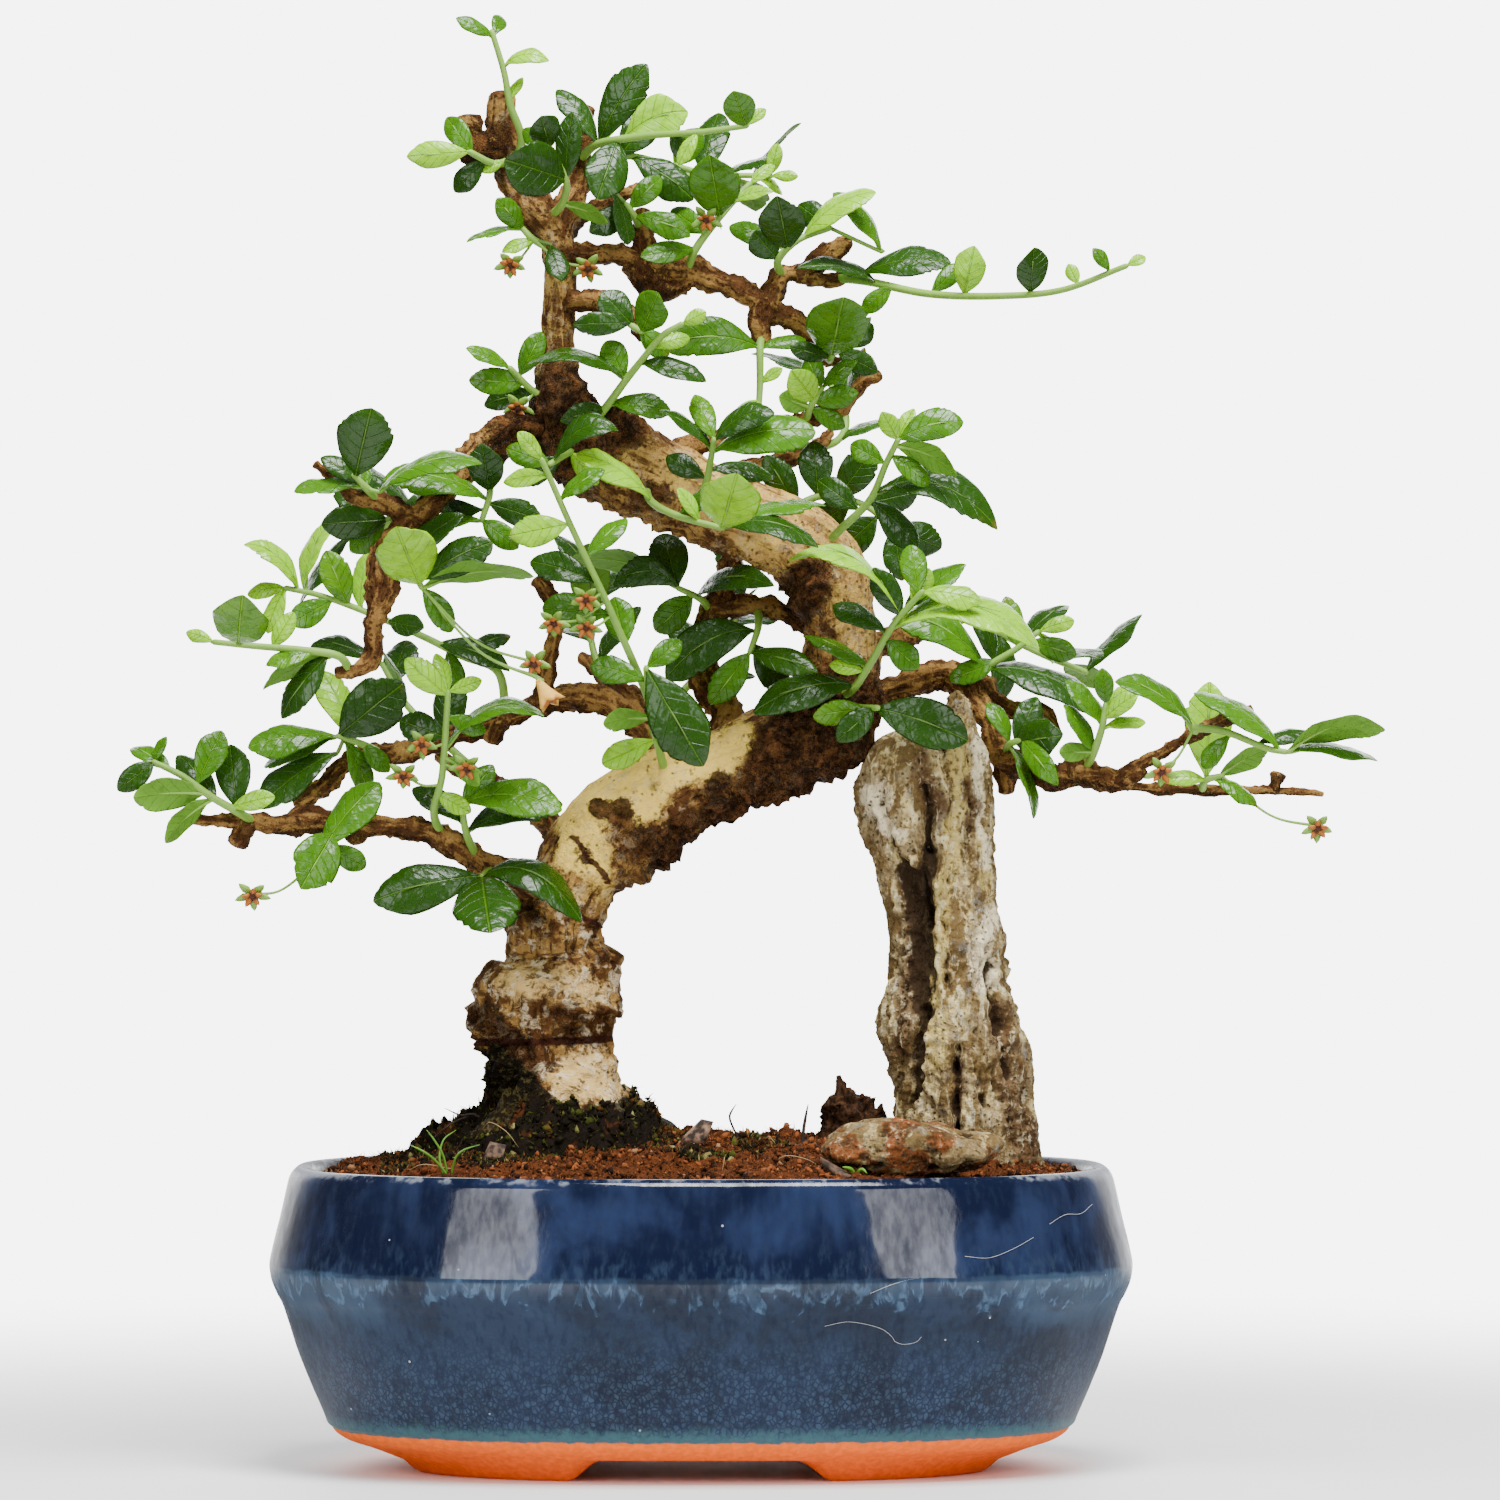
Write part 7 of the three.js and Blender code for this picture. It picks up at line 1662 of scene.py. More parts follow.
def bark_finish(settings):
    """Tan bark with pale flaked areas, brown furrows, dark crust that is partly painted shade under the wood,
    painted shade where the relief sinks deepest, a rusty wire ring and moss at the foot.
    """
    bark = Finish("bark", 0.8, {"Specular IOR Level": 0.1})
    fine = bark.noise(1.2, 8)
    tiny = bark.noise(0.45, 4)
    blotch = bark.noise(6, 6, distortion=0.5)
    flakes = bark.noise(2.8, 8, distortion=0.3)
    streaks = bark.noise(1.5, 6, bark.stretched(1, 1, 0.16, bark.number("fibre", "Vector")), 0.3)
    crust_patch = bark.noise(4, 6, distortion=0.5)
    lying = bark.noise(2.6, 6, bark.stretched(0.45, 1, 1.6), 0.6)
    young = bark.number("young")
    old = young.step(0.9, 0.1)
    detail = (flakes - 0.5) * 1.0 + (fine - 0.5) * 0.8 + (tiny - 0.5) * 0.4
    low = bark.axis("Z").step(150, 128) * old
    high = bark.axis("Z").step(186, 202) * ((blotch + fine * 0.4).step(0.55, 0.85) * 0.4 + 0.55)
    pale = (bark.number("pale") + detail * 0.85).step(0.28, 0.7)
    aged = bark.layers(
        settings.pale,
        (high + (flakes + fine * 0.4).step(0.66, 0.86) * 0.3, (0.5, 0.29, 0.085)),
        (low * 0.8, (0.66, 0.44, 0.19)),
    )
    cracks = (streaks + (fine - 0.5) * 0.35).step(0.54, 0.64) * (1 - pale * 0.8)
    splits = (streaks + (fine - 0.5) * 0.5 + (blotch - 0.5) * 0.3).step(0.5, 0.62) * high
    pitted = (bark.noise(5, 4) + high * 0.12).step(0.46, 0.6)
    specks = (bark.cells(1.7) + (tiny - 0.5) * 0.25).step(0.32, 0.18) * pitted
    # The crust mask also carries painted shade on the undersides of the wood.
    crust = (bark.number("crust") + detail * 1.15).step(0.36, 0.66)
    crust_colour = bark.layers(
        settings.dark,
        ((fine + tiny * 0.4).step(0.6, 0.8), settings.brown),
        (crust_patch.step(0.5, 0.66), times(settings.brown, 1.9)),
        (crust_patch.step(0.46, 0.36) * 0.8, times(settings.dark, 0.6)),
    )
    crusted = (bark.number("crust") + detail * 0.6).step(0.3, 0.7)
    flaked = (bark.noise(3.6, 8, distortion=0.4) + detail * 0.5).step(0.52, 0.66)
    moss = bark.mix((fine + blotch * 0.4).step(0.7, 0.85), (0.007, 0.005, 0.002), (0.075, 0.062, 0.018))
    base = bark.layers(
        settings.brown,
        ((blotch + detail * 0.5 - young * 0.12).step(0.4, 0.62), settings.tan),
        ((blotch - detail * 0.4).step(0.55, 0.75) * 0.5, times(settings.tan, 1.35)),
        (pale * 0.95, aged),
        (young * (streaks + (tiny - 0.5) * 0.3).step(0.5, 0.4) * 0.55, times(settings.tan, 1.15)),
        (cracks * 0.8, times(settings.brown, 0.6)),
        (splits * 0.6, settings.brown),
        # Painted shade: the dark bark colour where the relief sinks deepest.
        ((bark.number("groove") + detail * 0.9).step(-0.1, -1.1) * 0.85, settings.dark),
        (specks * 0.7, settings.dark),
        (crust * 0.95, crust_colour),
        (flaked * (low * 0.6 + 0.2) * old * (1 - crusted * 0.85), (0.78, 0.63, 0.4)),
        ((lying + detail * 0.3).step(0.56, 0.66) * low * 0.8, times(settings.brown, 0.5)),
        ((bark.number("ring") + detail * 0.5).step(0.35, 0.65) * 0.95, (0.045, 0.012, 0.006)),
        ((bark.number("moss") + detail * 0.9).step(0.35, 0.7) * 0.95, moss),
    )
    height = (fine + flakes) * 0.7 + tiny * 0.3 + crust * (fine + tiny) * 0.9 - specks * 0.3 - cracks * 0.6
    return bark.set(base, 0.68 + fine * 0.24, height, depth=1.2)


class BONSAI_OT_wood(bpy.types.Operator):
    """Trunk, surface roots, branches and stubs with their bark"""

    bl_idname = "bonsai.wood"
    bl_label = "Trunk and branches"

    def execute(self, context):
        settings = context.scene.bonsai_wood
        depth = settings.relief / MM
        shape = Shape()
        add_wood(shape, TRUNK, 0.9, 88, trunk_relief(depth), 0, flared=False)
        for points in ROOTS:
            add_wood(shape, points, 1.2, 32, trunk_relief(depth), 0)
        for points in BRANCHES.values():
            add_wood(shape, points, 1.1, 26 if points[0][3] > 3 else 16, branch_relief(depth), 1)
        shape.build("trunk_and_branches", [bark_finish(settings)], "bark", "trunk")

        stub = Shape()
        add_wood(stub, ROOT_STUB, 0.7, 40, branch_relief(depth * 2.4), 1, flared=False)
        for points in STUB_SPLINTERS:
            add_wood(stub, points, 0.6, 14, branch_relief(depth * 1.6), 1, flared=False)
        dead = Finish("dead_wood", 0.85, {"Specular IOR Level": 0.1})
        fine = dead.noise(1.2, 6, dead.stretched(1, 1, 0.3))
        base = dead.mix(fine.step(0.35, 0.7), (0.012, 0.006, 0.003), (0.09, 0.04, 0.018))
        stub.build("dead_root_stub", [dead.set(base, 0.8 + fine * 0.15, fine, 0.7)], "dead_wood", "root_stub")
        return {"FINISHED"}


def distance_to_line(flat, line):
    """Distance from places in the front view to a broken line."""
    nearest = np.full(flat.shape[:-1], np.inf)
    line = np.array(line, float)
    for start, end in zip(line, line[1:]):
        step = end - start
        share = np.clip(((flat - start) @ step) / (step @ step), 0, 1)
        nearest = np.minimum(nearest, np.linalg.norm(flat - start - share[..., None] * step, axis=-1))
    return nearest


def stone_rings(levels, rows, sides):
    """Ovals between a left and a right edge: centre + cos a * half width, sin a * half depth."""
    table = smooth_path(levels, 0.5)
    z = np.linspace(levels[0][0], levels[-1][0], rows)
    left, right, depth = (np.interp(z, table[:, 0], table[:, k]) for k in (1, 2, 3))
    closing = np.sqrt(1 - np.clip((z - levels[-1][0] + 2.5) / 2.5, 0, 0.97) ** 2)
    angle = turns(sides)
    centre = seen(np.stack([(left + right) / 2, np.full(rows, STONE_CENTRE_Y), z], -1))
    half = ((right - left) / 2 * closing)[:, None]
    x = centre[:, :1] + np.cos(angle) * half
    y = centre[:, 1:2] + np.sin(angle) * (depth * closing)[:, None]
    return np.stack([x, y, np.broadcast_to(centre[:, 2:], x.shape)], -1), angle


def near_lines(places, lines, seed):
    """1 on broken lines in the front view, falling to 0 at their width, with a ragged edge."""
    flat = front_view(places) + (1.6 * rough(places, 5, 3, seed))[..., None]
    total = np.zeros(flat.shape[:-1])
    for line, width in lines:
        total = np.maximum(total, np.exp(-((distance_to_line(flat, line) / width) ** 2)))
    return total


def carve_stone(rings, angle, seed):
    """Moves a stone's surface along its flat outward direction: tall ribs, crags, hollows and furrows."""
    out = np.stack([np.cos(angle), np.sin(angle), np.zeros_like(angle)], -1)[None]
    flat = front_view(rings)
    warped = rings + np.stack([rough(rings, 7, 3, seed + 10 + k) for k in range(3)], -1) * [1.6, 1.6, 3]
    ribs = ridged(warped * [1, 1, 0.24], 7.5, 2, seed)
    crags = ridged(warped * [1, 1, 0.5], 4.6, 4, seed + 1)
    chips = np.round(rough(warped * [1, 1, 0.7], 4, 2, seed + 6) * 2.2) / 2.2
    hollows = np.clip(noise(warped * [1, 1, 0.5], 5, seed + 2) - 0.3, 0, 1)
    thin = ridged(warped * [1, 1, 0.2], 2.8, 2, seed + 8)
    height = -2.1 + 1.1 * ribs + 0.9 * crags + 0.7 * chips + 0.8 * thin - 3.4 * hollows
    height += 0.6 * rough(rings, 1.7, 2, seed + 3)
    front = smoothstep(0.2, -0.4, np.broadcast_to(out[..., 1], height.shape))
    wander = 1.3 * rough(rings, 5, 3, seed + 4)
    for line, width, depth in STONE_FURROWS:
        distance = distance_to_line(flat + wander[..., None], line)
        height -= depth * smoothstep(1.4 * width, 0.5 * width, distance) * front
    height = np.where(height > 0, height * 0.45, height)
    return rings + out * height[..., None], height


def stone_finish(settings, name, ochre_from, rust, lightest):
    """Weathered limestone: grey under a cream crust, yellow and white streaks, brown streaks along the
    furrows that are partly painted shade, and near-black painted shade in the furrows.
    """
    stone = Finish(name, 0.85, {"Specular IOR Level": 0.12})
    grain = stone.noise(1.3, 8)
    tiny = stone.noise(0.5, 4)
    patch = stone.noise(8, 6, distortion=0.5)
    streaks = stone.noise(4, 6, stone.stretched(1, 1, 0.3), 0.6)
    thin = stone.noise(1.6, 6, stone.stretched(1, 1, 0.22), 0.4)
    detail = (grain - 0.5) * 1.1 + (tiny - 0.5) * 0.5 + (streaks - 0.5) * 1.0
    pits = (stone.cells(1.5) + (tiny - 0.5) * 0.3).step(0.3, 0.14) * patch.step(0.4, 0.6)
    brown = stone.mix((grain + patch).step(0.8, 1.2), (0.05, 0.018, 0.006), rust)
    base = stone.layers(
        settings.ochre,
        ((patch + detail * 0.35).step(0.42, 0.64), settings.grey),
        ((streaks + detail * 0.25).step(0.5, 0.68) * 0.8, settings.cream),
        ((streaks * 0.6 + patch * 0.7).step(*ochre_from) * 0.75, settings.ochre),
        ((stone.noise(5, 5) + detail * 0.25).step(0.58, 0.7) * 0.6, (0.17, 0.17, 0.165)),
        # Yellow streaks; along the central ridge partly a painted highlight.
        ((stone.number("yellow") + detail * 0.8).step(0.35, 0.85) * 0.75, (0.6, 0.46, 0.15)),
        ((stone.number("white") + detail * 0.8).step(0.4, 0.95) * 0.8, (0.92, 0.8, 0.54)),
        # Brown streaks: partly painted shade along the standing stone's furrows, and rusty patches on the
        # lying stone.
        ((stone.number("brown") + detail * 0.9).step(0.35, 0.75) * 0.85, brown),
        ((grain + streaks * 0.5).step(0.84, 0.98) * 0.5, (0.72, 0.64, 0.44)),
        ((grain + patch * 0.4).step(0.62, 0.5) * 0.7, (0.09, 0.055, 0.025)),
        # Thin cracks in a lighter copy of the painted furrow shade.
        ((thin + detail * 0.2).step(0.56, 0.68) * 0.6, times(settings.furrow_shade, 2.2)),
        ((thin - detail * 0.2).step(0.42, 0.32) * lightest, (0.8, 0.72, 0.46)),
        # Painted shade: near black where the carving is deepest.
        ((stone.number("groove") + detail * 2.0).step(-1.7, -3.4) * 0.94, settings.furrow_shade),
        (pits * 0.75, (0.04, 0.022, 0.01)),
    )
    height = grain + streaks * 0.5 + tiny * 0.3 - pits * 0.6
    return stone.set(base, 0.78 + grain * 0.18, height, depth=1.0)


def lying_stone_rings(rows=100, sides=150):
    """A ball stretched, bulged by sines and carved by noise, and the height of the carving."""
    polar = np.linspace(0.02, math.pi - 0.02, rows)[:, None]
    angle = turns(sides)
    px = -np.cos(polar) * np.ones(sides)
    py = np.sin(polar) * np.cos(angle)
    pz = np.sin(polar) * np.sin(angle)
    ball = np.stack([px, py, pz], -1)
    bulge = 0.09 * np.sin(4.1 * px + 2 * py) * np.cos(3.3 * pz + 1.2)
    girth = 1 + bulge + 0.05 * np.sin(7 * py + px)
    flat = 1 - 0.22 * np.maximum(0, px)
    places = seen(LYING_STONE) + ball * np.stack([girth, girth, girth * flat], -1) * LYING_STONE_HALF
    height = 1.1 * ridged(places * [0.5, 1, 1], 4.5, 3, 81) - 1.1
    height += 1.5 * rough(places * [0.6, 1, 1], 6, 4, 85)
    height = np.where(height > 0, height * 0.4, height)
    return places + ball * height[..., None], height


class BONSAI_OT_stones(bpy.types.Operator):
    """The furrowed standing stone and the low lying stone"""

    bl_idname = "bonsai.stones"
    bl_label = "Stones"

    def execute(self, context):
        settings = context.scene.bonsai_stone
        standing = Shape()
        for levels, rows, sides, seed in ((STONE_BODY, 280, 180, 60), (STONE_PEAK, 130, 90, 70)):
            rings, height = carve_stone(*stone_rings(levels, rows, sides), seed)
            places = closed(rings)
            standing.add_rings(
                rings,
                # The carving's depth, which the finish turns into painted shade in the furrows.
                groove=with_poles(height),
                yellow=near_lines(places, STONE_YELLOW_AND_HIGHLIGHT, 5),
                white=near_lines(places, STONE_WHITE, 6),
                # Brown streaks along the furrows, partly painted shade.
                brown=near_lines(places, STONE_BROWN_AND_SHADE, 7),
            )
        finish = stone_finish(settings, "standing_stone", (0.72, 0.86), (0.17, 0.1, 0.045), 0.55)
        standing.build("furrowed_standing_stone", [finish], "stone", "standing_stone")

        rings, height = lying_stone_rings()
        places = closed(rings)
        lying = Shape()
        lying.add_rings(
            rings,
            # The carving's depth, raised, which the finish turns into painted shade in the hollows.
            groove=with_poles(height) * 1.7,
            yellow=0,
            white=0.2 * smoothstep(0.3, 1.1, rough(places, 7, 3, 87)),
            brown=smoothstep(-0.35, 0.2, rough(places, 6, 4, 89)),
        )
        finish = stone_finish(settings, "lying_stone", (0.55, 0.74), (0.26, 0.065, 0.014), 0.1)
        lying.build("lying_rock", [finish], "stone", "lying_stone")
        return {"FINISHED"}


# Outline of a blade from base to tip, (share of the length, share of the half width). Every second row from
# TEETH_FROM on may be drawn in as a notch between two teeth.
OUTLINE = [
    (0.0, 0.05), (0.05, 0.14), (0.12, 0.34), (0.21, 0.58), (0.31, 0.78), (0.42, 0.92), (0.53, 0.99),
    (0.63, 1.0), (0.69, 0.985), (0.715, 0.955), (0.77, 0.9), (0.795, 0.87), (0.845, 0.76), (0.865, 0.72),
    (0.91, 0.58), (0.928, 0.52), (0.965, 0.34), (0.985, 0.2), (1.0, 0.04),
]
TEETH_FROM = 9
SMOOTH_BELOW = 13  # a leaf seen shorter than this has no teeth yet
UPPER_COLUMNS = np.array([-1, -0.9, -0.45, 0, 0.45, 0.9, 1])
LOWER_COLUMNS = np.array([0.9, 0.45, 0, -0.45, -0.9])
TONES = {"D": 0.0, "M": 1.0, "B": 2.0, "P": 1.0}
GOLDEN_ANGLE = 2.39996
DRAWN_FROM = 2207  # the first number of the draws that the whorls are grown with
# Places on a blade that must be clear: shares of its length and of its width.
PROBES = np.array(
    [[0.4, 0], [0.6, 0], [0.82, 0], [1, 0], [0.6, -0.3], [0.6, 0.3], [0.84, -0.44], [0.84, 0.44]]
)
BENDS = (0, 4, -4, 8, -8, 12, -12, 16, -16, 20, -20)  # how far a leaf's tip is moved to clear what is near it
DEEPEST = 76  # no tip goes further back or forward
PARK_MILLER_FACTOR = 16807
PARK_MILLER_PRIME = 2147483647
NOBODY = -1  # the owner of wood and stone
UPPER_SLOT, UNDER_SLOT, SHOOT_SLOT, FLOWER_SLOT = range(4)
FLOWER_TILT = math.pi / 2 + 0.5
# Points of a withered flower, petals then sepals: finish, reach, width, lift, start on the axis and turn.
FLOWER_POINTS = ((FLOWER_SLOT, 3.0, 0.9, 1.3, 0.3, 0), (SHOOT_SLOT, 4.7, 1.15, 0.9, -0.7, math.pi / 5))
BELL_SIDES = 20
BELL_LENGTH = 6.5


class Leaf:
    """Frame of a blade: along from its base to its tip, up from its upper face, and across."""

    def __init__(self, root, base, tip, width, up_hint, lift, seen_length, tone):
        self.root = root
        self.base = base
        self.length = float(np.linalg.norm(tip - base))
        self.along = (tip - base) / self.length
        self.up = unit(up_hint - self.along * (up_hint @ self.along))
        self.across = np.cross(self.along, self.up)
        self.width = width
        self.lift = lift
        self.seen_length = seen_length
        self.tone = tone

    def place(self, t, s, h):
        """base + along * t * length + up * (arch - curl * 4 s^2 + h) + across * s * width, lifted midway."""
        t, s, h = (part[..., None] for part in np.broadcast_arrays(t, s, h))
        hump = 4 * t * (1 - t)
        raised = BLADE_ARCH * self.length * hump - BLADE_CURL * self.width * 4 * s * s + h
        return (
            self.base
            + self.along * (t * self.length)
            + self.up * raised
            + self.across * (s * self.width)
            + UP * (self.lift * hump)
        )

    def probes(self):
        """Places on the blade that must be clear."""
        return self.place(PROBES[:, 0], PROBES[:, 1], 0)


def nearest_on_stem(stem, x, z):
    """The point of a stem that is seen nearest to a place, and how far from it."""
    spots = stem[1:2]
    if len(stem) > 2:
        share = (np.arange(9) / 8)[:, None]
        spots = np.concatenate([a + (b - a) * share for a, b in zip(stem[1:], stem[2:])])
    flat = front_view(spots)
    distance = np.hypot(flat[:, 0] - x, flat[:, 1] - z)
    nearest = int(distance.argmin())
    return spots[nearest], distance[nearest]


def seen_leaf(stem, read, bend):
    """A leaf read from the front: what its seen length lacks becomes depth, what its width lacks its roll."""
    base_x, base_z, tip_x, tip_z, seen_width, kind, lift = (*read, 0)[:7]
    root, distance = nearest_on_stem(stem, base_x, base_z)
    seen_length = math.hypot(tip_x - base_x, tip_z - base_z)
    length = max(seen_length, BLADE_LENGTH_SHARE * seen_width)
    width = max(seen_width, BLADE_WIDTH_SHARE * length)
    depth = max(math.sqrt(length**2 - seen_length**2), 0.22 * length)
    back = depth if kind[1] == "+" else -depth
    base = seen([base_x, root[1], base_z]) if distance > 3 else root
    tip = seen([tip_x, root[1] + back + bend, tip_z])
    along = unit(tip - base)
    facing = np.array([0, 1.0 if kind[0] == "P" else -1.0, 0])
    facing = unit(facing - along * (facing @ along))
    sideways = np.cross(along, facing)
    roll = math.acos(min(1, seen_width / width)) * (1 if sideways[2] >= 0 else -1)
    up = facing * math.cos(roll) + sideways * math.sin(roll)
    return Leaf(root, base, tip, width, up, lift, seen_length, TONES[kind[0]])


def whorl(stem, count, draw):
    """Leaves round a stem, each turned by the golden angle: [root, tip, width]."""
    grown = []
    for i in range(count):
        place = 1 + (len(stem) - 2.001) * i / (count - 1)
        index = int(place)
        root = stem[index] + (stem[index + 1] - stem[index]) * (place - index)
        along = unit(stem[index + 1] - stem[index])
        side = unit(np.array([along[2], 0, -along[0]]))
        other = np.cross(along, side)
        turn = GOLDEN_ANGLE * i + draw(-0.3, 0.3)
        length = draw(17, 23)
        reach = unit((side * math.cos(turn) + other * math.sin(turn)) * 0.8 + along * 0.5 + UP * 0.25)
        grown.append((root, root + reach * length, length * draw(0.44, 0.54)))
    return grown


def grown_leaf(grown, bend):
    """A leaf of a whorl, bent forward or back."""
    root, tip, width = grown
    tip = np.array([tip[0], min(tip[1] + bend, 78), tip[2]])
    return Leaf(root, root, tip, width, np.array([0, -0.35, 1.0]), 0, SMOOTH_BELOW + 1, 0.0)


class Obstacles:
    """Balls that a leaf must stay clear of; those of its own spray only count further out along it."""

    def __init__(self):
        self.places = []
        self.radii = []
        self.owners = []

    def add(self, places, radii, owner):
        self.places.append(np.atleast_2d(places))
        self.radii.append(np.broadcast_to(np.asarray(radii, float), len(self.places[-1])))
        self.owners.append(np.full(len(self.places[-1]), owner))

    def add_wood(self, points):
        """Balls every 2.5 mm or so along a branch."""
        for start, end in zip(points, points[1:]):
            a, b = seen([start[:3], end[:3]])
            steps = max(1, math.ceil(np.linalg.norm(b - a) / 2.5))
            share = np.arange(steps) / steps
            self.add(a + (b - a) * share[:, None], start[3] + (end[3] - start[3]) * share, NOBODY)

    def add_stone(self, levels):
        """Three balls abreast at each level of a stone."""
        for z, left, right, depth in levels:
            half = (right - left) / 2
            for side in (-1, 0, 1):
                place = seen([(left + right) / 2 + side * max(0, half - depth), STONE_CENTRE_Y, z])
                self.add(place, min(depth, half), NOBODY)

    def room(self, leaf, owner):
        """The least distance from the leaf's probes to the balls round it."""
        places, radii, owners = (np.concatenate(part) for part in (self.places, self.radii, self.owners))
        near = np.linalg.norm(places - leaf.base, axis=1) <= leaf.length + 25
        room = np.linalg.norm(places[near][:, None] - leaf.probes()[None], axis=2) - radii[near][:, None]
        room[owners[near] == owner, :3] = np.inf
        return room.min(initial=np.inf)

    def bent_clear(self, make, owner):
        """The leaf with the least bend that clears everything, or else with the most room."""
        best, most = None, -math.inf
        for bend in BENDS:
            leaf = make(bend)
            if abs(leaf.place(1, 0, 0)[1]) > DEEPEST:
                continue
            room = self.room(leaf, owner)
            if room > most:
                best, most = leaf, room
            if room >= LEAF_CLEARANCE:
                break
        self.add(best.probes(), 0, owner)
        return best


def placed_leaves():
    """Every spray's stem and its leaves, placed by the rule that the solids follow, then the young leaves."""
    state = DRAWN_FROM

    def draw(low, high):
        nonlocal state
        state = state * PARK_MILLER_FACTOR % PARK_MILLER_PRIME
        return low + (high - low) * state / PARK_MILLER_PRIME

    obstacles = Obstacles()
    for points in (TRUNK, *ROOTS, *BRANCHES.values()):
        obstacles.add_wood(points)
    for levels in (STONE_BODY, STONE_PEAK):
        obstacles.add_stone(levels)
    stems = [seen(spray["stem"]) for spray in SPRAYS.values()]
    for number, stem in enumerate(stems):
        if len(stem) > 2:
            obstacles.add(stem[2:], 0.6, number)
    leaves = []
    for number, (stem, spray) in enumerate(zip(stems, SPRAYS.values())):
        if "whorl" in spray:
            grown = whorl(stem, spray["whorl"], draw)
            makers = [lambda bend, one=one: grown_leaf(one, bend) for one in grown]
        else:
            makers = [lambda bend, one=one: seen_leaf(stem, one, bend) for one in spray["leaves"]]
        leaves.append([obstacles.bent_clear(make, number) for make in makers])
    for number, (stem, spray) in enumerate(zip(stems, SPRAYS.values())):
        for read in spray.get("young", []):
            leaves[number].append(obstacles.bent_clear(lambda bend: seen_leaf(stem, read, bend), number))
    return list(zip(stems, leaves))


def add_blade(shape, leaf, thickness, chance):
    """A blade as rings round its edge: lens-shaped in section, folded and creased along the middle, waved and
    near the tip notched differently on each side.
    """
    outline = np.array(OUTLINE)
    columns = np.r_[UPPER_COLUMNS, LOWER_COLUMNS]
    t = outline[:, :1] ** chance.uniform(0.86, 1.12)
    pointed = 1 - chance.uniform(0, 0.3) * smoothstep(0.7, 1, t)
    notch = np.zeros((len(outline), 2))
    if leaf.seen_length >= SMOOTH_BELOW:
        count = len(notch[TEETH_FROM:-1:2])
        depth = chance.uniform(0.03, 0.15, (count, 2))
        notch[TEETH_FROM:-1:2] = depth * (chance.uniform(0, 1, (count, 2)) < 0.5)
    half = outline[:, 1:] * pointed * (1 - np.where(columns > 0, notch[:, :1], notch[:, 1:]))
    upper = np.arange(len(columns)) < len(UPPER_COLUMNS)
    s = 0.5 * half * columns
    lens = thickness / 2 * np.sqrt(1 - columns**2) * np.where(upper, 1, -1)
    size = leaf.width / 10
    crease = -0.35 * size * np.exp(-((columns / 0.3) ** 2)) * half * np.where(upper, 1, 0.6)
    phase = chance.uniform(0, 2 * math.pi, 3)
    side_phase = np.where(columns > 0, phase[0], phase[1])
    waves = 0.42 * size * np.sin(t * 12 + side_phase) * columns**2 * half
    bulges = np.sin(t * 30 - np.abs(columns) * 4 + phase[2]) * (1 - columns**2) * np.abs(columns)
    twist = chance.normal(0, 0.13) * leaf.width * columns * t * half
    droop = -chance.uniform(0, 0.14) * leaf.length * t**3
    fold = chance.uniform(-0.04, 0.32) * leaf.width * np.abs(s)
    height = lens * np.minimum(1, half * 3) + crease + waves + 0.22 * size * bulges + twist + droop + fold
    rings = leaf.place(np.broadcast_to(t, s.shape), s, height)
    faces = closed_faces(*s.shape)
    below = np.arange(len(faces[0])) % len(columns) >= len(UPPER_COLUMNS) - 1
    shape.add(
        closed(rings),
        faces,
        [np.where(below, UNDER_SLOT, UPPER_SLOT), UPPER_SLOT, UPPER_SLOT],
        tone=leaf.tone + chance.normal(0, 0.14),
        shade=chance.uniform(0, 1),
        along=np.r_[np.repeat(t[:, 0], len(columns)), 0, 1],
        across=np.r_[(columns * half).ravel(), 0, 0],
    )


def add_strand(shape, path, sides, shade, tone=1):
    """A green tube: a shoot, a leaf's stalk or a flower's."""
    along = np.r_[np.repeat(np.linspace(0, 1, len(path)), sides), 0, 1]
    shape.add_rings(tube(path, sides), SHOOT_SLOT, tone=tone, shade=shade, along=along, across=0)


def add_stalk(shape, leaf, chance):
    """The stalk from the stem to the blade and the midrib that it runs on in, under the blade."""
    under = -0.35 * leaf.width / 10 - 0.15
    midrib = [leaf.place(t, 0, under) for t in (0.06, 0.25, 0.5, 0.75)]
    ends = [leaf.root] if np.linalg.norm(leaf.root - leaf.base) < 1.5 else [leaf.root, leaf.base]
    radii = [0.55] * len(ends) + [0.5, 0.36, 0.26, 0.12]
    path = smooth_path(np.c_[[*ends, *midrib], radii], 2.2)
    add_strand(shape, path, 5, chance.uniform(0, 1), leaf.tone)


def hanging_from(root, end):
    """The first two points of a flower's stalk, which sags by 0.12 of its length, with their radii."""
    sag = (root + end) / 2 - UP * 0.12 * np.linalg.norm(root - end)
    return [[*root, 0.4], [*sag, 0.34]]


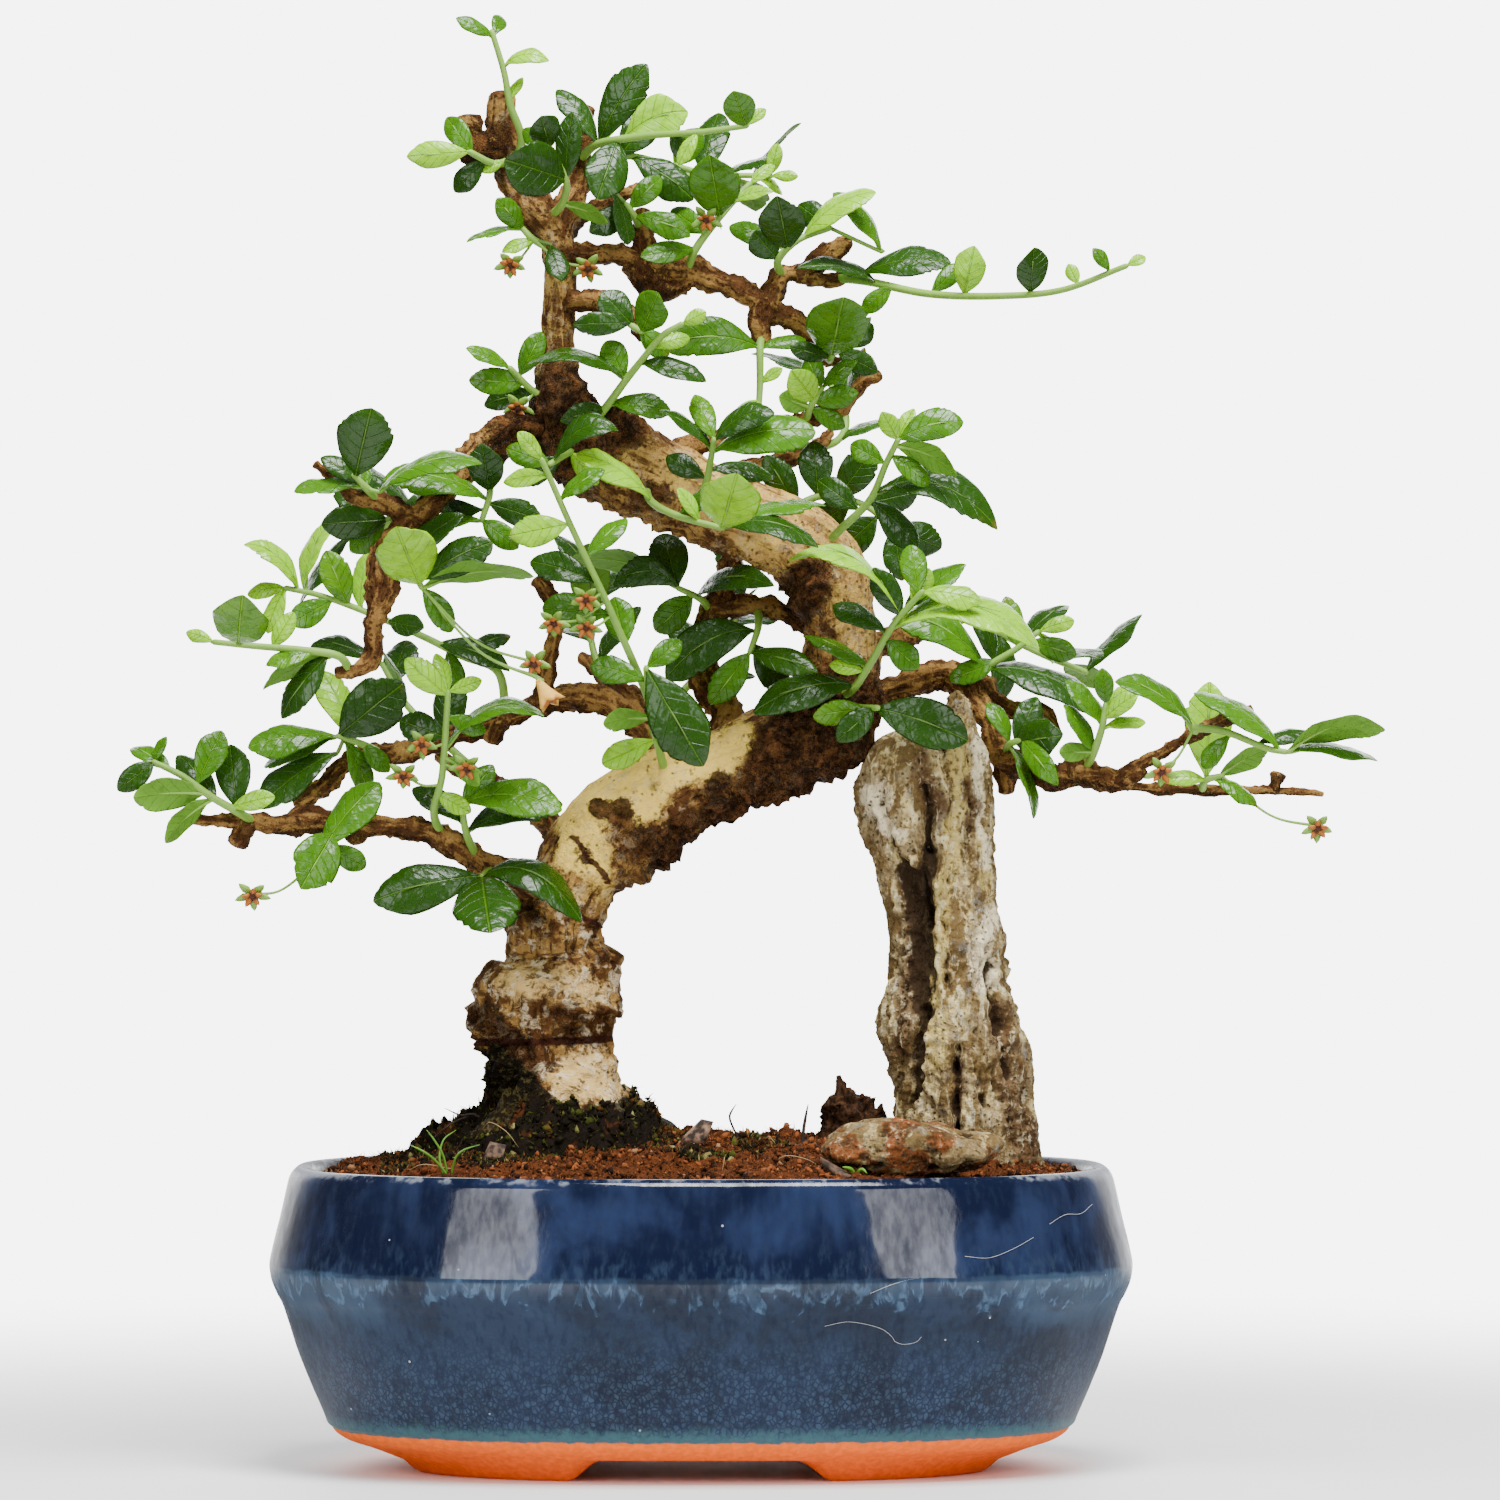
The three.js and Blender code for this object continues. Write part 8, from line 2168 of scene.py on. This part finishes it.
def add_flower(shape, stem, x, z, chance):
    """A withered flower: a small cup, five dry points over five green sepals, on a sagging stalk."""
    root, _ = nearest_on_stem(stem, x, z)
    centre = seen([x, root[1] - 3, z])
    normal = np.array([0, -math.sin(FLOWER_TILT), math.cos(FLOWER_TILT)])
    side = np.array([1.0, 0, 0])
    other = np.cross(normal, side)
    for slot, reach, width, lift, start, turned in FLOWER_POINTS:
        for petal in range(5):
            angle = math.pi / 2 + turned + petal * 2 * math.pi / 5 + chance.normal(0, 0.12)
            out = side * math.cos(angle) + other * math.sin(angle)
            wide = np.cross(normal, out)
            far = reach * chance.uniform(0.82, 1.05)
            rise = lift * chance.uniform(0.3, 1.4)
            rings = []
            for distance, share, climbed in ((0.3, 0.35, 0), (0.45 * far, 1.0, 0.3), (0.8 * far, 0.6, 0.7)):
                middle = centre + out * distance + normal * (start + climbed * rise)
                half = wide * width * share
                rings.append([middle - normal * 0.22, middle + half, middle + normal * 0.22, middle - half])
            ends = [centre + normal * start, centre + out * far + normal * (start + rise)]
            along = np.r_[np.repeat([0.0, 0.45, 0.8], 4), 0, 1]
            points = np.vstack([*rings, ends])
            shade = chance.uniform(0, 1)
            shape.add(points, closed_faces(3, 4), slot, tone=1.8, shade=shade, along=along, across=0)
    shape.add(centre + BALL, [BALL_FACES], FLOWER_SLOT, tone=1, shade=0.5, along=0, across=0)
    path = [*hanging_from(root, centre), [*(centre - normal * 0.8), 0.45]]
    add_strand(shape, smooth_path(path, 1.5), 5, 0.5)


def add_bell(shape, stem, x, z):
    """A dried flower that hangs shut: a bell of radius 0.8 + 2.3 t^1.3 with five lobes at its mouth."""
    root, _ = nearest_on_stem(stem, x, z)
    top = seen([x, root[1] - 3, z])
    axis = unit(np.array([0.5, -0.25, -0.85]))
    side = unit(np.cross(axis, [0, 1.0, 0]))
    other = np.cross(axis, side)
    t = np.linspace(0, 1, 9)[:, None]
    turn = turns(BELL_SIDES)
    lobes = np.cos(5 * turn) * t**2
    radius = (0.8 + 2.3 * t**1.3) * (1 + 0.22 * lobes)
    down = BELL_LENGTH * t + 0.8 * lobes
    around = side * np.cos(turn)[:, None] + other * np.sin(turn)[:, None]
    rings = top + axis * down[..., None] + around * radius[..., None]
    # The pole at the mouth gets along 0, which the flower finish paints dark: painted shade inside the bell.
    along = np.r_[np.full(lobes.size, 2.0), 2.0, 0.0]
    shape.add_rings(rings, FLOWER_SLOT, tone=0.3, shade=0.3, along=along, across=0.3)
    path = [*hanging_from(root, top), [*(top - axis * 0.8), 0.6], [*(top + axis * 0.8), 1.15]]
    add_strand(shape, smooth_path(path, 1.2), 7, 0.5)


def blade_finish(settings, name, below):
    """Glossy upper face or dull underside, with a faint pale midrib, side veins and a thin light edge."""
    blade = Finish(name, 0.3, {"Specular IOR Level": 0.15 if below else 0.34})
    tone = blade.number("tone")
    shade = blade.number("shade")
    along = blade.number("along")
    across = blade.number("across").math("ABSOLUTE")
    blotch = blade.noise(6, 4)
    puckers = blade.noise(3.4, 2)
    fine = blade.noise(0.6, 3)
    midrib = across.step(0.06, 0.015)
    veins = (along * 6.5 - across * 1.5).math("PINGPONG", 0.5).step(0.07, 0.0) * along.step(1.0, 0.8)
    lighter = (midrib + veins * 0.2 + across.step(0.95, 1.0) * 0.4) * (0.12 + tone.step(0, 2) * 0.25)
    base = blade.layers(
        settings.dark,
        ((tone + (blotch - 0.5) * 0.5 + shade * 0.3).step(0.25, 1.3), settings.middle),
        ((tone + (blotch - 0.5) * 0.4 + shade * 0.3).step(1.3, 2.1), settings.bright),
        (0.75 if below else 0, settings.under),
        (lighter, settings.bright),
        (puckers.step(0.5, 0.75) * 0.3, times(settings.dark, 0.6)),
        ((blotch * 0.5 + shade * 0.5).step(0.72, 0.8) * along.step(0.8, 1.0) * 0.5, (0.2, 0.13, 0.015)),
    )
    side = 1.0 if below else -1.0
    height = midrib * side + veins * 0.5 * side + puckers * 2.4 + fine * 0.12
    if below:
        return blade.set(base, 0.5 + fine * 0.15, height, depth=0.25)
    return blade.set(base, 0.19 + fine * 0.16, height, depth=0.3)


def leaf_finishes(settings):
    """Finishes of the upper faces, undersides, shoots and withered flowers."""
    shoot = Finish("green_shoot", 0.5)
    ring = shoot.noise(2.5, 4)
    green = shoot.layers(
        times(settings.shoot, 0.45),
        ((shoot.number("tone") + ring * 0.6).step(0.3, 1.6), settings.shoot),
        (shoot.number("shade").step(1.5, 2.0), (0.12, 0.06, 0.02)),
    )
    flower = Finish("withered_flower", 0.75)
    patch = flower.noise(1.4, 4)
    along = flower.number("along")
    dry = flower.layers(
        (0.07, 0.018, 0.005),
        ((along + (patch - 0.5) * 0.6 + flower.number("shade") * 0.3).step(0.25, 0.6), settings.withered),
        (along.step(1.2, 1.7) * (1 - patch * 0.5), (0.86, 0.52, 0.09)),
    )
    return [
        blade_finish(settings, "leaf_upper", False),
        blade_finish(settings, "leaf_under", True),
        shoot.set(green, 0.45 + ring * 0.2, ring, depth=0.2),
        flower.set(dry, 0.7 + patch * 0.2, patch, depth=0.3),
    ]


# A spray whose name starts with none of these is in the middle.
LEAF_REGIONS = ("apex", "upper", "left", "right", "back")


def region_of(name):
    """The part of the crown that a spray belongs to."""
    return next((region for region in LEAF_REGIONS if name.startswith(region)), "middle")


class BONSAI_OT_leaves(bpy.types.Operator):
    """Sprays of small leaves on green shoots, with a few withered flowers"""

    bl_idname = "bonsai.leaves"
    bl_label = "Leaves"

    def execute(self, context):
        settings = context.scene.bonsai_leaf
        finishes = leaf_finishes(settings)
        chance = np.random.default_rng(97)
        sprays = dict(zip(SPRAYS, placed_leaves()))
        for region in (*LEAF_REGIONS, "middle"):
            names = [name for name in sprays if region_of(name) == region]
            shape = Shape()
            for name in names:
                stem, leaves = sprays[name]
                path = smooth_path(np.c_[stem, np.linspace(1.15, 0.75, len(stem))], 1.5)
                tip = path[-1, :3] * 1.5 - path[-2, :3] * 0.5
                add_strand(shape, np.vstack([path, [*tip, 0.35]]), 8, chance.uniform(0, 1))
                for leaf in leaves:
                    add_blade(shape, leaf, settings.thickness / MM, chance)
                    add_stalk(shape, leaf, chance)
                for x, z in SPRAYS[name].get("flowers", []):
                    add_flower(shape, stem, x, z, chance)
                for x, z in SPRAYS[name].get("bells", []):
                    add_bell(shape, stem, x, z)
            shape.build(f"leaves_{region}", finishes, "leaf", *(f"spray_{name}" for name in names))
        return {"FINISHED"}


def area_light(name, place, aim, width, height, power, colour=(1, 1, 1)):
    """A soft box that looks at a point."""
    light = bpy.data.lights.new(name, "AREA")
    light.shape = "RECTANGLE"
    light.size = width
    light.size_y = height
    light.energy = power
    light.color = colour
    lamp = placed(name, light)
    lamp.location = place
    lamp.rotation_euler = (Vector(aim) - Vector(place)).to_track_quat("-Z", "Y").to_euler()


class BONSAI_OT_stage(bpy.types.Operator):
    """Pale floor, soft boxes to the left and right, light from above and the camera"""

    bl_idname = "bonsai.stage"
    bl_label = "Stage"

    def execute(self, context):
        settings = context.scene.bonsai_stage
        plane = bpy.data.meshes.new("floor")
        corners = [(-4, -4, 0), (4, -4, 0), (4, 4, 0), (-4, 4, 0)]
        plane.from_pydata(corners, [], [(0, 1, 2, 3)])
        floor = placed("floor", plane)
        finish = Finish("floor", 0.6)
        grain = finish.noise(400, 3)
        tint = finish.mix(grain, settings.floor, [v * 0.98 for v in settings.floor])
        x, y = (finish.axis(letter) for letter in "XY")
        far = (x * x + y * y).math("SQRT")
        plane.materials.append(finish.set(tint, 0.55 + grain * 0.1, fade=far.step(750, 200)))

        world = bpy.data.worlds.new("studio")
        world.use_nodes = True
        nodes = world.node_tree.nodes
        links = world.node_tree.links
        where = nodes.new("ShaderNodeTexCoord")
        part = nodes.new("ShaderNodeSeparateXYZ")
        links.new(where.outputs["Generated"], part.inputs[0])
        glow = nodes.new("ShaderNodeMapRange")
        glow.interpolation_type = "SMOOTHSTEP"
        for number, value in enumerate((0.7, 0.96, settings.sky, settings.backdrop), 1):
            glow.inputs[number].default_value = value
        links.new(part.outputs["Y"], glow.inputs[0])
        links.new(glow.outputs[0], nodes["Background"].inputs["Strength"])
        nodes["Background"].inputs["Color"].default_value = (1, 1, 1, 1)
        context.scene.world = world

        aim = (POT_CENTRE_X * MM, 0, 0.1)
        area_light("soft_box_left", (-0.62, -0.86, 0.5), aim, 0.42, 0.6, 5)
        area_light("soft_box_right", (0.6, -0.86, 0.5), aim, 0.42, 0.6, 5)
        area_light("top_light", (0.1, -0.35, 1.1), (0, 0, 0.15), 0.5, 0.5, 25)

        lens = bpy.data.cameras.new("camera")
        lens.lens = settings.lens
        lens.sensor_width = 36
        lens.clip_start = 0.05
        lens.clip_end = 20
        camera = placed("camera", lens)
        camera.location = (0, -EYE_DISTANCE * MM, EYE_HEIGHT * MM)
        camera.rotation_euler = (math.pi / 2, 0, 0)
        context.scene.camera = camera
        return {"FINISHED"}


OPERATORS = (
    BONSAI_OT_pot,
    BONSAI_OT_soil,
    BONSAI_OT_moss,
    BONSAI_OT_wood,
    BONSAI_OT_stones,
    BONSAI_OT_leaves,
    BONSAI_OT_stage,
)


class BONSAI_PT_panel(bpy.types.Panel):
    """Lists the pieces of the bonsai"""

    bl_idname = "BONSAI_PT_panel"
    bl_label = "Fukien tea bonsai"
    bl_space_type = "VIEW_3D"
    bl_region_type = "UI"
    bl_category = "Bonsai"

    def draw(self, context):
        for operator in OPERATORS:
            self.layout.operator(operator.bl_idname)
        for key, group in SETTINGS.items():
            box = self.layout.box()
            for name in group.__annotations__:
                box.prop(getattr(context.scene, key), name)


def register():
    """Makes the settings, the operators and the panel known to Blender."""
    for key, group in SETTINGS.items():
        bpy.utils.register_class(group)
        setattr(bpy.types.Scene, key, PointerProperty(type=group))
    for kind in (*OPERATORS, BONSAI_PT_panel):
        bpy.utils.register_class(kind)


def unregister():
    """Takes back what register has done."""
    for kind in (BONSAI_PT_panel, *reversed(OPERATORS)):
        bpy.utils.unregister_class(kind)
    for key, group in SETTINGS.items():
        delattr(bpy.types.Scene, key)
        bpy.utils.unregister_class(group)


def main():
    """Builds every piece and the stage."""
    register()
    bpy.ops.bonsai.pot()
    bpy.ops.bonsai.soil()
    bpy.ops.bonsai.moss()
    bpy.ops.bonsai.wood()
    bpy.ops.bonsai.stones()
    bpy.ops.bonsai.leaves()
    bpy.ops.bonsai.stage()


if __name__ == "__main__":
    main()
